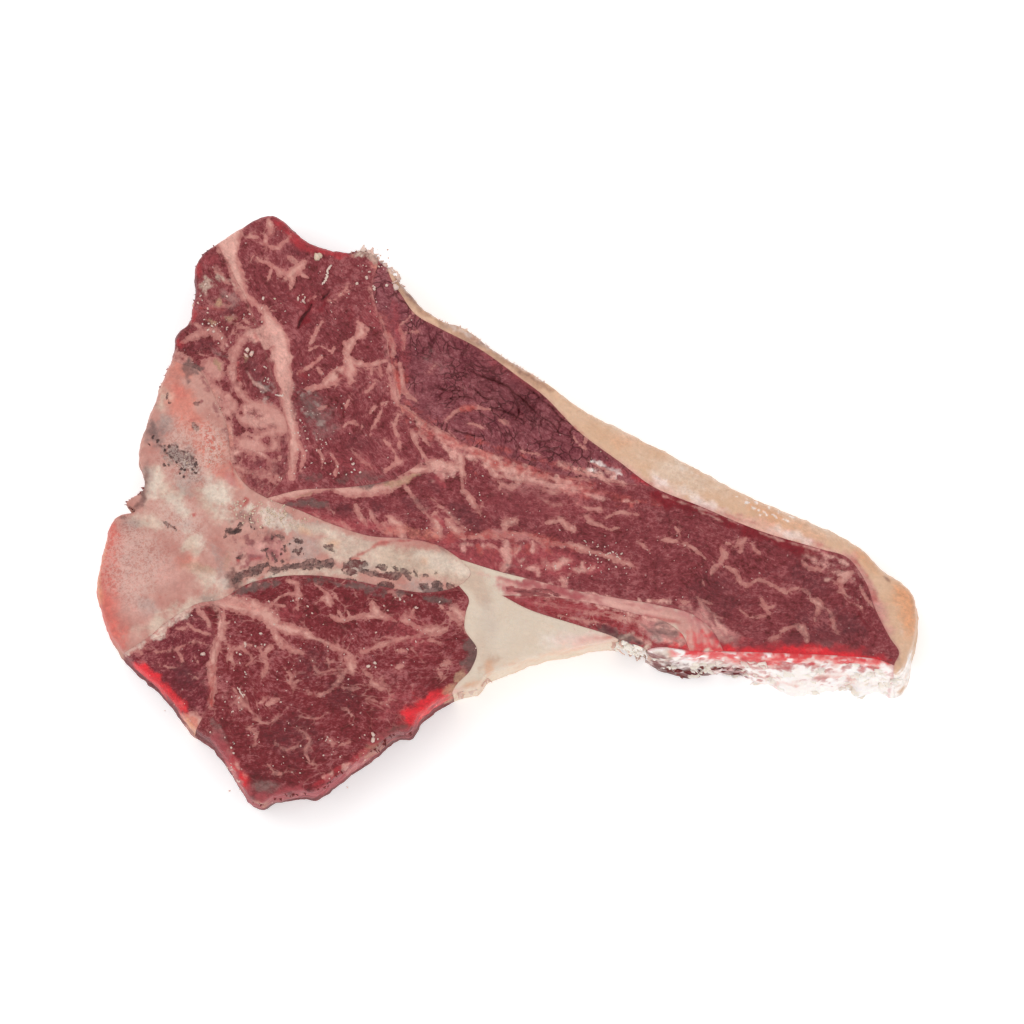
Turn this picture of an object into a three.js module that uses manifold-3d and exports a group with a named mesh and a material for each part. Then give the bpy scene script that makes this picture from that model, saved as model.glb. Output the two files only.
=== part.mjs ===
// A raw, dry-aged T-bone steak lying on its cut face: the sawn vertebra with its side bar,
// the muscles on both sides of the bar, the fat cap along the back, the soft fat in the
// crook between tenderloin and flank, and the white fat that lines the flank's inner side.
//
// Millimetres, +Z up. X runs from the chine to the tail, Y from the tenderloin to the fat
// cap, and the origin is the middle of the underside.
import * as THREE from "three";
import { mergeVertices } from "three/addons/utils/BufferGeometryUtils.js";
import Module from "manifold-3d";

// Driving dimensions
const LENGTH = 262; // from the chine's edge to the tail's
const DEPTH = 192; // from the tenderloin's tip to the topmost point
const THICKNESS = 26;
const SEAM_GAP = 0.3; // between two neighbouring tissues
const FOOT_ROUND = 1.2; // where the sides meet the underside
const BELLY = 0.5; // how far the sides stand out at half height
const FOOT_BEVEL = 0.3; // where the foot's two bevels meet, as a share of FOOT_ROUND
const SHOULDER_STEPS = [40, 75]; // degrees up the arc between side and face

// Places on the cut face are given on a plan of it, u to the right and v downwards, on
// which the steak is PLAN_LENGTH units long.
const PLAN_LENGTH = 817;
const PLAN_MIDDLE = [508.2, 508.6];
const UNIT = LENGTH / PLAN_LENGTH;

// How finely the curved lines and the face are drawn
const RIM_STEP = 3.2;
const SEAM_STEP = 4.2;
const FACE_STEP = 4.4;
const NORMAL_REACH = 3; // neighbours on each side that share a point's outward direction
const MERGE_REACH = 1e-4; // corners nearer than this are one

// What is cut away runs on past the steak, so that no two faces meet in one plane
const MARGIN = 20; // beside the steak
const HEADROOM = 4; // above the face
const HEADROOM_TAPER = 0.5; // how far the sides draw in over the headroom
const CUT_HEIGHT = 2 * THICKNESS;

// The rim of the upper face: [u, v, shoulder radius, how far the foot stands out], in
// plan units and millimetres, clockwise from the topmost point.
const RIM = [
  [268, 213, 1.6, 0.5], [283, 219, 2.4, 0.5], [300, 235, 2.6, 0.5], [323, 246, 2.4, 0.5],
  [347, 251, 1.6, 0.5], [368, 250, 0.8, 0.3], [389, 269, 0.8, 0.3], [402, 284, 0.8, 0.3],
  [425, 310, 0.8, 0.3], [442, 320, 0.8, 0.3], [462, 327, 0.8, 0.4], [502, 356, 0.8, 0.4],
  [543, 381, 0.9, 0.4], [585, 411, 2.0, 0.5], [662, 450, 3.4, 0.6], [745, 495, 4.0, 0.8],
  [845, 539, 4.0, 0.8], [868, 555, 4.0, 0.8], [884, 573, 3.6, 0.8], [903, 585, 3.6, 0.8],
  [915, 601, 3.4, 0.8], [917, 625, 3.0, 0.8], [911, 652, 2.4, 2.0], [898, 674, 1.4, 6.0],
  [880, 668, 1.0, 7.5], [850, 664, 1.0, 8.0], [800, 662, 1.0, 9.5], [770, 660, 1.0, 7.0],
  [748, 658, 1.0, 4.0], [720, 655, 1.0, 5.5], [690, 657, 1.0, 5.0], [665, 658, 1.0, 2.5],
  [645, 651, 1.0, 1.5], [620, 642, 1.2, 1.2], [598, 645, 1.6, 0.6], [560, 653, 2.2, 0.6],
  [530, 660, 2.4, 0.6], [500, 672, 2.4, 0.8], [488, 677, 2.0, 0.8], [480, 687, 1.6, 0.8],
  [460, 692, 2.0, 0.8], [440, 702, 2.6, 0.8], [420, 719, 2.0, 0.8], [411, 733, 1.4, 0.6],
  [395, 736, 1.8, 0.8], [372, 755, 2.2, 0.8], [345, 774, 2.2, 0.8], [318, 793, 1.8, 0.8],
  [300, 794, 1.8, 0.8], [275, 799, 1.6, 0.6], [266, 804, 1.4, 0.6], [253, 801, 2.0, 0.6],
  [243, 785, 3.0, 0.8], [230, 763, 3.6, 1.0], [214, 744, 3.4, 1.0], [196, 731, 3.6, 1.0],
  [174, 703, 4.2, 1.0], [150, 679, 4.2, 1.0], [128, 659, 3.6, 0.8], [112, 634, 3.2, 0.8],
  [103, 612, 3.0, 0.6], [99, 590, 3.0, 0.6], [105, 552, 2.4, 0.5], [117, 519, 1.2, 0.3],
  [136, 513, 0.4, 0.0], [127, 505, 0.4, 0.0], [145, 490, 0.6, 0.0], [140, 455, 1.4, 0.4],
  [159, 392, 1.8, 0.5], [174, 352, 1.6, 0.5], [177, 335, 1.4, 0.4], [190, 321, 1.4, 0.4],
  [195, 295, 1.6, 0.5], [197, 260, 1.6, 0.5], [219, 240, 1.4, 0.5], [240, 226, 1.6, 0.5],
];

// The seams between tissues. One that ends inside the steak ends on a point of another.
const BONE_FORK = [268, 500];
const BONE_TIP = [462, 562];
const SEAMS = {
  capInside: [
    [384, 252], [391, 277], [401, 293], [416, 314], [440, 328], [480, 349], [520, 378],
    [545, 397], [580, 433], [620, 463], [655, 489], [700, 508], [760, 533], [820, 551],
    [848, 560], [866, 584], [876, 612], [890, 640], [899, 655], [894, 668], [893, 724],
  ],
  loinTop: [[400, 405], [430, 425], [470, 446], [520, 463], [560, 476], [610, 484], [655, 489]],
  topMuscleRight: [[376, 236], [378, 262], [373, 285], [378, 312], [387, 340], [393, 372], [400, 405]],
  topMuscleFoot: [[400, 405], [412, 440], [422, 460], [392, 481], [350, 489], [300, 492], BONE_FORK],
  chineSeam: [
    [202, 224], [222, 252], [233, 274], [247, 300], [259, 330], [270, 366], [281, 402],
    [290, 440], [288, 472], BONE_FORK,
  ],
  boneTop: [
    [150, 346], [176, 362], [200, 372], [216, 400], [228, 430], [232, 462], [246, 486],
    BONE_FORK, [300, 512], [330, 525], [370, 538], [410, 541], [440, 548], BONE_TIP,
  ],
  boneFoot: [
    BONE_TIP, [472, 576], [460, 588], [430, 595], [400, 592], [360, 584], [320, 578], [280, 579],
    [250, 586], [222, 602], [200, 606], [172, 622], [150, 640], [128, 654], [102, 664],
  ],
  suetLeft: [
    [460, 588], [470, 602], [467, 615], [466, 632], [478, 652], [472, 672], [456, 690],
    [444, 722],
  ],
  psoasSeam: [[200, 606], [212, 624], [217, 645], [216, 680], [212, 705], [204, 722], [186, 752]],
  bandTop: [
    BONE_TIP, [500, 574], [540, 584], [580, 594], [620, 601], [660, 608], [695, 618],
    [715, 636], [724, 654],
  ],
  bandFoot: [[503, 598], [545, 599], [590, 605], [635, 616], [665, 624], [683, 637], [690, 653]],
  suetTop: [[503, 598], [530, 612], [580, 628], [618, 641], [640, 657]],
  flankInside: [
    [616, 684], [640, 657], [658, 650], [690, 653], [724, 654], [790, 656], [850, 659],
    [878, 662], [894, 668],
  ],
};

// Low swells and dips of the upper face: [u, v, radius across, radius down, height], the
// radii in plan units and the height in millimetres.
const SWELLS = [
  [300, 690, 130, 90, 0.9], [520, 400, 110, 60, 0.7], [650, 560, 190, 50, 0.8],
  [330, 350, 70, 90, 0.6], [740, 515, 120, 26, 0.5], [560, 640, 60, 30, -0.6],
  [160, 580, 60, 70, 0.3], [240, 400, 40, 90, -0.5], [234, 560, 16, 40, -1.0],
  [360, 570, 110, 22, -0.3], [180, 680, 50, 30, -0.8], [880, 620, 40, 60, -0.8],
];

// Slits and dried cracks in the upper face: the line of each, its width and its depth.
const CRACKS = [
  { line: [[236, 530], [238, 548], [237, 568], [235, 590]], width: 2.4, depth: 4 },
  { line: [[238, 592], [258, 585], [283, 580], [312, 578], [340, 581]], width: 2.0, depth: 3 },
  { line: [[240, 577], [262, 570], [286, 570], [318, 566]], width: 1.6, depth: 2.5 },
  { line: [[222, 531], [240, 533], [230, 546]], width: 1.4, depth: 2 },
  { line: [[346, 563], [362, 568], [385, 575], [408, 580]], width: 2.0, depth: 1.6 },
  { line: [[470, 371], [488, 379], [503, 385], [524, 401], [540, 417]], width: 1.2, depth: 2 },
  { line: [[313, 303], [305, 315], [296, 331]], width: 1.2, depth: 2 },
  { line: [[470, 664], [474, 676], [488, 679]], width: 1.6, depth: 2.5 },
];
const CRACK_STEP = 2.5;
const CRACK_CLEARANCE = 1.5; // how far a crack's wedge stands above the face

// One point inside each tissue, at the height where it is looked for, with its colour,
// roughness and name.
const PROBE_HEIGHT = 8;
const PROBE_SIZE = 0.6;
const TISSUES = [
  { name: "bone", at: [170, 560], colour: 0xd8bfa9, roughness: 0.6 },
  { name: "loin_eye", at: [700, 580], colour: 0x7c3038, roughness: 0.5 },
  { name: "cap_muscle", at: [500, 410], colour: 0x70303a, roughness: 0.5 },
  { name: "top_muscle", at: [330, 330], colour: 0x7f3038, roughness: 0.5 },
  { name: "chine_muscle", at: [230, 380], colour: 0x9c5a58, roughness: 0.5 },
  { name: "tenderloin", at: [300, 700], colour: 0x7a2a32, roughness: 0.5 },
  { name: "psoas_minor", at: [170, 670], colour: 0x7c2a34, roughness: 0.5 },
  { name: "flank_strip", at: [580, 615], colour: 0x8a3a3e, roughness: 0.5 },
  { name: "fat_cap", at: [760, 515], colour: 0xe2c29f, roughness: 0.4 },
  { name: "inner_fat", at: [520, 640], colour: 0xdccdb8, roughness: 0.45 },
  { name: "flank_fat", at: [800, 668], colour: 0xe8d6cb, roughness: 0.45 },
];

const wasm = await Module();
wasm.setup();

// A point of the plan in millimetres.
function place(u, v) {
  return [(u - PLAN_MIDDLE[0]) * UNIT, (PLAN_MIDDLE[1] - v) * UNIT];
}

// Points on the smooth line through the marks, about a step apart, with the marks among
// them. The numbers that follow u and v in a mark run evenly from each mark to the next.
function walk(marks, step, closed) {
  const corners = marks.map(([u, v]) => new THREE.Vector3(...place(u, v), 0));
  const curve = new THREE.CatmullRomCurve3(corners, closed, "centripetal");
  const spans = closed ? marks.length : marks.length - 1;
  const points = [];
  for (let span = 0; span < spans; span++) {
    const after = (span + 1) % marks.length;
    const parts = Math.max(1, Math.round(corners[span].distanceTo(corners[after]) / step));
    const last = !closed && span === spans - 1 ? parts : parts - 1;
    for (let i = 0; i <= last; i++) {
      const { x, y } = curve.getPoint((span + i / parts) / spans);
      const others = marks[span].slice(2);
      points.push([x, y, ...others.map((value, k) => THREE.MathUtils.lerp(value, marks[after][k + 2], i / parts))]);
    }
  }
  return points;
}

// The outward direction at each point of a clockwise loop, shared with its neighbours so
// that the sides don't cross in a hollow.
function outward(loop, reach) {
  return loop.map((_, i) => {
    const sum = new THREE.Vector2();
    for (let k = -reach; k < reach; k++) {
      const [ax, ay] = loop[(i + k + loop.length) % loop.length];
      const [bx, by] = loop[(i + k + 1 + loop.length) % loop.length];
      sum.add(new THREE.Vector2(ay - by, bx - ax));
    }
    return sum.normalize();
  });
}

// How far out the side stands, and at what height, from the foot up past the shoulder.
function sideProfile(shoulder, lean) {
  const brim = THICKNESS - shoulder;
  const arc = (degrees) => {
    const angle = THREE.MathUtils.degToRad(degrees);
    return [shoulder * (Math.cos(angle) - 1), brim + shoulder * Math.sin(angle)];
  };
  return [
    [lean - FOOT_ROUND, 0],
    [lean - FOOT_BEVEL * FOOT_ROUND, FOOT_BEVEL * FOOT_ROUND],
    [lean, FOOT_ROUND],
    [lean / 2 + BELLY, THICKNESS / 2],
    [0, brim],
    ...SHOULDER_STEPS.map(arc),
    [-shoulder - HEADROOM_TAPER, THICKNESS + HEADROOM],
  ];
}

// A closed solid of the merged triangles.
function solid(positions, triangles) {
  const geometry = new THREE.BufferGeometry();
  geometry.setAttribute("position", new THREE.Float32BufferAttribute(positions.flat(), 3));
  geometry.setIndex(triangles.flat());
  return solidOf(geometry);
}

function solidOf(geometry) {
  const bare = geometry.clone().deleteAttribute("normal").deleteAttribute("uv");
  const merged = mergeVertices(bare, MERGE_REACH);
  return new wasm.Manifold(new wasm.Mesh({
    numProp: 3,
    vertProperties: merged.getAttribute("position").array,
    triVerts: new Uint32Array(merged.index.array),
  }));
}

// The steak's outer form with an unlimited height: rings of the rim, one for each step of
// the side's profile, closed above and below.
function outerForm() {
  const loop = walk(RIM, RIM_STEP, true);
  const directions = outward(loop, NORMAL_REACH);
  const profiles = loop.map(([, , shoulder, lean]) => sideProfile(shoulder, lean));
  const rings = profiles[0].map((_, k) => loop.map(([x, y], i) => {
    const [out, z] = profiles[i][k];
    return [x + directions[i].x * out, y + directions[i].y * out, z];
  }));
  const size = loop.length;
  const triangles = [];
  for (let k = 0; k + 1 < rings.length; k++) {
    for (let i = 0; i < size; i++) {
      const [a, b] = [k * size + i, k * size + (i + 1) % size];
      triangles.push([a, a + size, b], [b, a + size, b + size]);
    }
  }
  const cap = (ring) => THREE.ShapeUtils.triangulateShape(ring.map(([x, y]) => new THREE.Vector2(x, y)), []);
  const top = (rings.length - 1) * size;
  triangles.push(...cap(rings[0]).map((t) => facing(t, rings[0], -1)));
  triangles.push(...cap(rings.at(-1)).map((t) => facing(t, rings.at(-1), 1).map((i) => i + top)));
  return solid(rings.flat(), triangles);
}

// The triangle with its corners in the order that faces up (1) or down (-1).
function facing([a, b, c], ring, sense) {
  const [p, q, r] = [ring[a], ring[b], ring[c]];
  const turn = (q[0] - p[0]) * (r[1] - p[1]) - (q[1] - p[1]) * (r[0] - p[0]);
  return turn * sense > 0 ? [a, b, c] : [a, c, b];
}

// The height of the upper face.
function faceHeight(x, y) {
  return SWELLS.reduce((height, [u, v, across, down, rise]) => {
    const [cx, cy] = place(u, v);
    const far = ((x - cx) / (across * UNIT)) ** 2 + ((y - cy) / (down * UNIT)) ** 2;
    return height + rise * Math.exp(-far);
  }, THICKNESS);
}

// Everything below the upper face: a block whose top is a grid that follows the swells.
function belowFace() {
  const [wide, deep] = [LENGTH + 2 * MARGIN, DEPTH + 2 * MARGIN];
  const [columns, rows] = [Math.round(wide / FACE_STEP), Math.round(deep / FACE_STEP)];
  const block = new THREE.BoxGeometry(wide, deep, CUT_HEIGHT, columns, rows, 1);
  const corners = block.getAttribute("position");
  for (let i = 0; i < corners.count; i++) {
    const top = corners.getZ(i) > 0;
    corners.setZ(i, top ? faceHeight(corners.getX(i), corners.getY(i)) : -THICKNESS);
  }
  return solidOf(block);
}

// A thin upright wall along a seam, which parts the tissues on its two sides. Its ends run
// on by half its thickness, through the seam that they meet.
function knife(marks) {
  const line = walk(marks, SEAM_STEP, false);
  lengthen(line[0], line[1]);
  lengthen(line.at(-1), line.at(-2));
  const sides = [[], []];
  line.forEach(([x, y], i) => {
    const [ax, ay] = line[Math.max(i - 1, 0)];
    const [bx, by] = line[Math.min(i + 1, line.length - 1)];
    const across = new THREE.Vector2(ay - by, bx - ax).setLength(SEAM_GAP / 2);
    sides[0].push(new THREE.Vector2(x, y).add(across));
    sides[1].unshift(new THREE.Vector2(x, y).sub(across));
  });
  const wall = new THREE.ExtrudeGeometry(new THREE.Shape(sides.flat()), {
    depth: CUT_HEIGHT,
    bevelEnabled: false,
  });
  return solidOf(wall.translate(0, 0, (THICKNESS - CUT_HEIGHT) / 2));
}

// A wedge over a crack's line, widest and deepest in the middle, that its tissues are cut by.
function wedge({ line: marks, width, depth }) {
  const line = walk(marks, CRACK_STEP, false);
  const corners = line.flatMap(([x, y], i) => {
    const [ax, ay] = line[Math.max(i - 1, 0)];
    const [bx, by] = line[Math.min(i + 1, line.length - 1)];
    const swell = Math.sin((Math.PI * (i + 0.5)) / line.length);
    const reach = (width / 2) * swell * (1 + CRACK_CLEARANCE / (depth * swell));
    const across = new THREE.Vector2(ay - by, bx - ax).setLength(reach);
    const face = faceHeight(x, y);
    const brim = face + CRACK_CLEARANCE;
    return [
      [x + across.x, y + across.y, brim],
      [x - across.x, y - across.y, brim],
      [x, y, face - depth * swell],
    ];
  });
  const triangles = [[0, 2, 1]];
  for (let i = 0; i + 3 < corners.length; i += 3) {
    for (let k = 0; k < 3; k++) {
      const [a, b] = [i + k, i + ((k + 1) % 3)];
      triangles.push([a, b, a + 3], [b, b + 3, a + 3]);
    }
  }
  const end = corners.length - 3;
  triangles.push([end, end + 1, end + 2]);
  return solid(corners, triangles);
}

// Moves an end of a seam away from the point before it.
function lengthen(end, before) {
  const step = new THREE.Vector2(end[0] - before[0], end[1] - before[1]).setLength(SEAM_GAP / 2);
  end[0] += step.x;
  end[1] += step.y;
}

// Whether a piece holds the point of the plan at PROBE_HEIGHT.
function holds(piece, [u, v]) {
  const probe = new THREE.BoxGeometry(PROBE_SIZE, PROBE_SIZE, PROBE_SIZE);
  probe.translate(...place(u, v), PROBE_HEIGHT);
  return piece.intersect(solidOf(probe)).volume() > 0;
}

function meshOf(piece, { name, colour, roughness }) {
  const { vertProperties, triVerts } = piece.getMesh();
  const geometry = new THREE.BufferGeometry();
  geometry.setAttribute("position", new THREE.BufferAttribute(vertProperties, 3));
  geometry.setIndex(new THREE.BufferAttribute(triVerts, 1));
  geometry.computeVertexNormals();
  const material = new THREE.MeshStandardMaterial({ color: colour, roughness, metalness: 0 });
  const mesh = new THREE.Mesh(geometry, material);
  mesh.name = name;
  return mesh;
}

function steak() {
  const whole = outerForm().intersect(belowFace());
  const cutters = [...Object.values(SEAMS).map(knife), ...CRACKS.map(wedge)];
  const pieces = cutters.reduce((rest, cutter) => rest.subtract(cutter), whole).decompose();
  const group = new THREE.Group();
  for (const tissue of TISSUES) {
    const found = pieces.find((piece) => holds(piece, tissue.at));
    group.add(meshOf(found, tissue));
  }
  return group;
}

export default steak();
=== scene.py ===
"""A raw, dry-aged T-bone steak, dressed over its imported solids.

Places on the cut face are given on a plan of it, u to the right and v downwards. Lengths
are in millimetres until a mesh is made, in metres, at the end of each build.
"""

import logging
import math
from dataclasses import dataclass, field
from enum import Enum, IntEnum
from itertools import combinations
from typing import Callable

import bpy
import numpy as np
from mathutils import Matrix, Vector, geometry, kdtree


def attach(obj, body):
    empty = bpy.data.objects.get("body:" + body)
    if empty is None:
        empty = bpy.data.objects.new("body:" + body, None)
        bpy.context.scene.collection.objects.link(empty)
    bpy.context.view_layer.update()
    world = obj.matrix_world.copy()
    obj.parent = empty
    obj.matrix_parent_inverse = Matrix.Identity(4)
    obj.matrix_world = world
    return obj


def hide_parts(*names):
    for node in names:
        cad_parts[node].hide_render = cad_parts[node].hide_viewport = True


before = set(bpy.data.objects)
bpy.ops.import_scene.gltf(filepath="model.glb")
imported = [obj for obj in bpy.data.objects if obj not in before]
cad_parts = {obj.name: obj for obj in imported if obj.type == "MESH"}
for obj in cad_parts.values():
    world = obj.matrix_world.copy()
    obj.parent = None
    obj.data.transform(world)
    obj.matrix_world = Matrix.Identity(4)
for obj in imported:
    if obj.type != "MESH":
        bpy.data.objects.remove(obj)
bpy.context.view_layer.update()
log = logging.getLogger("steak")

MM = 0.001
LENGTH = 262.0  # from the chine's edge to the tail's, on the rim
THICKNESS = 26.0
EVERY_HEIGHT = (-9.0, 99.0)  # where a wash lies, in millimetres above the underside
NEAR_FACE = (17.5, 99.0)
BELOW_FACE = (-9.0, 21.0)
HEIGHT_SOFT = 4.0
FOOT_ROUND = 1.2
BELLY = 0.5
PLAN_LENGTH = 817.0
PLAN_MIDDLE = (508.2, 508.6)
UNIT = LENGTH / PLAN_LENGTH
FAR = 9.0  # what stands for far away in a field of distances
LEAST = 1e-6  # keeps a length from being zero, as TINY does a square
TINY = 1e-9
HASH_STEPS = (374761393, 668265263, 2246822519)  # one for each axis
HASH_MIXES = ((13, 1274126177), (16, 2654435761), (15, 1))  # how far to shift, and what to multiply by
HASH_SEED = 1274126177
LOW_BITS = np.uint64(0xFFFFFFFF)
HALF_RANGE = 0x7FFFFFFF
CELL_STRAY = 0.45  # how far a cell's seat lies from the middle of its square, for the square
CELL_SEEDS_APART = 7
WASH_SEEDS_APART = 5
LEAST_COVER = 0.02
MERGE = 1e-5  # points nearer than this become one
NOISE_SPAN = (0.25, 0.75)  # what Blender's noise usually keeps to

Array = np.ndarray
Socket = bpy.types.NodeSocket
Outputs = bpy.types.NodeOutputs
Colour = tuple[float, float, float]


class Seed(IntEnum):
    """What tells one noise of the meshes from another; finer layers take the numbers after it."""

    FISSURE_CELLS = 5
    RIM_FRAY = 11
    FISSURE_DEPTH = 15
    FOOT = 17
    FISSURE_STRAY_X = 21
    FISSURE_STRAY_Y = 27
    FACE = 31
    FACE_FINE = 37
    GRIT = 41
    SIDE = 53
    SIDE_FINE = 55
    LAYERS = 57
    CRAGS = 59
    MARK_STRAY_X = 61
    MARK_STRAY_Y = 71
    WANDER_X = 81
    WANDER_Y = 91
    FIRST_WASH = 101


def srgb(red: int, green: int, blue: int) -> Colour:
    """Turns a colour as seen on a screen, 0 to 255, into a shader's own values."""
    return tuple(((c / 255 + 0.055) / 1.055) ** 2.4 if c > 10 else c / 3294 for c in (red, green, blue))


def seen(red: int, green: int, blue: int, gloss: float = 0.02) -> Colour:
    """Turns a colour seen on a glossy surface into that of the surface below the gloss."""
    return tuple(max(c - gloss, 0.003) for c in srgb(red, green, blue))


def place(course: Array) -> Array:
    """Turns points of the plan into millimetres."""
    return (np.asarray(course, float)[:, :2] - PLAN_MIDDLE) * (UNIT, -UNIT)


def smooth_line(marks: Array, step: float, closed: bool) -> Array:
    """Draws the smooth line through marks on the plan.

    Args:
        marks: rows of u and v, with any other numbers that run evenly between the marks.
        step: how far apart the line's points are.
        closed: whether the line returns to its first mark.

    Returns:
        Rows of x and y with the other numbers, the marks themselves among them.
    """
    marks = np.asarray(marks, float)
    knots = place(marks)
    count = len(knots)
    spans = count if closed else count - 1
    before, after = 2 * knots[0] - knots[1], 2 * knots[-1] - knots[-2]
    rows = []
    for span in range(spans):
        following = (span + 1) % count
        p0 = knots[span - 1] if closed or span else before
        p1, p2 = knots[span], knots[following]
        p3 = knots[(span + 2) % count] if closed or span + 2 < count else after
        d0, d1, d2 = (max(np.linalg.norm(b - a), LEAST) ** 0.5 for a, b in ((p0, p1), (p1, p2), (p2, p3)))
        out = ((p1 - p0) / d0 - (p2 - p0) / (d0 + d1) + (p2 - p1) / d1) * d1
        back = ((p2 - p1) / d1 - (p3 - p1) / (d1 + d2) + (p3 - p2) / d2) * d1
        parts = max(1, round(np.linalg.norm(p2 - p1) / step))
        t = np.arange(parts)[:, None] / parts
        square, cube = t * t, t * t * t
        bend = (3 * (p2 - p1) - 2 * out - back) * square
        path = p1 + out * t + bend + (2 * (p1 - p2) + out + back) * cube
        rows.append(np.hstack([path, marks[span, 2:] * (1 - t) + marks[following, 2:] * t]))
    if not closed:
        rows.append(np.hstack([knots[-1:], marks[-1:, 2:]]))
    return np.vstack(rows)


def ease(value: Array, low: float, high: float) -> Array:
    """Rises smoothly from 0 at low to 1 at high."""
    t = np.clip((value - low) / (high - low), 0, 1)
    return t * t * (3 - 2 * t)


def lattice_values(corner: Array, seed: int) -> Array:
    """Gives each whole-numbered corner a value of its own between -1 and 1.

    Args:
        corner: the corners' coordinates, along the last axis.
        seed: tells one set of values from another.

    Returns:
        One value for each corner.
    """
    mix = np.full(corner.shape[:-1], int(seed) * HASH_SEED, np.uint64)
    for axis, prime in zip(range(corner.shape[-1]), HASH_STEPS):
        mix += corner[..., axis].astype(np.int64).astype(np.uint64) * np.uint64(prime)
    mix &= LOW_BITS
    for shift, prime in HASH_MIXES:
        mix = ((mix ^ (mix >> np.uint64(shift))) * np.uint64(prime)) & LOW_BITS
    return mix.astype(float) / HALF_RANGE - 1


def ripple(points: Array, cell: float, seed: int) -> Array:
    """Makes smooth noise between -1 and 1.

    Args:
        points: rows of two or three coordinates.
        cell: the size of its swells.
        seed: tells one noise from another.

    Returns:
        One value for each point.
    """
    scaled = np.asarray(points) / cell
    corner = np.floor(scaled).astype(np.int64)
    share = scaled - corner
    share = share * share * (3 - 2 * share)
    total = np.zeros(len(scaled))
    for offset in np.ndindex(*(2,) * scaled.shape[1]):
        weight = np.prod(np.where(np.array(offset) == 1, share, 1 - share), axis=1)
        total += weight * lattice_values(corner + offset, seed)
    return total


def roughness_of(points: Array, cell: float, seed: int, layers: int = 3) -> Array:
    """Adds up ever finer ripples, each half as large and half as high as the last."""
    return sum(ripple(points, cell / 2**k, seed + k) / 2**k for k in range(layers))


def cell_walls(points: Array, cell: float, seed: int) -> Array:
    """Measures how near each point is to the wall between two scattered cells.

    Args:
        points: rows of x and y.
        cell: the cells' usual size.
        seed: tells one scatter from another.

    Returns:
        About 0 on a wall and up to 1 in the middle of a cell.
    """
    scaled = points / cell
    corner = np.floor(scaled).astype(np.int64)
    nearest = np.full(len(points), FAR)
    second = nearest.copy()
    for offset in np.ndindex(3, 3):
        at = corner + offset - 1
        stray = np.stack([lattice_values(at, seed), lattice_values(at, seed + CELL_SEEDS_APART)], axis=1)
        seat = at + 0.5 + CELL_STRAY * stray
        far = np.linalg.norm(scaled - seat, axis=1)
        second = np.minimum(second, np.maximum(nearest, far))
        nearest = np.minimum(nearest, far)
    return second - nearest


def stand_out(lean: Array, share: Array) -> Array:
    """Gives how far the side stands out beside the rim, a share of the way down to the foot."""
    return lean * share + 4 * BELLY * share * (1 - share)


def upward(triangles: Array, points: Array) -> Array:
    """Turns triangles so that they run anticlockwise on the plan.

    Args:
        triangles: rows of three points.
        points: rows of x and y.

    Returns:
        The same triangles, all facing up.
    """
    corner = points[triangles]
    a, b = corner[:, 1] - corner[:, 0], corner[:, 2] - corner[:, 0]
    down = a[:, 0] * b[:, 1] - a[:, 1] * b[:, 0] < 0
    turned = triangles.copy()
    turned[down] = triangles[down][:, ::-1]
    return turned


def sides_of(triangles: Array) -> Array:
    """Lists the directed sides of triangles: all the first ones, all the second, all the third."""
    return np.concatenate([triangles[:, [a, b]] for a, b in ((0, 1), (1, 2), (2, 0))])


def border(triangles: Array) -> Array:
    """Finds the directed edges that only one triangle has.

    Args:
        triangles: rows of three points.

    Returns:
        Rows of two points.
    """
    edges = sides_of(triangles)
    size = np.int64(edges.max() + 1)
    key, back = edges[:, 0] * size + edges[:, 1], edges[:, 1] * size + edges[:, 0]
    return edges[~np.isin(key, back)]


def regions(triangles: Array, walls: Array) -> Array:
    """Labels triangles so that two share a label if no wall parts them.

    Args:
        triangles: rows of three points.
        walls: rows of the two points of an edge that can't be crossed.

    Returns:
        A label for each triangle.
    """
    edges = np.sort(sides_of(triangles), axis=1)
    size = np.int64(triangles.max() + 1)
    keys = edges[:, 0] * size + edges[:, 1]
    wall_keys = np.sort(walls, axis=1) @ np.array([size, 1])
    owner = np.tile(np.arange(len(triangles)), 3)
    order = np.argsort(keys, kind="stable")
    keys, owner = keys[order], owner[order]
    pair = np.flatnonzero((keys[1:] == keys[:-1]) & ~np.isin(keys[1:], wall_keys))
    left, right = owner[pair], owner[pair + 1]
    labels = np.arange(len(triangles))
    while True:
        least = np.minimum(labels[left], labels[right])
        fresh = labels.copy()
        for at in (left, right, labels[left], labels[right]):
            np.minimum.at(fresh, at, least)
        fresh = fresh[fresh]
        if np.array_equal(fresh, labels):
            return labels
        labels = fresh


def filled(points: Array, edges: list[tuple[int, int]]) -> tuple[Array, Array, Array, list]:
    """Fills the closed outline that edges make with triangles.

    Args:
        points: rows of x and y.
        edges: pairs of points, those of the outline and any that part it.

    Returns:
        The points, the triangles, their labels by region, and what each point was made from.
    """
    found = geometry.delaunay_2d_cdt([Vector(p) for p in points], edges, [], 0, MERGE, True)
    flat = np.array([tuple(p) for p in found[0]])
    triangles = upward(np.array(found[2]), flat)
    walls = np.array([edge for edge, origin in zip(found[1], found[4]) if origin])
    labels = regions(triangles, walls)
    size = np.int64(len(flat))
    hull = np.sort(border(triangles), axis=1) @ np.array([size, 1])
    open_hull = hull[~np.isin(hull, np.sort(walls, axis=1) @ np.array([size, 1]))]
    sides = np.sort(triangles[:, [[0, 1], [1, 2], [2, 0]]], axis=2) @ np.array([size, 1])
    outside = np.isin(labels, labels[np.isin(sides, open_hull).any(1)])
    return flat, triangles[~outside], labels[~outside], found[3]


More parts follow.
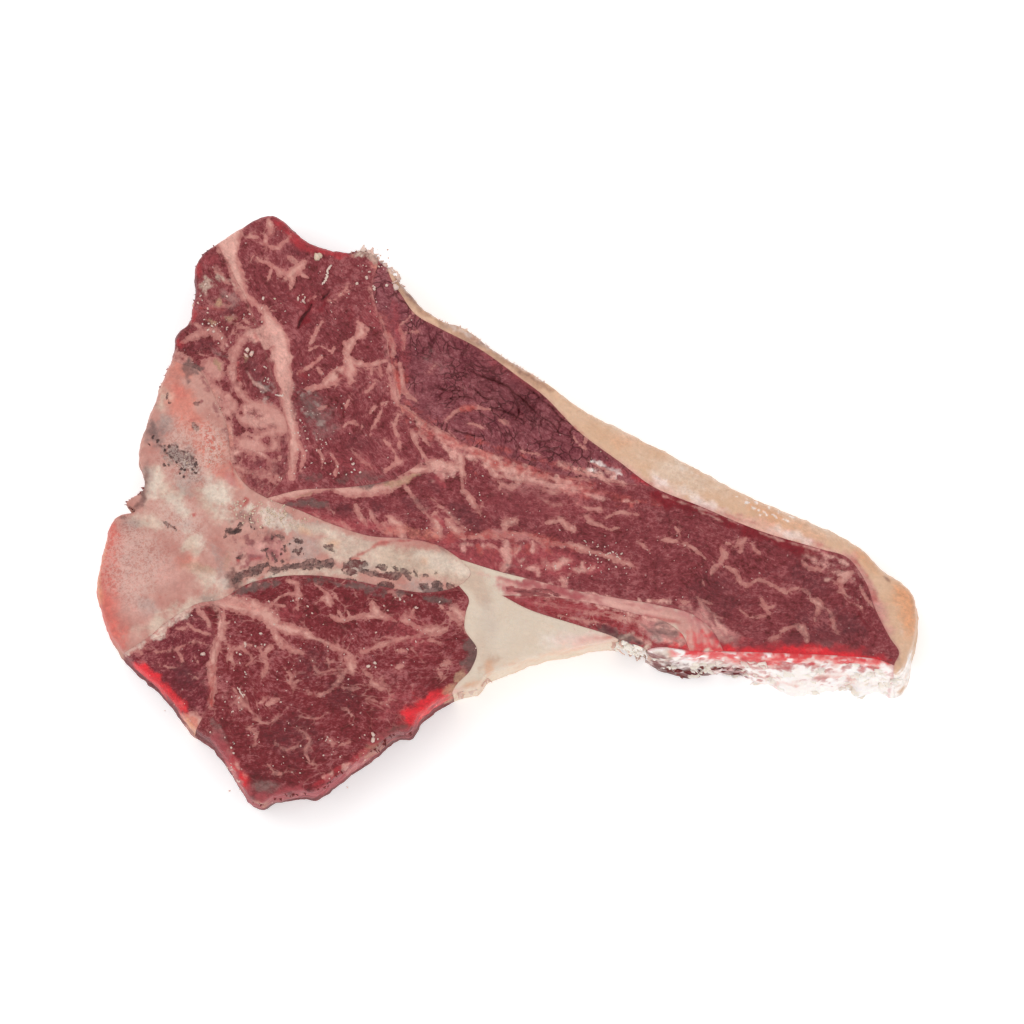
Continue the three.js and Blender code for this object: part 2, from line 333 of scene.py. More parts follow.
def mesh_of(name: str, points: Array, faces: Array) -> bpy.types.Mesh:
    """Makes a mesh of triangles.

    Args:
        name: the mesh's name.
        points: rows of x, y and z in millimetres.
        faces: rows of three points.

    Returns:
        The mesh, in metres.
    """
    mesh = bpy.data.meshes.new(name)
    mesh.vertices.add(len(points))
    mesh.vertices.foreach_set("co", (points * MM).ravel())
    mesh.loops.add(faces.size)
    mesh.loops.foreach_set("vertex_index", faces.ravel())
    mesh.polygons.add(len(faces))
    mesh.polygons.foreach_set("loop_start", np.arange(0, faces.size, faces.shape[1]))
    mesh.update(calc_edges=True)
    return mesh


def shown(name: str, data: bpy.types.ID) -> bpy.types.Object:
    """Puts something in the scene.

    Args:
        name: the object's name.
        data: its mesh, lamp or camera.

    Returns:
        The object.
    """
    made = bpy.data.objects.new(name, data)
    bpy.context.scene.collection.objects.link(made)
    return made


def write_numbers(mesh: bpy.types.Mesh, name: str, values: Array) -> None:
    """Writes one number for each point of a mesh."""
    mesh.attributes.new(name, "FLOAT", "POINT").data.foreach_set("value", values.astype(np.float32))


def write_colours(mesh: bpy.types.Mesh, colours: Array, cover: Array) -> None:
    """Writes the washes: a colour for each point of a mesh, and how much of it shows."""
    rows = np.column_stack([colours, cover]).astype(np.float32)
    mesh.attributes.new("wash", "FLOAT_COLOR", "POINT").data.foreach_set("color", rows.ravel())


@dataclass(frozen=True)
class Stroke:
    """A mark laid on the plan, widest in the middle unless it is blunt."""

    width: float
    course: tuple[float, ...]
    strength: float = 1.0
    soft: float = 0.3
    blunt: bool = False

    STEP = 1.2  # how far apart the points of its course are
    TIP = 0.3  # the share of the width that its ends have
    TAPER = 0.6
    MARGIN = 2.0  # how far beyond its soft edge it is still measured

    def edge_distance(self, points: Array) -> Array:
        """Measures how far points lie outside the mark.

        Args:
            points: rows of x and y.

        Returns:
            Millimetres, negative inside the mark, and FAR where it is far away.
        """
        marks = np.array(self.course, float).reshape(-1, 2)
        line = smooth_line(marks, self.STEP, False) if len(marks) > 2 else place(marks)
        reach = self.width * UNIT / 2
        margin = reach + self.MARGIN + 2 * self.soft
        inside = np.all((points > line.min(0) - margin) & (points < line.max(0) + margin), axis=1)
        near = points[inside]
        distance = np.full(len(points), FAR)
        if not len(near):
            return distance
        if len(line) == 1:
            distance[inside] = np.linalg.norm(near - line[0], axis=1) - reach
            return distance
        steps = np.diff(line, axis=0)
        lengths = np.maximum(np.linalg.norm(steps, axis=1), LEAST)
        starts = np.concatenate([[0], np.cumsum(lengths)])
        best = np.full(len(near), FAR)
        for start, step, length, run in zip(line, steps, lengths, starts):
            share = np.clip((near - start) @ step / length**2, 0, 1)
            gap = np.linalg.norm(near - start - share[:, None] * step, axis=1)
            along = (run + share * length) / starts[-1]
            wave = np.sin(np.pi * np.clip(along, 0, 1)) ** self.TAPER
            swell = 1.0 if self.blunt else self.TIP + (1 - self.TIP) * wave
            best = np.minimum(best, gap - reach * swell)
        distance[inside] = best
        return distance


def painted(points: Array, strokes: tuple[Stroke, ...]) -> Array:
    """Lays soft marks over each other.

    Args:
        points: rows of x and y.
        strokes: the marks.

    Returns:
        For each point the strongest mark there, 0 where there is none.
    """
    mask = np.zeros(len(points))
    for stroke in strokes:
        distance = stroke.edge_distance(points)
        mask = np.maximum(mask, stroke.strength * ease(-distance, -stroke.soft, stroke.soft))
    return mask


def strokes(*rows: tuple[float, ...], strength: float = 1.0, soft: float = 0.3,
            blunt: bool = False) -> tuple[Stroke, ...]:
    """Makes marks from rows of a width and the course that follows it."""
    return tuple(Stroke(row[0], row[1:], strength, soft, blunt) for row in rows)


class Mark(Enum):
    """What a laid mark shows; its value names the number that the mesh holds."""

    LAID = "laid"  # fat in lean, or lean in fat and bone
    CUT = "cut"  # an opening in what is laid
    PORES = "pores"  # the share of dark holes
    LACE = "lace"  # a net of white threads
    SUNK = "sunk"  # slits and pits, as deep as their strength in millimetres, with painted shade in them


@dataclass(frozen=True)
class Stretch:
    """What one tissue's solid is cut from: its part of the cut face, with its upright sides."""

    used: Array  # the slab's points on the face
    triangles: Array  # of the face, as rows of places in used
    border: Array  # directed edges around the face, as rows of places in used


@dataclass
class Slab:
    """The whole steak's body: the rim, the seams that part its tissues, and its height."""

    face_step: float = 0.45
    clear: float = 0.55  # how many steps the face's points keep away from the rim and the seams
    under_every: int = 4  # the underside keeps one row of the face's points in this many
    foot_rings: int = 3
    turn_reach: int = 22  # points on each side that share a rim point's outward direction
    fray: float = 0.22
    fray_size: float = 2.6
    torn: float = 0.16  # how unevenly the foot stands out where it stands out far
    torn_size: float = 5.0
    points: Array = field(init=False)
    triangles: Array = field(init=False)
    labels: Array = field(init=False)
    on_rim: Array = field(init=False)

    # u, v, shoulder radius, how far the foot stands out
    RIM = (
        (268, 213, 1.6, 0.5), (283, 219, 2.4, 0.5), (300, 235, 2.6, 0.5), (323, 246, 2.4, 0.5),
        (347, 251, 1.6, 0.5), (368, 250, 0.8, 0.3), (389, 269, 0.8, 0.3), (402, 284, 0.8, 0.3),
        (425, 310, 0.8, 0.3), (442, 320, 0.8, 0.3), (462, 327, 0.8, 0.4), (502, 356, 0.8, 0.4),
        (543, 381, 0.9, 0.4), (585, 411, 2.0, 0.5), (662, 450, 3.4, 0.6), (745, 495, 4.0, 0.8),
        (845, 539, 4.0, 0.8), (868, 555, 4.0, 0.8), (884, 573, 3.6, 0.8), (903, 585, 3.6, 0.8),
        (915, 601, 3.4, 0.8), (917, 625, 3.0, 0.8), (911, 652, 2.4, 2.0), (898, 674, 1.4, 6.0),
        (880, 668, 1.0, 7.5), (850, 664, 1.0, 8.0), (800, 662, 1.0, 9.5), (770, 660, 1.0, 7.0),
        (748, 658, 1.0, 4.0), (720, 655, 1.0, 5.5), (690, 657, 1.0, 5.0), (665, 658, 1.0, 2.5),
        (645, 651, 1.0, 1.5), (620, 642, 1.2, 1.2), (598, 645, 1.6, 0.6), (560, 653, 2.2, 0.6),
        (530, 660, 2.4, 0.6), (500, 672, 2.4, 0.8), (488, 677, 2.0, 0.8), (480, 687, 1.6, 0.8),
        (460, 692, 2.0, 0.8), (440, 702, 2.6, 0.8), (420, 719, 2.0, 0.8), (411, 733, 1.4, 0.6),
        (395, 736, 1.8, 0.8), (372, 755, 2.2, 0.8), (345, 774, 2.2, 0.8), (318, 793, 1.8, 0.8),
        (300, 794, 1.8, 0.8), (275, 799, 1.6, 0.6), (266, 804, 1.4, 0.6), (253, 801, 2.0, 0.6),
        (243, 785, 3.0, 0.8), (230, 763, 3.6, 1.0), (214, 744, 3.4, 1.0), (196, 731, 3.6, 1.0),
        (174, 703, 4.2, 1.0), (150, 679, 4.2, 1.0), (128, 659, 3.6, 0.8), (112, 634, 3.2, 0.8),
        (103, 612, 3.0, 0.6), (99, 590, 3.0, 0.6), (105, 552, 2.4, 0.5), (117, 519, 1.2, 0.3),
        (136, 513, 0.4, 0.0), (127, 505, 0.4, 0.0), (145, 490, 0.6, 0.0), (140, 455, 1.4, 0.4),
        (159, 392, 1.8, 0.5), (174, 352, 1.6, 0.5), (177, 335, 1.4, 0.4), (190, 321, 1.4, 0.4),
        (195, 295, 1.6, 0.5), (197, 260, 1.6, 0.5), (219, 240, 1.4, 0.5), (240, 226, 1.6, 0.5),
    )
    BONE_FORK = (268, 500)
    BONE_TIP = (462, 562)
    SEAMS = (
        ((384, 252), (391, 277), (401, 293), (416, 314), (440, 328), (480, 349), (520, 378),
         (545, 397), (580, 433), (620, 463), (655, 489), (700, 508), (760, 533), (820, 551),
         (848, 560), (866, 584), (876, 612), (890, 640), (899, 655), (894, 668), (893, 724)),
        ((400, 405), (430, 425), (470, 446), (520, 463), (560, 476), (610, 484), (655, 489)),
        ((376, 236), (378, 262), (373, 285), (378, 312), (387, 340), (393, 372), (400, 405)),
        ((400, 405), (412, 440), (422, 460), (392, 481), (350, 489), (300, 492), BONE_FORK),
        ((202, 224), (222, 252), (233, 274), (247, 300), (259, 330), (270, 366), (281, 402),
         (290, 440), (288, 472), BONE_FORK),
        ((150, 346), (176, 362), (200, 372), (216, 400), (228, 430), (232, 462), (246, 486),
         BONE_FORK, (300, 512), (330, 525), (370, 538), (410, 541), (440, 548), BONE_TIP),
        (BONE_TIP, (472, 576), (460, 588), (430, 595), (400, 592), (360, 584), (320, 578),
         (280, 579), (250, 586), (222, 602), (200, 606), (172, 622), (150, 640), (128, 654),
         (102, 664)),
        ((460, 588), (470, 602), (467, 615), (466, 632), (478, 652), (472, 672), (456, 690),
         (444, 722)),
        ((200, 606), (212, 624), (217, 645), (216, 680), (212, 705), (204, 722), (186, 752)),
        (BONE_TIP, (500, 574), (540, 584), (580, 594), (620, 601), (660, 608), (695, 618),
         (715, 636), (724, 654)),
        ((503, 598), (545, 599), (590, 605), (635, 616), (665, 624), (683, 637), (690, 653)),
        ((503, 598), (530, 612), (580, 628), (618, 641), (640, 657)),
        ((616, 684), (640, 657), (658, 650), (690, 653), (724, 654), (790, 656), (850, 659),
         (878, 662), (894, 668)),
    )
    # u, v, radius across, radius down, height
    SWELLS = (
        (300, 690, 130, 90, 0.9), (520, 400, 110, 60, 0.7), (650, 560, 190, 50, 0.8),
        (330, 350, 70, 90, 0.6), (740, 515, 120, 26, 0.5), (560, 640, 60, 30, -0.6),
        (160, 580, 60, 70, 0.3), (240, 400, 40, 90, -0.5), (234, 560, 16, 40, -1.0),
        (360, 570, 110, 22, -0.3), (180, 680, 50, 30, -0.8), (880, 620, 40, 60, -0.8),
    )

    def __post_init__(self) -> None:
        """Draws the rim and the seams and fills the face with triangles."""
        self._draw_rim()
        self.seam_lines = [smooth_line(marks, self.face_step, False) for marks in self.SEAMS]
        self.rim_tree = self._tree(self.rim)
        self.seam_tree = self._tree(np.vstack(self.seam_lines))
        self._triangulate()

    @staticmethod
    def _tree(points: Array) -> kdtree.KDTree:
        """Makes a tree that finds the nearest of some points.

        Args:
            points: rows that start with x and y.

        Returns:
            The tree, which gives a point's place in the list.
        """
        tree = kdtree.KDTree(len(points))
        for place_in_list, (x, y) in enumerate(points[:, :2]):
            tree.insert((x, y, 0), place_in_list)
        tree.balance()
        return tree

    def _draw_rim(self) -> None:
        """Draws the rim, a little ragged, with its outward directions."""
        rows = smooth_line(self.RIM, self.face_step, True)
        line = rows[:, :2]
        steps = np.roll(line, -1, axis=0) - line
        normals = np.stack([-steps[:, 1], steps[:, 0]], axis=1)
        shared = sum(np.roll(normals, k, axis=0) for k in range(-self.turn_reach, self.turn_reach + 1))
        self.rim_normals = shared / np.linalg.norm(shared, axis=1)[:, None]
        ragged = roughness_of(line, self.fray_size, Seed.RIM_FRAY) * self.fray
        self.rim = line + self.rim_normals * ragged[:, None]
        self.shoulders = rows[:, 2]
        uneven = self.torn * roughness_of(line, self.torn_size, Seed.FOOT, 4) * ease(rows[:, 3], 2, 6)
        self.leans = rows[:, 3] * (1 + uneven)

    def _triangulate(self) -> None:
        """Fills the rim with triangles that no seam crosses, and labels them by tissue."""
        low, high = self.rim.min(0), self.rim.max(0)
        row_step = self.face_step * math.sqrt(0.75)
        columns = np.arange(0, high[0] - low[0], self.face_step)
        rows = np.arange(int((high[1] - low[1]) / row_step))
        x, y = np.meshgrid(columns, rows)
        x = x + (y % 2) * self.face_step / 2
        grid = np.stack([low[0] + x.ravel(), low[1] + y.ravel() * row_step], axis=1)
        column = np.round(x / self.face_step)
        sparse = ((y % self.under_every == 0) & (column % self.under_every == 0)).ravel()
        apart = self._clearance(grid) > self.clear * self.face_step
        grid, sparse = grid[apart], sparse[apart]
        lines = [np.vstack([self.rim, self.rim[:1]])] + self.seam_lines
        edges, points = [], [grid]
        count = len(grid)
        for line in lines:
            edges += [(count + k, count + k + 1) for k in range(len(line) - 1)]
            points.append(line)
            count += len(line)
        self.points, self.triangles, self.labels, sources = filled(np.vstack(points), edges)
        self.sparse = np.array([bool(s) and s[0] < len(sparse) and bool(sparse[s[0]]) for s in sources])
        rim = border(self.triangles)
        self.on_rim = np.isin(np.arange(len(self.points)), rim)
        self.rim_edges = {(int(a), int(b)) for a, b in rim}
        self.edge_gap, self.shoulder, self.lean, self.outward = self._from_rim(self.points)
        self.top = np.full(len(self.points), THICKNESS)

    def _clearance(self, points: Array) -> Array:
        """Measures how far points are from the nearest point of the rim or a seam."""
        trees = (self.rim_tree, self.seam_tree)
        return np.array([min(tree.find((x, y, 0))[2] for tree in trees) for x, y in points])

    def _from_rim(self, points: Array) -> tuple[Array, Array, Array, Array]:
        """Measures points against the rim.

        Args:
            points: rows of x and y.

        Returns:
            The distance to the rim, and its shoulder, its foot's lean and its outward
            direction at the nearest place.
        """
        near = np.array([self.rim_tree.find((x, y, 0))[1] for x, y in points])
        best = np.full(len(points), np.inf)
        for k in (-1, 0):
            start, end = self.rim[near + k], self.rim[(near + k + 1) % len(self.rim)]
            step = end - start
            square = np.maximum((step * step).sum(1), TINY)
            share = np.clip(((points - start) * step).sum(1) / square, 0, 1)
            best = np.minimum(best, np.linalg.norm(points - start - share[:, None] * step, axis=1))
        return best, self.shoulders[near], self.leans[near], self.rim_normals[near]

    def swell(self, points: Array) -> Array:
        """Gives the smooth height of the upper face.

        Args:
            points: rows of x and y.

        Returns:
            One height for each point.
        """
        height = np.full(len(points), THICKNESS)
        for u, v, across, down, rise in self.SWELLS:
            offset = (points - place([(u, v)])) / (across * UNIT, down * UNIT)
            height += rise * np.exp(-(offset**2).sum(1))
        return height

    def shoulder_drop(self, gap: Array, radius: Array) -> Array:
        """Gives how far the rounded shoulder lies under the face, at a distance from the rim."""
        return radius - np.sqrt(np.maximum(radius**2 - np.maximum(radius - gap, 0) ** 2, 0))

    def seam_gap(self, points: Array) -> Array:
        """Measures how far points are from the nearest seam."""
        return np.array([self.seam_tree.find((x, y, 0))[2] for x, y in points])

    def ground(self, x: float, y: float) -> float:
        """Gives the height of the built face at its point nearest to a place."""
        return float(self.top[np.argmin((self.points[:, 0] - x) ** 2 + (self.points[:, 1] - y) ** 2)])

    def stretch(self, seat: tuple[float, float]) -> Stretch:
        """Takes the part of the face that holds a point of the plan.

        Args:
            seat: u and v of a point inside the tissue.

        Returns:
            The tissue's points, triangles and border.
        """
        centres = self.points[self.triangles].mean(1)
        label = self.labels[np.argmin(((centres - place([seat])) ** 2).sum(1))]
        used, triangles = np.unique(self.triangles[self.labels == label], return_inverse=True)
        triangles = triangles.reshape(-1, 3)
        return Stretch(used, triangles, border(triangles))


class Nodes:
    """Short calls for building one node tree; a value is a number, a colour or a socket."""

    def __init__(self, tree: bpy.types.NodeTree) -> None:
        """Starts on a tree."""
        self.tree = tree

    def put(self, kind: str, values: dict | None = None, **settings: object) -> bpy.types.Node:
        """Adds a node.

        Args:
            kind: its type, without the leading ShaderNode.
            values: what goes into its inputs, by name or number.
            settings: its own properties.

        Returns:
            The node.
        """
        node = self.tree.nodes.new("ShaderNode" + kind)
        for name, value in settings.items():
            setattr(node, name, value)
        for key, value in (values or {}).items():
            self.feed(node.inputs[key], value)
        return node

    def feed(self, socket: Socket, value: object) -> None:
        """Links a socket, or gives it a value of its own."""
        if isinstance(value, Socket):
            self.tree.links.new(value, socket)
        elif socket.type == "RGBA":
            socket.default_value = (*value[:3], 1.0)
        else:
            socket.default_value = value

    def math(self, operation: str, a: object, b: object = 0.0) -> Socket:
        """Works out one step of arithmetic."""
        return self.put("Math", {0: a, 1: b}, operation=operation).outputs[0]

    def total(self, *shares: tuple[object, float]) -> Socket:
        """Adds up values.

        Args:
            shares: pairs of a value and what it is multiplied by.

        Returns:
            The sum.
        """
        parts = [self.math("MULTIPLY", value, share) for value, share in shares]
        result = parts[0]
        for part in parts[1:]:
            result = self.math("ADD", result, part)
        return result

    def times(self, value: object, factor: object) -> Socket:
        """Multiplies two numbers."""
        return self.math("MULTIPLY", value, factor)

    def either(self, a: object, b: object) -> Socket:
        """Takes the larger of two numbers."""
        return self.math("MAXIMUM", a, b)

    def rise(self, value: Socket, low: object, high: object) -> Socket:
        """Rises smoothly from 0 at low to 1 at high, or falls where low is the larger."""
        ends = {"Value": value, "From Min": low, "From Max": high}
        return self.put("MapRange", ends, interpolation_type="SMOOTHSTEP").outputs[0]

    def mix(self, share: object, a: object, b: object) -> Socket:
        """Mixes two colours."""
        return self.put("Mix", {0: share, 6: a, 7: b}, data_type="RGBA").outputs[2]

    def mark(self, mark: Mark) -> Socket:
        """Reads what the marks of one kind left at each point of the mesh."""
        return self.attribute(mark.value)

    def attribute(self, name: str) -> Socket:
        """Reads a number that the mesh holds at each of its points."""
        return self.put("Attribute", attribute_name=name).outputs["Fac"]

    def noise(self, at: Socket, size: object, detail: float = 2.0, rough: float = 0.5) -> Socket:
        """Makes noise between -1 and 1.

        Args:
            at: the place.
            size: about how large its swells are.
            detail: how many finer layers it has.
            rough: how strong each is, for the one before.

        Returns:
            The noise.
        """
        over = self.math("DIVIDE", 1.0, size)
        values = {"Vector": at, "Scale": over, "Detail": detail, "Roughness": rough}
        value = self.put("TexNoise", values).outputs[0]
        low, high = NOISE_SPAN
        ends = {"Value": value, "From Min": low, "From Max": high, "To Min": -1.0, "To Max": 1.0}
        return self.put("MapRange", ends).outputs[0]

    def clouds(self, at: Socket) -> Socket:
        """Makes the broad soft clouds that fat and bone share, between 0 and 1."""
        return self.rise(self.noise(at, 9.0, 5.0, 0.65), -0.9, 0.9)

    def scaled(self, vector: Socket, factor: object) -> Socket:
        """Multiplies a vector or a colour by a number."""
        return self.put("VectorMath", {0: vector, "Scale": factor}, operation="SCALE").outputs[0]

    def moved(self, at: Socket, by: object) -> Socket:
        """Moves a place."""
        return self.put("VectorMath", {0: at, 1: by}, operation="ADD").outputs[0]

    def cells(self, at: Socket, size: object, feature: str = "F1") -> Outputs:
        """Scatters cells of about a size and measures them, from their middles or their edges."""
        over = self.math("DIVIDE", 1.0, size)
        return self.put("TexVoronoi", {"Vector": at, "Scale": over}, feature=feature).outputs

    def tones(self, colour: Socket) -> Outputs:
        """Takes a colour apart into three numbers."""
        return self.put("SeparateColor", {0: colour}).outputs

    def millimetres(self) -> Socket:
        """Gives the place on the steak in millimetres."""
        return self.scaled(self.put("TexCoord").outputs["Object"], 1 / MM)

    def along_grain(self, at: Socket, turn: object, stretch: object) -> Socket:
        """Turns the place about the upright axis and shortens it along the grain.

        Args:
            at: the place.
            turn: the angle, in radians.
            stretch: how much longer than wide everything gets.

        Returns:
            The new place.
        """
        turned = self.put("VectorRotate", {"Vector": at, "Angle": turn}, rotation_type="Z_AXIS").outputs[0]
        factor = self.put("CombineXYZ", {0: self.math("DIVIDE", 1.0, stretch), 1: 1.0, 2: 1.0}).outputs[0]
        return self.put("VectorMath", {0: turned, 1: factor}, operation="MULTIPLY").outputs[0]

    def strayed(self, at: Socket, size: float, reach: float) -> Socket:
        """Moves the place about in all directions.

        Args:
            at: the place.
            size: how large the swells of the straying are.
            reach: how far it goes at most.

        Returns:
            The new place.
        """
        swirl = self.put("TexNoise", {"Vector": at, "Scale": 1 / size, "Detail": 1.0}).outputs[1]
        centred = self.put("VectorMath", {0: swirl, 1: (0.5, 0.5, 0.5)}, operation="SUBTRACT").outputs[0]
        return self.moved(at, self.scaled(centred, 2 * reach))

    def use(self, group: bpy.types.NodeTree, **values: object) -> Outputs:
        """Places a node group.

        Args:
            group: the group.
            values: what goes into its inputs, by name.

        Returns:
            Its outputs.
        """
        node = self.put("Group", node_tree=group)
        for name, value in values.items():
            self.feed(node.inputs[name], value)
        return node.outputs


class Effects:
    """The shader groups that several finishes share, each built once."""

    COLOURS = ("Ground", "Colour")  # the sockets that hold a colour
    BEND = (26.0, 7.0)  # the grain's slow bends: their size and reach
    OTHER_NET = (7.3, 3.1, 5.7)  # where the lace's second net is taken from

    def __init__(self) -> None:
        """Builds every group."""
        self.fibres = self._group("fibres", ("Turn", "Stretch", "Size"), ("Coarse", "Fine"), self._fibres)
        self.bundles = self._group("bundles", ("Turn", "Stretch", "Cell"), ("Own", "Middle", "Edge"),
                                   self._bundles)
        self.laid = self._group("laid", ("Distance", "Middle", "Scallop", "Ragged"),
                                ("Vein", "Core", "Film"), self._laid)
        self.specks = self._group("specks", ("Cell", "Size", "Share"), ("Grain",), self._specks)
        self.washed = self._group("washed", ("Ground", "Tone", "Contrast", "Broken"), ("Colour", "Cover"),
                                  self._washed)
        self.lace = self._group("lace", ("Size", "Width"), ("Thread",), self._lace)

    def grains(self, n: Nodes, cell: float, size: float, share: object) -> Socket:
        """Scatters grains of a size in a share of some cells."""
        return n.use(self.specks, Cell=cell, Size=size, Share=share)["Grain"]

    @classmethod
    def _group(cls, name: str, inputs: tuple[str, ...], outputs: tuple[str, ...],
               fill: Callable) -> bpy.types.NodeTree:
        """Makes a group with named sockets.

        Args:
            name: the group's name.
            inputs: the names of its inputs.
            outputs: the names of its outputs.
            fill: takes the calls and the inputs, and returns the outputs' values in order.

        Returns:
            The group.
        """
        tree = bpy.data.node_groups.new(name, "ShaderNodeTree")
        for way, names in (("INPUT", inputs), ("OUTPUT", outputs)):
            for socket in names:
                kind = "NodeSocketColor" if socket in cls.COLOURS else "NodeSocketFloat"
                tree.interface.new_socket(socket, in_out=way, socket_type=kind)
        start, end = tree.nodes.new("NodeGroupInput"), tree.nodes.new("NodeGroupOutput")
        n = Nodes(tree)
        for socket, value in zip(outputs, fill(n, start.outputs)):
            n.feed(end.inputs[socket], value)
        return tree

    @classmethod
    def _fibres(cls, n: Nodes, given: Outputs) -> tuple[Socket, ...]:
        """Draws short light and dark strokes along the grain.

        Args:
            n: the group's calls.
            given: its inputs.

        Returns:
            The strokes, and the finer grain in them.
        """
        bent = n.strayed(n.millimetres(), *cls.BEND)
        at = n.strayed(n.along_grain(bent, given["Turn"], given["Stretch"]), 2.6, 0.3)
        coarse = n.noise(at, n.times(given["Size"], 2.4), 4.0, 0.65)
        fine = n.noise(at, n.times(given["Size"], 0.8), 3.0, 0.7)
        return n.rise(coarse, -0.8, 0.8), n.rise(fine, -0.7, 0.7)

    @classmethod
    def _bundles(cls, n: Nodes, given: Outputs) -> tuple[Socket, ...]:
        """Parts the muscle into bundles of fibres.

        Args:
            n: the group's calls.
            given: its inputs.

        Returns:
            Each bundle's own tone, the nearness to its middle, and the millimetres to its edge.
        """
        bent = n.strayed(n.millimetres(), *cls.BEND)
        plain = n.along_grain(bent, given["Turn"], given["Stretch"])
        at = n.strayed(n.strayed(plain, 5.0, 2.4), 1.4, 0.5)
        bundle = n.cells(at, given["Cell"])
        edge = n.cells(at, given["Cell"], "DISTANCE_TO_EDGE")["Distance"]
        own = n.tones(bundle["Color"])[0]
        return own, n.rise(bundle["Distance"], 0.75, 0.05), n.times(edge, given["Cell"])

    @staticmethod
    def _laid(n: Nodes, given: Outputs) -> tuple[Socket, ...]:
        """Makes the sides of what is laid ragged, and scalloped by the bundles.

        Args:
            n: the group's calls.
            given: its inputs.

        Returns:
            What is laid, its core, and the film beside it.
        """
        rag = n.noise(n.millimetres(), 1.9, 5.0, 0.72)
        scallop = n.times(n.math("SUBTRACT", given["Middle"], 0.4), given["Scallop"])
        side = n.math("ADD", n.total((rag, given["Ragged"]), (given["Distance"], 1.0)), scallop)
        return n.rise(side, 0.16, -0.14), n.rise(side, -0.3, -1.9), n.rise(side, 2.2, -0.1)

    @staticmethod
    def _specks(n: Nodes, given: Outputs) -> tuple[Socket, ...]:
        """Scatters small grains.

        Args:
            n: the group's calls.
            given: its inputs.

        Returns:
            The grains.
        """
        spots = n.cells(n.strayed(n.millimetres(), 0.8, 0.3), given["Cell"])
        chance = n.tones(spots["Color"])
        over = n.math("DIVIDE", 1.0, given["Cell"])
        size = n.times(n.times(given["Size"], n.math("ADD", chance[1], 0.4)), over)
        grain = n.rise(spots["Distance"], size, n.times(size, 0.5))
        return (n.times(grain, n.math("LESS_THAN", chance[0], given["Share"])),)

    @staticmethod
    def _washed(n: Nodes, given: Outputs) -> tuple[Socket, ...]:
        """Lays the washes over a ground, broken up at their edges and toned by the grain.

        Args:
            n: the group's calls.
            given: its inputs.

        Returns:
            The colour, and how much of it is a wash.
        """
        wash = n.put("Attribute", attribute_name="wash").outputs
        shade = n.total((given["Contrast"], n.math("SUBTRACT", given["Tone"], 0.5)), (1.0, 1.0))
        toned = n.scaled(wash["Color"], shade)
        at = n.millimetres()
        broken = n.total((n.noise(at, 1.6, 5.0, 0.75), given["Broken"]), (wash["Alpha"], 1.0))
        cover = n.times(n.rise(broken, 0.1, 1.0), n.rise(wash["Alpha"], 0.0, 0.2))
        return n.mix(cover, given["Ground"], toned), cover

    @classmethod
    def _lace(cls, n: Nodes, given: Outputs) -> tuple[Socket, ...]:
        """Winds two fine nets of threads into one.

        Args:
            n: the group's calls.
            given: its inputs.

        Returns:
            The threads.
        """
        at = n.strayed(n.millimetres(), 1.2, 0.5)
        nets = []
        for spot in (at, n.moved(at, cls.OTHER_NET)):
            ridge = n.math("ABSOLUTE", n.noise(spot, given["Size"], 2.0, 0.6))
            nets.append(n.rise(ridge, given["Width"], 0.02))
        return (n.either(*nets),)


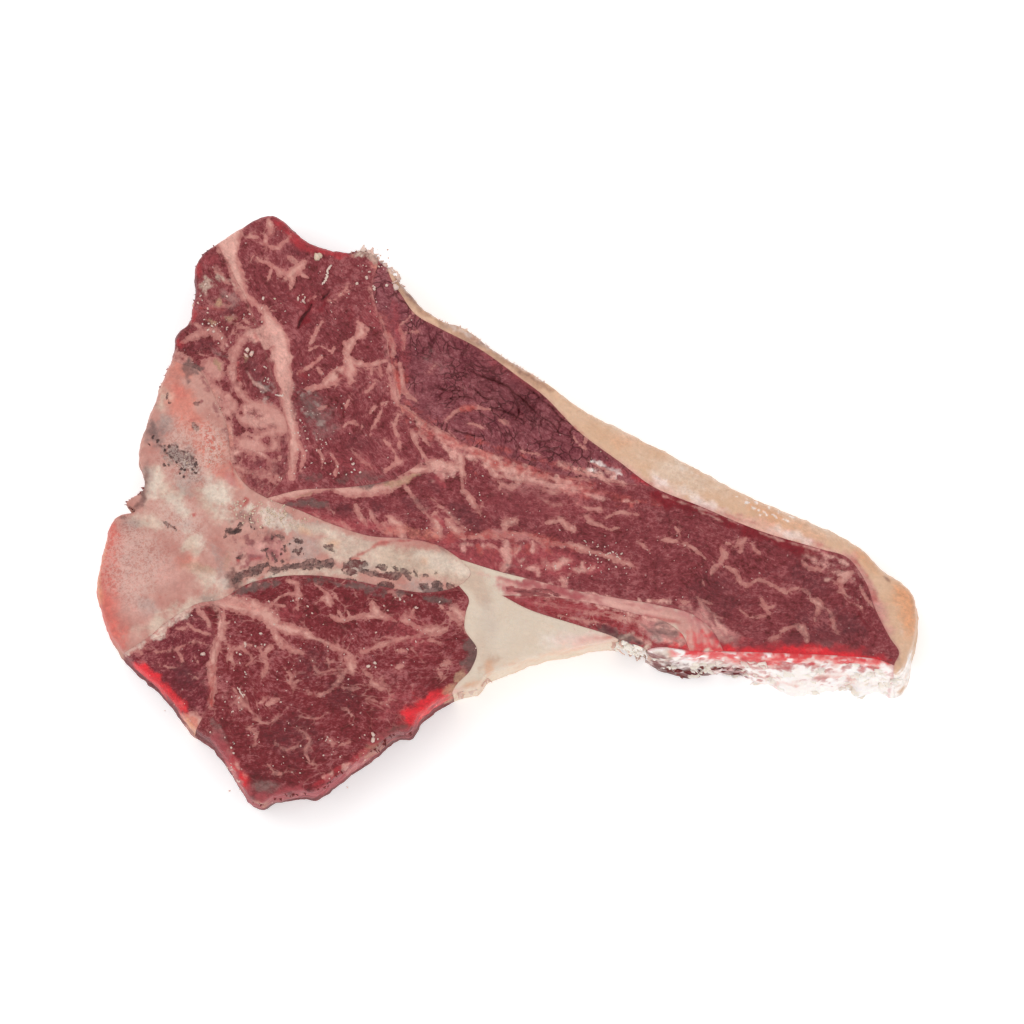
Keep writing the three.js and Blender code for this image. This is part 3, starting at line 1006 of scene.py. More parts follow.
@dataclass(frozen=True)
class Finish:
    """What every finish shares: its grain, its gloss and how far light goes into it."""

    name: str
    turn: float = 0.0  # degrees from +X to the grain
    stretch: float = 2.0
    bundle_stretch: float = 0.6  # that of its bundles, for its own
    grain: float = 0.55
    cell: float = 2.6  # its bundles' width
    scallop: float = 0.55
    ragged: float = 0.62
    gloss: float = 0.4
    shine: float = 0.45
    depth: float = 0.06  # the share of light that goes in
    reach: Colour = (1.0, 0.3, 0.2)  # how far each colour goes, in millimetres
    joint: Colour = seen(166, 92, 92)
    joint_share: float = 0.5
    # the dark colour painted as shade into slits and pits, the gaps between bundles and cracks, and how
    # much of it the slits take
    slit_shade: Colour = seen(66, 28, 34)
    slit_shade_share: float = 0.75
    crust: Colour = seen(104, 58, 56)
    crust_share: float = 0.35
    bump: float = 0.9

    def material(self, effects: Effects) -> bpy.types.Material:
        """Makes the material.

        Args:
            effects: the shared shader groups.

        Returns:
            The finished material.
        """
        made = bpy.data.materials.new(self.name)
        made.use_nodes = True
        n = Nodes(made.node_tree)
        shader = made.node_tree.nodes["Principled BSDF"]
        grain = {"Turn": math.radians(-self.turn)}
        fibres = n.use(effects.fibres, Stretch=self.stretch, Size=self.grain, **grain)
        stretch = max(1.0, self.stretch * self.bundle_stretch)
        bundles = n.use(effects.bundles, Stretch=stretch, Cell=self.cell, **grain)
        laid = n.use(effects.laid, Distance=n.mark(Mark.LAID), Middle=bundles["Middle"],
                     Scallop=self.scallop, Ragged=self.ragged)
        at = n.millimetres()
        seam = n.total((n.noise(at, 2.4, 4.0, 0.7), 0.6), (n.attribute("seam"), 1.0))
        joined = n.times(n.rise(seam, 1.0, -0.1), self.joint_share)
        colour, rough, height = self.surface(n, effects, fibres, bundles, laid, joined)
        worn = n.total((n.noise(at, 6.0, 4.0, 0.65), 1.6), (n.attribute("edge"), 0.5))
        aged = n.times(n.rise(worn, 0.4, -2.4), n.rise(n.attribute("edge"), 0.4, -1.2))
        washed = n.put("Attribute", attribute_name="wash").outputs["Alpha"]
        aged = n.times(aged, n.rise(washed, 0.9, 0.3))
        colour = n.mix(n.times(aged, self.crust_share), colour, self.crust)
        # painted shade in the sunk slits and pits
        slit_shade = n.rise(n.mark(Mark.SUNK), 0.1, 0.7)
        colour = n.mix(n.times(slit_shade, self.slit_shade_share), colour, self.slit_shade)
        bump = n.put("Bump", {"Height": height, "Distance": MM, "Strength": self.bump})
        n.feed(shader.inputs["Base Color"], colour)
        n.feed(shader.inputs["Roughness"], n.total((rough, 1.0), (aged, 0.15)))
        n.feed(shader.inputs["Normal"], bump.outputs["Normal"])
        shader.inputs["Specular IOR Level"].default_value = self.shine
        n.feed(shader.inputs["Subsurface Weight"],
               n.times(n.rise(n.attribute("seam"), 0.3, 2.6), self.depth))
        shader.inputs["Subsurface Radius"].default_value = self.reach
        shader.inputs["Subsurface Scale"].default_value = MM
        return made

    def surface(self, n: Nodes, effects: Effects, fibres: Outputs, bundles: Outputs, laid: Outputs,
                joined: Socket) -> tuple[Socket, Socket, Socket]:
        """Mixes what this kind of tissue shows; each kind has its own.

        Args:
            n: the material's calls.
            effects: the shared shader groups.
            fibres: the outputs of its fibres.
            bundles: the outputs of its bundles of fibres.
            laid: the outputs of what is laid in it.
            joined: how much its joint with the next tissue shows.

        Returns:
            The colour, the roughness and the height in millimetres.
        """
        raise NotImplementedError


@dataclass(frozen=True)
class LeanFinish(Finish):
    """Muscle cut across: bundles of fibres, marbling, films and a few white specks."""

    shine: float = 0.3
    deep: Colour = seen(98, 32, 38)
    base: Colour = seen(134, 60, 65)
    light: Colour = seen(170, 98, 100)
    film: Colour = seen(188, 112, 110)
    fat: Colour = seen(189, 118, 112)
    pale_fat: Colour = seen(220, 164, 152)
    web: float = 0.35  # how much of the finest marbling shows between the bundles
    web_cell: float = 4.6
    gap: float = 0.25  # how strong the painted shade in the gaps between the bundles is
    crack: float = 0.0  # the depth of cracks between the bundles, which also get painted shade
    speck_share: float = 0.12
    speck: Colour = seen(222, 178, 172)

    def surface(self, n: Nodes, effects: Effects, fibres: Outputs, bundles: Outputs, laid: Outputs,
                joined: Socket) -> tuple[Socket, Socket, Socket]:
        """Mixes fibres, films, marbling, cracks and specks, with painted shade in the gaps between bundles
        and in the cracks.

        Args:
            n: the material's calls.
            effects: the shared shader groups.
            fibres: the outputs of its fibres.
            bundles: the outputs of its bundles of fibres.
            laid: the outputs of what is laid in it.
            joined: how much its joint with the next tissue shows.

        Returns:
            The colour, the roughness and the height in millimetres.
        """
        at = n.millimetres()
        patches = n.rise(n.noise(at, 11.0, 4.0, 0.6), -0.9, 0.9)
        mottle = n.rise(n.noise(at, 1.5, 4.0, 0.68), -0.8, 0.8)
        tone = n.total((fibres["Coarse"], 0.2), (fibres["Fine"], 0.24), (mottle, 0.28), (patches, 0.24),
                       (bundles["Own"], 0.1))
        colour = n.mix(n.rise(tone, 0.2, 0.5), self.deep, self.base)
        colour = n.mix(n.rise(tone, 0.48, 0.84), colour, self.light)
        colour = n.mix(joined, colour, self.joint)
        # painted shade in the gaps between the bundles
        gap = n.times(n.rise(bundles["Edge"], 0.3, 0.02), n.rise(n.noise(at, 5.0, 3.0), -0.7, 0.6))
        colour = n.mix(n.times(gap, self.gap), colour, self.slit_shade)
        haze = n.total((laid["Film"], 0.5), (fibres["Fine"], 0.35), (mottle, 0.3), (patches, 0.45),
                       (1.0, -0.45))
        colour = n.mix(n.times(n.rise(haze, 0.25, 1.2), 0.55), colour, self.film)
        web = n.use(effects.bundles, Turn=math.radians(-self.turn), Stretch=1.3, Cell=self.web_cell)
        spread = n.rise(n.total((n.noise(at, 12.0, 3.0, 0.6), 0.8), (laid["Film"], 0.7)),
                        0.8 - 1.6 * self.web, 1.3)
        thread = n.rise(web["Edge"], n.math("ADD", n.times(spread, 0.5), 0.06), 0.02)
        thread = n.times(thread, n.total((spread, 0.75), (fibres["Coarse"], 0.3)))
        fat = n.either(laid["Vein"], thread)
        core = n.total((laid["Core"], 0.75), (n.rise(n.noise(at, 3.0, 4.0, 0.7), -0.8, 0.9), 0.6))
        fatty = n.mix(core, self.fat, self.pale_fat)
        share = n.total((fibres["Coarse"], 0.35), (laid["Core"], 0.25), (1.0, 0.6))
        colour = n.mix(n.times(fat, share), colour, fatty)
        height = n.total((fibres["Coarse"], 0.1), (fibres["Fine"], 0.1), (mottle, 0.14), (fat, 0.08),
                         (bundles["Middle"], 0.1), (gap, -0.1))
        if self.crack:
            dry = n.times(n.rise(n.noise(at, 7.0, 4.0), -0.45, 0.3), n.rise(fat, 0.3, 0.0))
            crack = n.times(n.rise(bundles["Edge"], 0.26, 0.04), dry)
            # the open cracks get painted shade as well as depth
            colour = n.mix(n.times(crack, 0.6), colour, self.slit_shade)
            height = n.total((height, 1.0), (crack, -self.crack))
        washed = n.use(effects.washed, Ground=colour, Tone=tone, Contrast=0.9, Broken=0.36)
        specks = effects.grains(n, 1.3, 0.3, self.speck_share)
        gathered = n.times(specks, n.rise(n.noise(at, 9.0, 2.0), -0.4, 0.7))
        colour = n.mix(n.times(gathered, 0.7), washed["Colour"], self.speck)
        height = n.total((height, 1.0), (gathered, 0.25))
        return colour, n.total((patches, 0.14), (fat, -0.05), (1.0, self.gloss)), height


@dataclass(frozen=True)
class FatFinish(Finish):
    """Aged fat: cream to tan, streaked, with small red dots and a moist gloss."""

    depth: float = 0.15
    reach: Colour = (2.0, 1.2, 0.8)
    joint: Colour = seen(210, 150, 138)
    crust: Colour = seen(206, 170, 138)
    cream: Colour = seen(224, 190, 166)
    tan: Colour = seen(212, 164, 130)
    dark_lean: Colour = seen(104, 40, 46)
    light_lean: Colour = seen(176, 92, 92)
    dot: Colour = seen(186, 94, 72)
    dot_share: float = 0.1
    cloud: float = 0.5  # how much of it the tan clouds take
    contrast: float = 0.3

    def surface(self, n: Nodes, effects: Effects, fibres: Outputs, bundles: Outputs, laid: Outputs,
                joined: Socket) -> tuple[Socket, Socket, Socket]:
        """Mixes cream and tan clouds, washes, lean and dots.

        Args:
            n: the material's calls.
            effects: the shared shader groups.
            fibres: the outputs of its fibres.
            bundles: the outputs of its bundles of fibres; not used here.
            laid: the outputs of what is laid in it.
            joined: how much its joint with the next tissue shows.

        Returns:
            The colour, the roughness and the height in millimetres.
        """
        at = n.millimetres()
        clouds = n.clouds(at)
        waxy = n.rise(n.noise(at, 1.6, 4.0, 0.7), -0.8, 0.8)
        colour = n.mix(joined, n.mix(n.times(clouds, self.cloud), self.cream, self.tan), self.joint)
        tone = n.total((fibres["Coarse"], 0.3), (fibres["Fine"], 0.25), (waxy, 0.45))
        washed = n.use(effects.washed, Ground=colour, Tone=tone, Contrast=self.contrast,
                       Broken=0.14)
        shade = n.total((tone, 0.6 * self.contrast), (1.0, 1.0 - 0.3 * self.contrast))
        ground = n.scaled(washed["Colour"], shade)
        red = n.mix(fibres["Coarse"], self.dark_lean, self.light_lean)
        colour = n.mix(n.times(laid["Vein"], 0.92), ground, red)
        dots = effects.grains(n, 3.6, 0.4, self.dot_share)
        colour = n.mix(n.times(dots, 0.6), colour, self.dot)
        height = n.total((fibres["Coarse"], 0.1), (fibres["Fine"], 0.06), (waxy, 0.16))
        return colour, n.total((clouds, 0.12), (1.0, self.gloss)), height


@dataclass(frozen=True)
class BoneFinish(Finish):
    """Sawn bone: pink spongy marrow and cream patches, with pores, lace and dark marrow lines."""

    scallop: float = 0.5
    depth: float = 0.08
    reach: Colour = (1.4, 0.7, 0.5)
    joint: Colour = seen(196, 150, 138)
    joint_share: float = 0.3
    slit_shade: Colour = seen(58, 34, 36)
    crust: Colour = seen(176, 138, 118)
    marrow: Colour = seen(192, 128, 117)
    pale_marrow: Colour = seen(206, 158, 146)
    blood: Colour = seen(186, 92, 82)
    dark_line: Colour = seen(64, 42, 40)
    light_line: Colour = seen(134, 100, 94)
    red_line: Colour = seen(112, 60, 58)
    thread: Colour = seen(238, 214, 202)
    hole: Colour = seen(62, 34, 40)

    def surface(self, n: Nodes, effects: Effects, fibres: Outputs, bundles: Outputs, laid: Outputs,
                joined: Socket) -> tuple[Socket, Socket, Socket]:
        """Mixes marrow, washes, lace, dark marrow and pores.

        Args:
            n: the material's calls.
            effects: the shared shader groups.
            fibres: the outputs of its fibres.
            bundles: the outputs of its bundles of fibres; not used here.
            laid: the outputs of what is laid in it.
            joined: how much its joint with the next tissue shows.

        Returns:
            The colour, the roughness and the height in millimetres.
        """
        at = n.millimetres()
        clouds = n.clouds(at)
        spongy = n.rise(n.noise(at, 1.5, 5.0, 0.7), -0.8, 0.8)
        colour = n.mix(joined, n.mix(clouds, self.marrow, self.pale_marrow), self.joint)
        tone = n.total((fibres["Fine"], 0.12), (spongy, 0.48), (clouds, 0.4))
        washed = n.use(effects.washed, Ground=colour, Tone=tone, Contrast=0.32, Broken=0.3)
        shade = n.total((tone, 0.26), (1.0, 0.87))
        colour = n.scaled(washed["Colour"], shade)
        blood = effects.grains(n, 1.5, 0.5, 0.16)
        colour = n.mix(n.times(blood, 0.22), colour, self.blood)
        dark = n.mix(n.rise(n.noise(at, 1.2, 4.0, 0.75), -0.7, 0.7), self.dark_line, self.light_line)
        dark = n.mix(n.rise(n.noise(at, 6.0, 3.0), 0.1, 0.8), dark, self.red_line)
        colour = n.mix(n.times(laid["Vein"], n.total((spongy, 0.8), (1.0, 0.45))), colour, dark)
        thread = n.times(n.use(effects.lace, Size=1.7, Width=0.3)["Thread"], n.mark(Mark.LACE))
        colour = n.mix(n.times(thread, 0.8), colour, self.thread)
        holes = effects.grains(n, 1.25, 0.6, n.mark(Mark.PORES))
        colour = n.mix(n.times(holes, 0.85), colour, self.hole)
        height = n.total((fibres["Fine"], 0.06), (spongy, 0.12), (holes, -0.6), (thread, 0.2),
                         (laid["Vein"], -0.2))
        return colour, n.total((clouds, 0.12), (1.0, self.gloss)), height


class Tint(Enum):
    """The colours of the washes, as they are seen."""

    WHITE = (246, 234, 228)
    IVORY = (224, 206, 190)
    CREAM = (210, 184, 166)
    YELLOW_CREAM = (204, 176, 156)
    PALE_PINK = (224, 168, 156)
    PINK = (198, 128, 124)
    ROSE = (204, 148, 137)
    SALMON = (208, 126, 110)
    ORANGE = (222, 158, 116)
    CORAL = (206, 104, 92)
    TAN = (184, 140, 114)
    STONE = (176, 152, 144)
    GREY = (148, 116, 110)
    SMOKE = (112, 80, 76)
    BROWN = (112, 66, 60)
    DARK_RED = (92, 36, 42)
    WINE = (128, 50, 56)
    LEAN_RED = (164, 66, 72)
    DEEP_RED = (172, 44, 52)
    # painted backlight: the red glow that light from below gives the thin rims, and its rose streaks
    GLOW = (218, 38, 48)
    BACKLIT_ROSE_GLOW = (232, 104, 102)
    BLOOD = (178, 76, 70)
    CLOT = (122, 12, 26)


# the tints of the painted backlight glow, with the rims' deep red, which stay near the upper face
GLOW_AND_RIM_RED = (Tint.GLOW, Tint.BACKLIT_ROSE_GLOW, Tint.DEEP_RED)


@dataclass(frozen=True)
class Wash:
    """A wash of one colour, its edge strayed at its own scale."""

    tint: Tint
    strokes: tuple[Stroke, ...]
    rag: float = 0.7  # how far the edge strays, in millimetres
    size: float = 3.0
    heights: tuple[float, float] = EVERY_HEIGHT

    def cover(self, spots: Array, points: Array, seed: int) -> Array:
        """Gives how much of the wash lies at each point.

        Args:
            spots: rows of x and y on the plan.
            points: rows of x, y and z, from which the edge gets its straying.
            seed: tells one wash from another.

        Returns:
            A share between 0 and 1 for each point.
        """
        gaps = [stroke.edge_distance(spots) for stroke in self.strokes]
        near = np.min(gaps, axis=0) < 2 * self.rag + max(stroke.soft for stroke in self.strokes)
        stray = self.rag * roughness_of(points[near], self.size, seed, 4)
        low, high = self.heights
        level = points[near, 2] + 2 * stray
        between = ease(level, low - HEIGHT_SOFT, low) * (1 - ease(level, high, high + HEIGHT_SOFT))
        cover = np.zeros(len(spots))
        for stroke, gap in zip(self.strokes, gaps):
            share = between * stroke.strength * ease(-gap[near] - stray, -stroke.soft, stroke.soft)
            cover[near] = np.maximum(cover[near], share)
        return cover


def wash(tint: Tint, *rows: tuple[float, ...], strength: float = 0.9, soft: float = 0.8, rag: float = 0.7,
         size: float = 3.0, heights: tuple[float, float] = EVERY_HEIGHT) -> Wash:
    """Makes a wash; the painted backlight glow and the rims' deep red stay near the upper face.

    Args:
        tint: its colour.
        rows: a width and the course that follows it, for each of its strokes.
        strength: the share of the ground that it covers.
        soft: how far its edge fades to each side, in millimetres.
        rag: how far its edge strays, in millimetres.
        size: how large the swells of that straying are.
        heights: where it lies, in millimetres above the underside.

    Returns:
        The wash.
    """
    if tint in GLOW_AND_RIM_RED:
        heights = NEAR_FACE
    return Wash(tint, strokes(*rows, strength=strength, soft=soft), rag, size, heights)


@dataclass
class Tissue:
    """One tissue of the steak, a closed solid from the upper face to the underside."""

    node: str
    seat: tuple[float, float]  # u and v of a point inside it
    slot: str
    finish: Finish
    marks: dict[Mark, tuple[Stroke, ...]]
    washes: tuple[Wash, ...] = ()
    crown: float = 0.25
    grit: float = 0.05
    warp: float = 0.4
    drift: float = 2.4  # how far the marks wander on their way down to the underside
    side_rings: int = 24
    groove: float = 1.2  # how far from a seam its own relief begins in full
    inset: float = 2.4  # how far from the rim the underside has no points of the face's
    uneven: float = 0.07  # the face's low relief, which all tissues share
    uneven_size: float = 5.0
    pitted: float = 0.04
    pitted_size: float = 1.5
    crown_reach: float = 7.0
    vein_rise: float = 0.1
    grit_size: float = 1.1
    warp_size: float = 3.2
    drift_size: float = 15.0
    fold: float = 0.4  # how far the side's folds stand out
    fold_size: float = 5.0
    wrinkle: float = 0.12
    wrinkle_size: float = 1.6
    foot_reach: float = 10.0  # how far in from the rim the underside moves with the foot

    def build(self, slab: Slab, effects: Effects) -> bpy.types.Object:
        """Makes the tissue's mesh and dresses it.

        Args:
            slab: the whole steak's body.
            effects: the shared shader groups.

        Returns:
            The finished piece.
        """
        part = slab.stretch(self.seat)
        flat = slab.points[part.used]
        rim = slab.on_rim[part.used]
        drop = slab.shoulder_drop(slab.edge_gap[part.used], slab.shoulder[part.used])
        face = np.column_stack([flat, self.height(slab, flat) - drop])
        slab.top[part.used] = face[:, 2]
        side = self._side(slab, part, face, rim)
        kept, bottom = self._underside(slab, part)
        foot = self._foot(slab, part, kept)
        first_foot = len(face) + side.shape[0] * side.shape[1]
        column = np.full(len(face), -1)
        column[rim] = np.arange(rim.sum())
        under = np.full(len(face), -1)
        under[kept] = np.arange(len(kept)) + first_foot

        def chain(at: int) -> list[int]:
            """Lists the points from the face down to the underside."""
            start = len(face) + column[at] * side.shape[1]
            return [at, *(range(start, start + side.shape[1]) if rim[at] else ()), under[at]]

        outer, inner = self._walls(part, slab.rim_edges, chain)
        points = np.vstack([face, side.reshape(-1, 3), foot])
        faces = np.vstack([part.triangles, outer, (bottom + first_foot)[:, ::-1], inner])
        mesh = self._mesh(points, faces, len(inner))
        gap = np.concatenate([slab.edge_gap[part.used], -(face[rim, 2][:, None] - side[:, :, 2]).ravel(),
                              slab.edge_gap[part.used[kept]]])
        write_numbers(mesh, "edge", gap)
        write_numbers(mesh, "seam", slab.seam_gap(points[:, :2]))
        self._write_marks(mesh, points)
        piece = shown(mesh.name, mesh)
        mesh.materials.append(self.finish.material(effects))
        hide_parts(self.node)
        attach(piece, "root")
        return piece

    def height(self, slab: Slab, flat: Array) -> Array:
        """Gives the height of the upper face, before its edge is rounded.

        Args:
            slab: the whole steak's body.
            flat: rows of x and y.

        Returns:
            One height for each point.
        """
        seam = slab.seam_gap(flat)
        common = self.uneven * roughness_of(flat, self.uneven_size, Seed.FACE)
        common = common + self.pitted * roughness_of(flat, self.pitted_size, Seed.FACE_FINE)
        return slab.swell(flat) + common + ease(seam, 0, self.groove) * self.relief(flat, seam)

    def relief(self, flat: Array, seam: Array) -> Array:
        """Gives the height that only this tissue adds, away from its seams.

        Args:
            flat: rows of x and y.
            seam: how far each point is from the nearest seam.

        Returns:
            One height for each point.
        """
        slits = painted(flat, self.marks.get(Mark.SUNK, ()))
        veins = self.vein_rise * ease(-self.laid(flat), -0.4, 0.4)
        grit = self.grit * roughness_of(flat, self.grit_size, Seed.GRIT)
        return self.crown * ease(seam, 0, self.crown_reach) - slits + veins + grit

    def laid(self, spots: Array) -> Array:
        """Measures how far places lie outside what is laid in this tissue.

        Args:
            spots: rows of x and y on the plan.

        Returns:
            Millimetres, negative inside it.
        """
        distance = np.full(len(spots), FAR)
        for stroke in self.marks.get(Mark.LAID, ()):
            distance = np.minimum(distance, stroke.edge_distance(spots))
        for stroke in self.marks.get(Mark.CUT, ()):
            distance = np.maximum(distance, -stroke.edge_distance(spots))
        return distance

    def side_relief(self, spots: Array, seam: Array) -> Array:
        """Gives how far places on the outer side stand out beside its usual belly.

        Args:
            spots: rows of x, y and z.
            seam: how far each is from the nearest seam; not used here.

        Returns:
            One distance for each place.
        """
        folds = self.fold * roughness_of(spots * (1, 1, 1.6), self.fold_size, Seed.SIDE)
        return folds + self.wrinkle * roughness_of(spots, self.wrinkle_size, Seed.SIDE_FINE)

    def _side(self, slab: Slab, part: Stretch, face: Array, rim: Array) -> Array:
        """Makes the points down the side under each rim point, without its two ends.

        Args:
            slab: the whole steak's body.
            part: the tissue's part of the face.
            face: the face's points.
            rim: which of them are on the rim.

        Returns:
            An array of columns, rings and x, y and z.
        """
        top = face[rim]
        lean, outward = slab.lean[part.used][rim][:, None], slab.outward[part.used][rim]
        share = np.arange(1, self.side_rings + 1) / self.side_rings
        high = top[:, 2:] + (FOOT_ROUND - top[:, 2:]) * share
        turn = np.linspace(0, math.pi / 2, slab.foot_rings + 2)[1:-1]
        foot_out = lean - FOOT_ROUND * (1 - np.cos(turn))
        foot_high = np.broadcast_to(FOOT_ROUND * (1 - np.sin(turn)), foot_out.shape)
        out = np.hstack([stand_out(lean, share), foot_out])
        high = np.hstack([high, foot_high])
        side = np.zeros((*high.shape, 3))
        side[:, :, :2] = top[:, None, :2]
        side[:, :, 2] = high
        seam = np.repeat(slab.seam_gap(top[:, :2]), high.shape[1])
        wrinkle = self.side_relief(side.reshape(-1, 3), seam).reshape(high.shape)
        out += wrinkle * ease(high, 0.2, 3.0) * ease(top[:, 2:] - high, 0.0, 3.0)
        side[:, :, :2] += outward[:, None, :] * out[:, :, None]
        return side

    def _underside(self, slab: Slab, part: Stretch) -> tuple[Array, Array]:
        """Fills the underside with triangles, coarser than the face's.

        Args:
            slab: the whole steak's body.
            part: the tissue's part of the face.

        Returns:
            The places in part.used that the underside keeps, and triangles of places in that list.
        """
        keep = slab.sparse[part.used] & (slab.edge_gap[part.used] > self.inset)
        keep[part.border] = True
        kept = np.flatnonzero(keep)
        back = np.full(len(part.used), -1)
        back[kept] = np.arange(len(kept))
        flat = slab.points[part.used[kept]]
        edges = [(int(back[a]), int(back[b])) for a, b in part.border]
        _, triangles, _, sources = filled(flat, edges)
        return kept, np.array([s[0] for s in sources])[triangles]

    def _foot(self, slab: Slab, part: Stretch, kept: Array) -> Array:
        """Places the underside's points, drawn out or in with the foot of the side.

        Args:
            slab: the whole steak's body.
            part: the tissue's part of the face.
            kept: the places in part.used that the underside keeps.

        Returns:
            Rows of x, y and z.
        """
        used = part.used[kept]
        shift = (slab.lean[used] - FOOT_ROUND) * (1 - ease(slab.edge_gap[used], 0, self.foot_reach))
        flat = slab.points[used] + slab.outward[used] * shift[:, None]
        return np.column_stack([flat, np.zeros(len(used))])

    @staticmethod
    def _walls(part: Stretch, rim_edges: set[tuple[int, int]], chain: Callable) -> tuple[Array, Array]:
        """Joins the face to the underside.

        Args:
            part: the tissue's part of the face.
            rim_edges: the edges of the whole steak's rim.
            chain: lists a border point's column of points, from the face down.

        Returns:
            The triangles of the outer side, and those of the walls against other tissues.
        """
        outer, inner = [], []
        for a, b in part.border:
            left, right = chain(a), chain(b)
            walls = outer if (int(part.used[a]), int(part.used[b])) in rim_edges else inner
            i = j = 0
            while i + 1 < len(left) or j + 1 < len(right):
                if (i + 1) * (len(right) - 1) <= (j + 1) * (len(left) - 1) and i + 1 < len(left):
                    walls.append((left[i], left[i + 1], right[j]))
                    i += 1
                else:
                    walls.append((left[i], right[j + 1], right[j]))
                    j += 1
        return np.array(outer, int).reshape(-1, 3), np.array(inner, int).reshape(-1, 3)

    def _mesh(self, points: Array, faces: Array, flat_faces: int) -> bpy.types.Mesh:
        """Makes a mesh of triangles, the last few of them shaded flat.

        Args:
            points: rows of x, y and z in millimetres.
            faces: rows of three points.
            flat_faces: how many of the last triangles are shaded flat.

        Returns:
            The mesh.
        """
        mesh = mesh_of(self.node + "_dressed", points, faces)
        smooth = np.ones(len(faces), bool)
        smooth[len(faces) - flat_faces:] = False
        mesh.polygons.foreach_set("use_smooth", smooth)
        return mesh

    def _write_marks(self, mesh: bpy.types.Mesh, points: Array) -> None:
        """Writes what the marks left at each point, strayed a little and more so further down.

        Args:
            mesh: the tissue's mesh.
            points: rows of x, y and z in millimetres.
        """
        seeds = (Seed.MARK_STRAY_X, Seed.MARK_STRAY_Y)
        stray = np.stack([roughness_of(points, self.warp_size, seed) for seed in seeds], axis=1)
        seeds = (Seed.WANDER_X, Seed.WANDER_Y)
        wander = np.stack([ripple(points, self.drift_size, seed) for seed in seeds], axis=1)
        depth = ease(1 - points[:, 2] / THICKNESS, 0.06, 0.5)
        spots = points[:, :2] + self.warp * stray + self.drift * depth[:, None] * wander
        values = {mark: painted(spots, self.marks.get(mark, ())) for mark in Mark}
        values[Mark.LAID] = self.laid(spots)
        del values[Mark.CUT]
        for mark, value in values.items():
            write_numbers(mesh, mark.value, value)
        colour, cover = np.zeros((len(points), 3)), np.zeros(len(points))
        for order, wash_of in enumerate(self.washes):
            share = wash_of.cover(spots, points, Seed.FIRST_WASH + WASH_SEEDS_APART * order)
            colour += (srgb(*wash_of.tint.value) - colour) * share[:, None]
            cover += (1 - cover) * share
        write_colours(mesh, colour / np.maximum(cover, LEAST_COVER)[:, None], cover)


@dataclass
class CapMuscle(Tissue):
    """The dried muscle at the upper right, broken by a net of fissures."""

    fissured: tuple[float, float, float, float] = (522, 408, 92, 46)  # u, v, reach across and down
    cell: float = 2.8
    fissure: float = 0.6
    lie: float = -38.0  # degrees from +X to the way the cells are stretched
    stretched: float = 1.6
    stray: float = 0.9
    stray_size: float = 3.5
    patch_size: float = 5.0  # how large the places are where the fissures are open

    def relief(self, flat: Array, seam: Array) -> Array:
        """Adds the fissures, deepest in the middle of the muscle.

        Args:
            flat: rows of x and y.
            seam: how far each point is from the nearest seam.

        Returns:
            One height for each point.
        """
        u, v, across, down = self.fissured
        offset = (flat - place([(u, v)])) / (across * UNIT, down * UNIT)
        region = np.exp(-(offset**2).sum(1) ** 2)
        seeds = (Seed.FISSURE_STRAY_X, Seed.FISSURE_STRAY_Y)
        stray = np.stack([roughness_of(flat, self.stray_size, seed) for seed in seeds], axis=1)
        strayed = flat + self.stray * stray
        turn = math.radians(self.lie)
        along = strayed @ (math.cos(turn), math.sin(turn)) / self.stretched
        beside = strayed @ (-math.sin(turn), math.cos(turn))
        walls = cell_walls(np.stack([along, beside], axis=1), self.cell, Seed.FISSURE_CELLS)
        net = 1 - ease(walls, 0.03, 0.22)
        where = ease(ripple(flat, self.patch_size, Seed.FISSURE_DEPTH), -0.4, 0.4)
        return super().relief(flat, seam) - self.fissure * region * net * where


@dataclass
class FlankWall(Tissue):
    """The flank's side, torn into thin layers that run along it."""

    side_rings: int = 44
    layer: float = 0.8
    layer_size: float = 3.0
    layer_way: tuple[float, float, float] = (0.3, 0.3, 2.0)  # long and thin
    crag: float = 0.5
    crag_size: float = 2.4

    def side_relief(self, spots: Array, seam: Array) -> Array:
        """Adds the layers and the crags, away from the seams.

        Args:
            spots: rows of x, y and z.
            seam: how far each is from the nearest seam.

        Returns:
            One distance for each place.
        """
        layers = roughness_of(spots * self.layer_way, self.layer_size, Seed.LAYERS, 4)
        crags = roughness_of(spots, self.crag_size, Seed.CRAGS, 4)
        torn = self.layer * layers + self.crag * crags
        return super().side_relief(spots, seam) + torn * ease(seam, 0.2, 3.0)


SEAM_BULGE = wash(Tint.ROSE, (20, 254, 334, 270, 336), (26, 268, 334, 276, 344), (21, 279, 350, 281, 366),
                  (15, 284, 376, 286, 398), (9, 288, 400, 292, 424), strength=0.85, soft=1.2, rag=1.6,
                  size=2.5)
PINK_SEAM = strokes(
    (22, 238, 226, 227, 236, 220, 247), (20, 236, 228, 229, 242, 230, 258),
    (14, 230, 246, 234, 262, 240, 285, 246, 300), (7, 246, 292, 254, 303, 262, 314),
    (18, 262, 306, 270, 322, 279, 340, 282, 358, 285, 380, 287, 408),
    (11, 286, 395, 290, 420, 295, 440, 293, 458, 293, 480),
    (7, 262, 333, 250, 331, 240, 343, 235, 358, 235, 374, 242, 390, 252, 402),
    (16, 266, 322, 282, 345, 284, 366), (8, 232, 268, 236, 282, 243, 292),
)
TENDON = strokes((3, 587, 463, 604, 470, 621, 475), (2.5, 596, 476, 610, 481, 625, 486),
                 (2.5, 556, 466, 572, 472, 590, 478), (2, 580, 470, 600, 479, 612, 486))
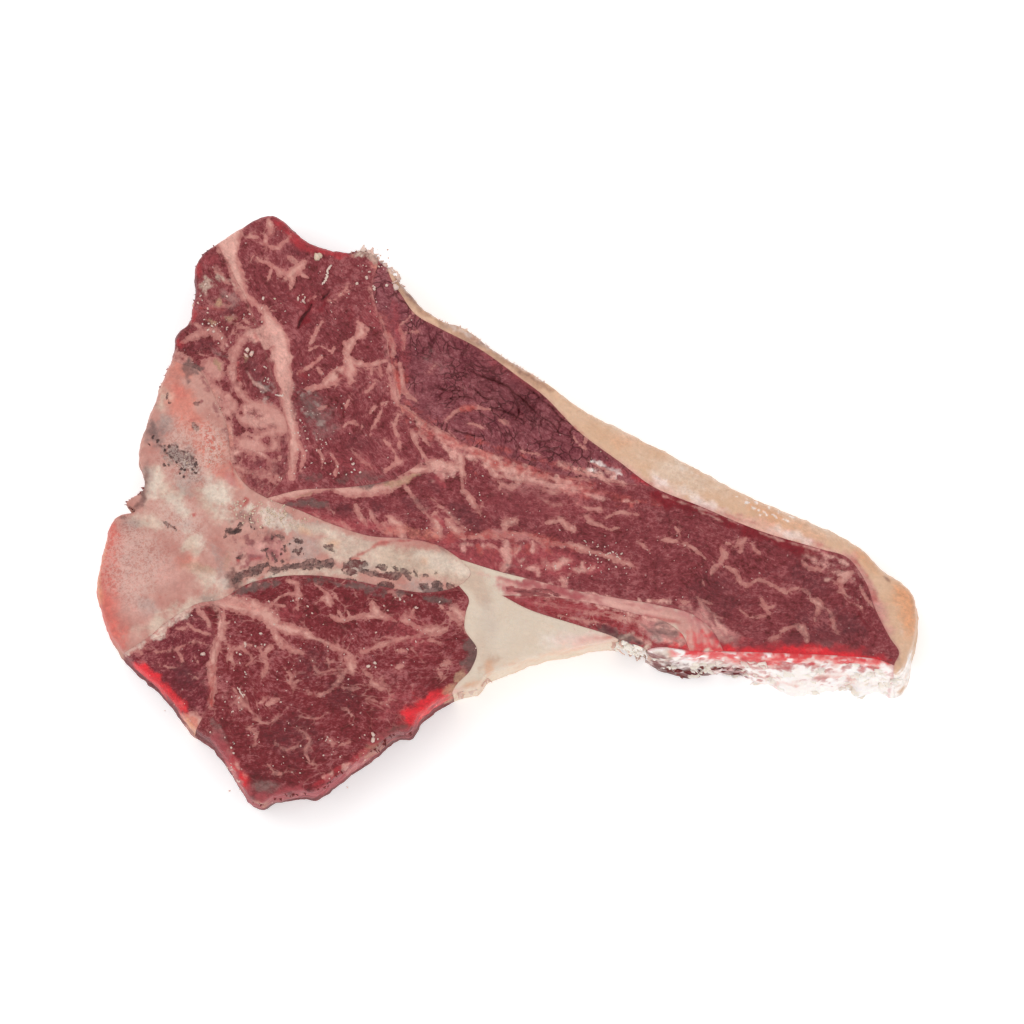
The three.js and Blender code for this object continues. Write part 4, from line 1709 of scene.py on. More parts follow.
FASCIA = strokes(
    (5, 398, 404, 412, 414, 424, 424, 437, 431), (8, 433, 430, 446, 438, 458, 446, 471, 452),
    (13, 462, 452, 480, 460, 496, 467, 512, 473, 530, 477), (9, 520, 474, 544, 480, 568, 486, 590, 490),
    (4, 379, 314, 385, 330, 391, 347, 396, 366), (9, 390, 336, 394, 356), (9, 390, 364, 394, 384, 396, 402),
    (6, 399, 361, 403, 378, 402, 394), (5, 394, 370, 397, 386, 399, 406), (5, 404, 384, 408, 396, 416, 402),
    (5, 400, 328, 404, 338, 405, 350), (2.6, 400, 326, 408, 319, 415, 311),
    (2.6, 404, 334, 412, 332, 420, 331), (7, 484, 456, 500, 463), (16, 490, 468, 508, 476, 528, 482),
    (10, 526, 482, 548, 488, 572, 492), (10, 500, 482, 516, 489), (9, 540, 487, 560, 494),
    (4, 420, 432, 430, 446), (4, 448, 450, 462, 466), (3, 566, 480, 590, 482),
)
FASCIA_CUTS = strokes(
    (2, 440, 436, 456, 447), (3, 474, 462, 490, 468), (2.4, 490, 464, 506, 469), (2, 498, 473, 520, 478),
    (2.4, 528, 478, 546, 483), (3, 548, 482, 566, 488), (2, 572, 484, 592, 490), (2, 420, 423, 432, 430),
    (2, 462, 453, 474, 457), (1.6, 512, 468, 530, 473), (2, 386, 322, 390, 340), (2, 391, 374, 395, 390),
    (1.6, 400, 344, 404, 360), (2, 536, 488, 556, 491), (3, 496, 480, 516, 486), (2.4, 484, 472, 498, 478),
    (3, 520, 486, 536, 490), (2, 508, 462, 524, 468), (2, 388, 338, 391, 352),
)
TENDERLOIN_VEIN = strokes((9, 226, 612, 223, 636, 217, 656, 213, 671, 216, 692, 213, 708),
                          (5, 224, 618, 222, 645, 213, 668), (3, 226, 640, 232, 652, 229, 664))
SEAM_COURSE = (398, 406, 420, 424, 440, 437, 467, 449, 494, 460, 521, 470, 551, 481, 587, 493, 620, 500,
               656, 506)


def loin_eye() -> Tissue:
    """The strip loin, with the thin strip of it above the bone's bar.

    Returns:
        The tissue, ready to be built.
    """
    finish = LeanFinish("loin_lean", turn=-14, stretch=2.2, web=0.34, web_cell=5.0)
    laid = TENDON + FASCIA + strokes(
        (8, 470, 539, 500, 537, 520, 537, 538, 541), (6, 534, 540, 550, 546, 566, 549),
        (9, 564, 548, 578, 549, 592, 554), (5, 588, 552, 604, 558, 620, 563, 637, 569),
        (8, 504, 533, 508, 527, 515, 522), (9, 504, 550, 508, 558, 512, 565), (6, 506, 564, 502, 574),
        (5, 485, 550, 494, 548, 499, 552), (5, 521, 547, 518, 554, 515, 559),
        (3, 533, 544, 536, 551, 534, 557), (9, 543, 562, 550, 568, 558, 569),
        (6, 554, 569, 563, 564, 573, 563), (5, 526, 572, 535, 571, 547, 569),
        (2.2, 540, 545, 548, 552, 556, 559), (4, 562, 580, 564, 588), (3, 573, 572, 582, 574, 591, 572),
        (6, 585, 519, 594, 525, 600, 528), (3, 599, 527, 609, 531, 620, 531),
        (7, 560, 520, 569, 529, 577, 533), (3.5, 545, 526, 557, 524), (5, 663, 542, 672, 543, 679, 545),
        (3, 676, 545, 690, 549, 701, 556, 714, 565), (6.4, 722, 551, 725, 560, 718, 567),
        (2.2, 721, 549, 723, 555), (5, 718, 566, 712, 577), (4.5, 724, 567, 732, 572, 738, 579, 741, 585),
        (4.2, 738, 582, 745, 587, 753, 586), (2.8, 752, 586, 760, 583, 770, 586, 780, 592, 787, 598),
        (2.6, 725, 545, 737, 550), (7, 737, 549, 745, 543), (3, 743, 550, 741, 555),
        (2.2, 751, 546, 761, 556), (2.6, 744, 543, 748, 534), (3.4, 703, 583, 704, 589),
        (2.4, 677, 529, 681, 538), (4.4, 762, 603, 767, 611, 770, 618), (2.6, 767, 611, 775, 608),
        (3.2, 786, 598, 791, 593, 801, 590), (3.6, 800, 590, 808, 595, 813, 603),
        (8, 812, 602, 820, 607, 828, 612), (4.4, 818, 607, 818, 616, 815, 625),
        (4.6, 826, 610, 832, 619, 834, 628, 837, 636), (6.4, 773, 641, 781, 653),
        (4.2, 774, 641, 784, 633, 797, 627), (8, 795, 626, 803, 632, 809, 639), (6.4, 807, 637, 807, 645),
        (4, 802, 563, 808, 570, 815, 573), (5, 808, 573, 816, 571, 822, 572),
        (8, 838, 585, 846, 579, 853, 574), (3, 835, 585, 842, 590, 847, 597),
        (4, 860, 590, 866, 598, 873, 609), (3.2, 606, 520, 622, 514, 640, 518),
        (6, 412, 431, 416, 443, 420, 452, 427, 459, 436, 464), (8, 415, 435, 418, 446),
        (12, 428, 464, 446, 468, 464, 470), (10, 459, 450, 461, 462, 464, 479),
        (10, 396, 475, 414, 471, 432, 472), (4.4, 403, 484, 412, 496, 420, 508, 430, 520),
        (2.8, 431, 501, 444, 510, 455, 521, 468, 534), (4.4, 462, 481, 466, 493, 473, 505),
        (8, 467, 497, 475, 506, 479, 514), (9, 435, 514, 438, 528, 441, 541),
        (9, 447, 522, 456, 531, 465, 541), (12, 390, 520, 400, 530, 404, 541), (8, 383, 526, 392, 537),
        (9, 503, 527, 512, 524, 520, 522), (3.4, 500, 486, 500, 494), (3.2, 541, 500, 556, 508, 568, 506),
        (2.6, 576, 504, 590, 511, 604, 512),
        (16, 252, 505, 272, 500, 300, 492, 332, 484, 350, 491, 388, 489, 412, 479), (6, 322, 480, 332, 488),
        (4, 314, 516, 326, 522, 344, 527), (5, 340, 524, 352, 533), (5, 356, 505, 361, 518, 368, 528),
        (4, 370, 512, 376, 524, 386, 536), (3, 328, 508, 336, 516), (2.4, 696, 600, 712, 606),
        (2.2, 640, 545, 650, 552), (2, 740, 612, 752, 620, 766, 618), (2, 850, 604, 862, 610),
        (3, 700, 605, 709, 611, 712, 618, 722, 620), (2.4, 700, 626, 712, 635, 730, 642, 738, 640),
        (2.4, 650, 603, 664, 603), (3, 680, 605, 693, 605),
    )
    washes = (
        wash(Tint.DARK_RED, (60, 690, 592, 740, 604), (54, 790, 626, 850, 628), (40, 500, 510, 560, 505),
             strength=0.42, soft=6, size=9),
        wash(Tint.BLOOD, (14, *SEAM_COURSE), strength=0.5, soft=1.5, rag=2.2, size=2.5),
        wash(Tint.PALE_PINK, (2.5, 400, 408, 420, 425, 440, 438, 467, 450),
             (2, 470, 449, 494, 460, 530, 474), (2, 520, 476, 551, 486, 580, 492),
             (2, 440, 446, 470, 460, 500, 470), (2, 560, 488, 600, 500, 640, 505),
             (2, 404, 414, 424, 432, 446, 446), (1.6, 500, 470, 530, 480, 556, 490), strength=0.55,
             soft=0.6, rag=0.9, size=2),
        wash(Tint.BLOOD, (9, 420, 541, 470, 538, 509, 537, 534, 539, 566, 548, 590, 552), strength=0.55,
             soft=1.0, rag=1.2),
        wash(Tint.LEAN_RED, (9, 441, 469, 440, 480, 448, 490), (6, 436, 520, 446, 528), strength=0.8,
             soft=0.8),
        wash(Tint.SALMON, (10, 384, 530, 410, 534, 440, 538), (6, 396, 404, 402, 414), strength=0.5,
             soft=1.2, rag=1.4),
        wash(Tint.LEAN_RED, (30, 470, 500, 540, 508, 600, 516), strength=0.3, soft=5, size=5),
        wash(Tint.LEAN_RED, (34, 450, 556, 500, 560, 560, 566, 600, 574),
             (12, 690, 498, 760, 530, 830, 552), (16, 440, 545, 480, 552),
             (14, 300, 514, 350, 526, 400, 530), strength=0.6, soft=2.5, size=5),
        wash(Tint.DARK_RED, (12, 326, 508, 356, 512), (14, 372, 504, 384, 514), (16, 404, 500, 430, 512),
             (22, 450, 508, 480, 530), (10, 428, 482, 440, 494), strength=0.5, soft=1.6),
        wash(Tint.CLOT, (14, 648, 494, 676, 504, 706, 514), (12, 712, 518, 736, 528),
             (16, 742, 530, 760, 537, 778, 544), (14, 778, 545, 800, 551, 816, 556), strength=0.92,
             soft=1.4, rag=1.4, size=3),
        wash(Tint.PALE_PINK, (1.6, 664, 498, 700, 510, 736, 524), (1.4, 760, 535, 790, 545, 820, 552),
             (1.2, 700, 514, 724, 524), strength=0.6, soft=0.5, rag=0.6, size=2),
        wash(Tint.CLOT, (5, 802, 560, 797, 570), (2, 834, 595, 846, 600, 856, 611, 863, 623, 872, 636),
             strength=0.75, soft=0.6, rag=0.6),
        wash(Tint.DARK_RED, (30, 790, 574, 830, 590), (20, 840, 620, 866, 640), strength=0.4, soft=2.5,
             rag=1.8),
        wash(Tint.PALE_PINK, (8, 806, 558, 826, 566, 848, 568), (7, 826, 576, 846, 574, 862, 580),
             (4, 838, 586, 856, 582), (6, 862, 590, 872, 610), (3, 846, 596, 866, 606), strength=0.42,
             soft=1.6, rag=2.2, size=2),
        wash(Tint.PALE_PINK, (2, 812, 553, 836, 560, 858, 572), (2, 806, 562, 816, 574, 830, 568),
             (2, 828, 582, 846, 576, 858, 578), strength=0.6, soft=0.6, rag=0.8),
        wash(Tint.PALE_PINK, (2.6, 510, 580, 545, 588, 580, 595, 620, 600),
             (2, 640, 604, 670, 607, 694, 614), strength=0.7, soft=0.7, rag=0.9, size=2),
        wash(Tint.PINK, (24, 708, 622, 722, 638, 738, 654), (12, 690, 610, 712, 622), strength=0.9,
             soft=2.2, rag=2.2),
        wash(Tint.PALE_PINK, (1.6, 704, 616, 716, 632, 730, 646), (1.6, 712, 628, 720, 644),
             (1.4, 700, 606, 716, 618), strength=0.6, soft=0.6, rag=0.6, size=2),
        wash(Tint.WINE, (4, 704, 608, 711, 616, 714, 624), (3, 650, 607, 676, 610, 696, 612), strength=0.7,
             soft=0.7, rag=0.8),
        wash(Tint.PALE_PINK, (2, 640, 602, 668, 605, 696, 610), (1.6, 716, 622, 728, 636),
             (1.6, 722, 630, 734, 646), (1.4, 724, 640, 732, 652), strength=0.6, soft=0.6, rag=1.2, size=2),
        wash(Tint.PALE_PINK, (7, 503, 543, 507, 556, 511, 564), (5, 505, 566, 501, 573),
             (7, 543, 566, 553, 568, 564, 565), (5, 554, 569, 566, 563, 572, 563), (3, 533, 545, 535, 556),
             (3, 485, 547, 495, 549), (3, 470, 546, 478, 552), (3, 521, 547, 518, 556),
             (4, 527, 571, 540, 571), (3, 562, 580, 565, 588), (4, 572, 573, 590, 572),
             (3, 517, 560, 526, 562), (3, 460, 548, 466, 554), strength=0.65, soft=1.2, rag=2.0, size=2),
        wash(Tint.BLOOD, (2, 478, 544, 482, 556), (2, 514, 546, 514, 556), (2, 528, 546, 528, 558),
             (2, 546, 546, 550, 556), (2, 492, 552, 496, 562), strength=0.6, soft=0.8, rag=1.4, size=1.6),
        wash(Tint.PINK, (10, 500, 488, 540, 490, 600, 498), (6, 440, 446, 470, 456), strength=0.35, soft=3,
             rag=3, size=2.5),
        wash(Tint.PALE_PINK, (14, 488, 463, 506, 471, 530, 477), (12, 430, 470, 446, 471, 460, 474),
             (6, 452, 452, 458, 466), (5, 548, 480, 572, 486), strength=0.55, soft=1.6, rag=2.8, size=2),
        wash(Tint.BLOOD, (1.6, 478, 456, 500, 465, 524, 472), (1.4, 486, 464, 506, 472, 520, 476),
             (1.2, 470, 450, 490, 458), (3, 470, 468, 478, 476, 484, 480), strength=0.6, soft=0.6, rag=1.2,
             size=2),
        wash(Tint.GREY, (5, 507, 568, 518, 569), (6, 504, 578, 516, 579), strength=0.7, soft=0.8, rag=1.0,
             size=2),
        wash(Tint.SMOKE, (9, 299, 480, 322, 484), (8, 338, 482, 360, 487, 386, 484),
             (8, 284, 508, 312, 504, 330, 506), strength=0.75, soft=1.0, rag=1.0, size=2),
        wash(Tint.TAN, (7, 386, 487, 402, 484, 420, 476), (2, 296, 498, 312, 495, 326, 493), strength=0.7,
             soft=0.8),
        wash(Tint.GREY, (14, 334, 470, 352, 474), (10, 820, 646, 850, 652), strength=0.3, soft=1.5),
        wash(Tint.WINE, (20, 700, 646, 760, 648, 850, 650, 884, 656), strength=0.5, soft=2.5, rag=1.8,
             size=4),
        wash(Tint.DEEP_RED, (12, 694, 648, 725, 651, 790, 653, 850, 656, 884, 661), strength=0.9, soft=1.5,
             rag=1.8, size=3),
        wash(Tint.PINK, (6, 494, 531, 511, 537, 528, 541), (5, 592, 474, 606, 478, 618, 484), strength=0.6,
             soft=1.2, rag=1.4, size=2),
        # painted backlight: the red glow along the lower rim, with a rose streak
        wash(Tint.GLOW, (9, 724, 652, 736, 654), (9, 742, 654, 770, 656), (14, 772, 655, 800, 657),
             (17, 802, 655, 828, 657), (7, 834, 659, 880, 661), strength=0.95, soft=1.0, rag=1.4, size=2.5),
        wash(Tint.BACKLIT_ROSE_GLOW, (3, 808, 652, 820, 652), strength=0.4, soft=1.0, rag=1.2, size=2),
    )
    return Tissue("loin_eye", (700, 580), "lean_meat", finish, {Mark.LAID: laid, Mark.CUT: FASCIA_CUTS},
                  washes)


def cap_muscle() -> Tissue:
    """The dried, cracked muscle at the upper right.

    Returns:
        The tissue, ready to be built.
    """
    finish = LeanFinish("dried_lean", turn=-32, stretch=1.8, cell=3.2, base=seen(135, 71, 77),
                        deep=seen(100, 44, 52), light=seen(166, 102, 106), web=0.06, gap=0.35, crack=0.4,
                        gloss=0.46, speck_share=0.06, slit_shade=seen(84, 24, 34))
    laid = TENDON + FASCIA + strokes(
        (3.6, 444, 423, 456, 414, 466, 410, 478, 409, 490, 411), (3, 499, 421, 509, 425),
        (3, 430, 372, 436, 366), (3.4, 574, 438, 580, 446, 586, 450), (2, 520, 452, 545, 458),
        (2, 470, 424, 486, 430), (2.4, 590, 436, 584, 446),
    )
    washes = (
        wash(Tint.BLOOD, (9, 382, 300, 388, 330, 393, 366, 402, 392),
             (5, 404, 402, 430, 420, 470, 440, 520, 457, 570, 470, 620, 480), strength=0.45, soft=1.4,
             rag=1.6, size=3),
        wash(Tint.PALE_PINK, (3, 590, 470, 610, 474, 626, 482), (2.4, 560, 462, 580, 468), strength=0.6,
             soft=0.8, rag=1.2, size=2),
        wash(Tint.BLOOD, (6, 462, 411, 476, 410), (3, 396, 362, 398, 380, 400, 396),
             (3, 404, 368, 408, 384), strength=0.7),
        wash(Tint.CREAM, (9, 376, 250, 392, 266, 404, 284), strength=0.6, soft=1.2, rag=1.6, size=2),
        wash(Tint.WHITE, (3, 584, 463, 598, 465, 612, 471, 624, 477), (2, 590, 472, 606, 478, 616, 480),
             strength=0.85, soft=0.6, rag=0.9, size=2),
        wash(Tint.PALE_PINK, (4, 560, 468, 580, 472, 610, 480, 640, 488), strength=0.6, soft=0.8, rag=1.2,
             size=2),
        wash(Tint.LEAN_RED, (14, 394, 300, 400, 340, 410, 380), (8, 480, 352, 520, 378, 550, 398),
             (9, 600, 462, 660, 492), strength=0.55, soft=2),
        wash(Tint.DARK_RED, (50, 480, 385, 560, 425), strength=0.4, soft=6, size=8),
        wash(Tint.GREY, (30, 424, 350, 450, 372), strength=0.22, soft=4, size=6),
        wash(Tint.DEEP_RED, (7, 634, 478, 656, 489), strength=0.7, soft=1.0),
    )
    marks = {Mark.LAID: laid, Mark.CUT: FASCIA_CUTS,
             Mark.SUNK: strokes((2.6, 470, 371, 488, 379, 503, 385, 524, 401, 540, 417),
                                (2.2, 512, 392, 520, 410, 516, 424), (2, 540, 417, 552, 424, 560, 436),
                                (2, 452, 430, 470, 436, 486, 437), (1.8, 446, 402, 460, 398, 476, 400),
                                (1.8, 494, 410, 510, 414, 528, 424), (1.8, 540, 400, 552, 408, 566, 424),
                                (2, 436, 386, 448, 392, 462, 392), (1.8, 474, 388, 484, 398, 500, 400),
                                (1.8, 528, 388, 540, 398), strength=0.7)}
    return CapMuscle("cap_muscle", (500, 410), "dried_lean_meat", finish, marks, washes)


def top_muscle() -> Tissue:
    """The muscle at the top, with the wide pink seam at its left.

    Returns:
        The tissue, ready to be built.
    """
    finish = LeanFinish("top_lean", turn=-50, stretch=2.2, web=0.3, web_cell=4.2, fat=seen(200, 126, 120))
    laid = PINK_SEAM + FASCIA + strokes(
        (7, 268, 218, 271, 228), (4, 271, 226, 268, 235), (6.4, 265, 233, 266, 244),
        (4, 266, 242, 272, 246, 280, 247), (4, 278, 246, 286, 239, 292, 232), (3, 245, 236, 257, 236),
        (3, 249, 264, 251, 256, 257, 253), (4.4, 255, 254, 264, 261, 275, 268),
        (6.4, 271, 266, 280, 271, 290, 275), (11, 285, 276, 296, 270, 304, 262), (6, 299, 265, 306, 261),
        (6.4, 292, 274, 291, 285), (3, 291, 283, 290, 290), (3, 299, 273, 308, 277),
        (3, 273, 267, 268, 278), (6, 289, 257, 297, 262), (10, 358, 323, 362, 332, 355, 340),
        (5, 366, 326, 368, 332), (8, 358, 337, 351, 345, 347, 356), (6, 346, 341, 346, 367),
        (12, 345, 358, 352, 367, 349, 378), (8, 350, 362, 358, 366, 364, 363),
        (12, 344, 370, 334, 378, 324, 387), (7, 330, 385, 317, 389, 304, 390),
        (5, 370, 366, 378, 364, 388, 361), (3, 372, 366, 373, 375), (3, 380, 365, 383, 376),
        (4, 357, 366, 366, 365, 374, 366), (4.4, 299, 374, 310, 367, 322, 359),
        (2.8, 310, 351, 321, 347, 331, 351), (4.4, 323, 321, 318, 331, 314, 338, 309, 348),
        (3, 318, 368, 322, 375), (5, 352, 378, 350, 385), (3, 366, 417, 378, 408, 390, 402),
        (3, 371, 286, 376, 300, 378, 316), (2.4, 330, 300, 340, 296, 346, 286), (2, 308, 300, 318, 296),
        (3, 388, 404, 378, 420, 370, 436), (3, 340, 431, 352, 424, 363, 428),
        (4, 352, 452, 362, 462, 373, 471), (2.4, 318, 410, 330, 406), (3, 330, 454, 338, 466, 336, 477),
        (5, 296, 440, 304, 456, 300, 471), (2.4, 376, 384, 366, 393), (2, 336, 346, 330, 357),
        (4, 400, 414, 396, 432, 402, 449), (3, 384, 442, 394, 450, 398, 462),
        (3, 312, 448, 322, 456, 324, 470), (2.4, 352, 396, 346, 410), (4, 385, 474, 394, 466, 404, 462),
    )
    washes = (
        SEAM_BULGE,
        wash(Tint.LEAN_RED, (30, 290, 290, 320, 310), (30, 330, 460, 380, 470), (22, 370, 300, 380, 330),
             strength=0.4, soft=4, size=6),
        wash(Tint.DARK_RED, (36, 300, 400, 340, 440), (26, 276, 250, 300, 252), (30, 350, 440, 372, 450),
             strength=0.4, soft=5, size=7),
        wash(Tint.GREY, (26, 302, 396, 318, 410, 324, 436), strength=0.3, soft=3.0, rag=3.2, size=1.6),
        wash(Tint.STONE, (3, 300, 392, 312, 396), (2.4, 314, 402, 326, 412), (2, 304, 410, 312, 420),
             (2, 322, 424, 332, 434), (2, 306, 430, 316, 438), strength=0.45, soft=0.6, rag=1.6, size=1.2),
        wash(Tint.SMOKE, (9, 302, 480, 326, 480), (9, 340, 481, 384, 479), (5, 306, 400, 316, 416),
             (4, 320, 420, 330, 436), strength=0.5, soft=1.4, rag=1.8, size=2),
        wash(Tint.PALE_PINK, (16, 234, 230, 228, 244, 232, 262), (6, 234, 262, 240, 290),
             (13, 268, 318, 280, 344, 282, 376), (5, 288, 400, 292, 430, 294, 450), strength=0.7, soft=0.9),
        wash(Tint.PINK, (10, 372, 250, 374, 280, 380, 312), (18, 386, 330, 396, 372, 400, 400),
             strength=0.45, soft=1.6, size=4),
        wash(Tint.DEEP_RED, (11, 274, 219, 300, 240, 325, 250, 352, 254), (9, 380, 266, 374, 258),
             strength=0.72, soft=1.4, rag=1.0),
        wash(Tint.CLOT, (9, 312, 300, 308, 314, 299, 330), (5, 326, 298, 323, 310), (4, 352, 308, 350, 320),
             (5, 300, 372, 306, 378), (4, 338, 372, 342, 378), strength=0.75, soft=1.2, rag=1.2),
        wash(Tint.CREAM, (10, 354, 253, 372, 254, 386, 268, 396, 282), strength=0.65, soft=1.2, rag=1.8,
             size=2),
        wash(Tint.BROWN, (3, 372, 250, 392, 268, 400, 282), strength=0.4, soft=1.0, rag=1.0, size=2),
        wash(Tint.SALMON, (6, 370, 262, 380, 272), (5, 384, 284, 390, 290), strength=0.6, soft=1.0, rag=1.2,
             size=2),
        wash(Tint.DEEP_RED, (5, 262, 215, 272, 214, 284, 220), strength=0.6, soft=1.4),
    )
    marks = {Mark.LAID: laid, Mark.CUT: FASCIA_CUTS,
             Mark.SUNK: strokes((3, 312, 304, 304, 316, 298, 330), (2, 330, 290, 322, 300), strength=0.8)}
    return Tissue("top_muscle", (330, 330), "lean_meat", finish, marks, washes)


def chine_muscle() -> Tissue:
    """The streaked muscle beside the vertebra: pink fat with pieces of lean in it.

    Returns:
        The tissue, ready to be built.
    """
    finish = LeanFinish("streaked_lean", turn=70, stretch=1.5, cell=2.2, base=seen(134, 62, 66), web=0.5,
                        web_cell=3.4, fat=seen(188, 120, 114), pale_fat=seen(210, 150, 140), ragged=0.9,
                        joint=seen(204, 146, 134), joint_share=0.25)
    pale = PINK_SEAM + strokes(
        (9, 156, 350, 176, 361, 200, 373, 214, 396), (6, 168, 350, 180, 356, 192, 362),
        (5, 204, 366, 212, 384), (8, 181, 343, 198, 335, 211, 331, 221, 338, 224, 350),
        (6, 176, 350, 182, 372, 196, 384),
        (9, 264, 331, 248, 335, 238, 345, 232, 357, 231, 371, 235, 385, 244, 396, 254, 406, 266, 413,
         279, 418),
        (36, 244, 414, 266, 421, 284, 426), (24, 236, 444, 256, 444, 276, 446),
        (34, 200, 384, 212, 404, 222, 436), (20, 206, 362, 216, 370, 216, 380), (14, 226, 396, 234, 412),
        (12, 236, 440, 234, 456),
        (6, 246, 457, 258, 455, 269, 459, 276, 469, 270, 477, 254, 475, 243, 470, 239, 463, 246, 457),
        (9, 233, 469, 241, 468), (7, 250, 448, 266, 450, 280, 447), (5, 268, 460, 276, 476, 288, 490),
        (11, 232, 480, 244, 492, 256, 502, 264, 508), (4, 262, 470, 272, 482, 282, 490),
        (4, 280, 432, 279, 450, 281, 462), (3, 210, 305, 222, 306, 232, 305), (3, 224, 316, 238, 318),
        (2, 228, 296, 236, 300), (2, 206, 318, 214, 322), (3, 244, 318, 252, 326), (2, 246, 308, 254, 314),
        (4, 214, 268, 222, 276, 230, 284), (3, 190, 322, 200, 328), (3, 236, 330, 246, 326, 256, 330),
        (2, 196, 352, 206, 356), (2, 252, 462, 262, 460), (2, 288, 432, 290, 450), (2, 258, 482, 262, 492),
        (3, 284, 484, 278, 500), (4, 268, 496, 276, 500), (8, 254, 496, 256, 506),
    )
    cuts = strokes(
        (5, 224, 352, 226, 362, 225, 372), (5, 226, 374, 230, 386, 236, 394), (5, 214, 384, 220, 382),
        (4, 209, 388, 214, 398), (3, 238, 358, 239, 372, 238, 386), (6, 237, 400, 244, 404),
        (6, 213, 414, 221, 409), (3, 240, 414, 243, 412), (4, 226, 420, 232, 422),
        (5, 232, 436, 240, 434, 246, 431), (3, 258, 428, 266, 430, 272, 429), (4, 226, 428, 229, 436),
        (4, 246, 430, 256, 433), (9, 265, 441, 271, 443), (5, 268, 453, 276, 456, 284, 455),
        (5, 236, 446, 232, 451), (3, 246, 436, 254, 440), (3, 218, 396, 224, 402),
        (9, 232, 464, 238, 461, 246, 457), (4, 250, 414, 262, 418),
    )
    washes = (
        SEAM_BULGE,
        wash(Tint.PALE_PINK, (22, 246, 414, 266, 422, 280, 426), (14, 250, 334, 262, 338),
             (8, 244, 446, 258, 444), (5, 232, 360, 233, 380), strength=0.45, soft=2, rag=1.4, size=3),
        wash(Tint.SALMON, (16, 200, 386, 208, 410, 220, 436), (16, 222, 440, 228, 456),
             (10, 232, 474, 246, 486), strength=0.45, soft=2.2, rag=1.5),
        wash(Tint.ROSE, (9, 158, 352, 178, 366, 200, 376, 216, 402, 229, 432, 233, 460, 246, 486),
             strength=0.7, soft=2.2, rag=2.6, size=3),
        wash(Tint.SALMON, (6, 218, 420, 232, 444), (5, 208, 392, 216, 404), strength=0.6, soft=1.6, rag=1.6,
             size=2),
        wash(Tint.LEAN_RED, (14, 204, 256, 216, 262), (10, 198, 266, 202, 272), strength=0.6, soft=2,
             rag=1.2),
        wash(Tint.DARK_RED, (18, 250, 356, 258, 378, 268, 394), (14, 190, 350, 216, 344),
             (6, 250, 465, 262, 465), (14, 212, 304, 236, 316), (9, 256, 484, 264, 494),
             (8, 284, 440, 286, 460), (8, 276, 466, 282, 478), strength=0.42, soft=1.6, rag=1.4, size=2),
        wash(Tint.WINE, (26, 250, 466, 276, 474), (12, 240, 486, 262, 492), strength=0.4, soft=3, rag=2.4,
             size=2),
        wash(Tint.PINK, (16, 204, 296, 222, 300), (10, 226, 290, 236, 300), strength=0.35, soft=2, rag=2.4,
             size=2),
        wash(Tint.STONE, (7, 258, 386, 270, 391), (5, 262, 398, 270, 406), (5, 268, 380, 274, 390),
             strength=0.6, soft=0.9, rag=1.3, size=1.6),
        wash(Tint.GREY, (9, 188, 372, 200, 378), (6, 214, 352, 226, 356), (10, 218, 290, 240, 306),
             strength=0.4, soft=1.2, rag=1.4, size=1.6),
        wash(Tint.PALE_PINK, (2, 248, 372, 256, 384, 266, 392), (2, 236, 454, 254, 452, 268, 458),
             (2, 258, 396, 266, 404, 272, 412), (2, 216, 340, 228, 346), strength=0.6, soft=0.5, rag=0.5),
        wash(Tint.TAN, (8, 244, 356, 250, 358), (5, 216, 360, 219, 370), (4, 216, 304, 222, 302),
             (5, 226, 318, 236, 320), (4, 210, 320, 214, 324), strength=0.75, soft=0.7, rag=0.9, size=1.6),
        wash(Tint.SMOKE, (10, 184, 364, 200, 368), (6, 190, 374, 202, 380), strength=0.8, soft=1.2, rag=1.4,
             size=1.6),
        wash(Tint.CREAM, (12, 205, 278, 206, 294), (4, 228, 276, 236, 286), (4, 216, 272, 226, 280),
             strength=0.6, soft=1.0, rag=1.2, size=1.8),
        wash(Tint.DEEP_RED, (7, 197, 262, 199, 276), (7, 193, 300, 191, 322), (6, 178, 340, 180, 350),
             (3, 238, 362, 240, 382), strength=0.7, soft=1.3, rag=1.0),
        wash(Tint.BLOOD, (4, 228, 474, 238, 470), (3, 254, 330, 258, 340), (2, 200, 308, 222, 308),
             strength=0.6),
    )
    marks = {Mark.LAID: pale, Mark.CUT: cuts}
    return Tissue("chine_muscle", (230, 380), "mixed_meat", finish, marks, washes)


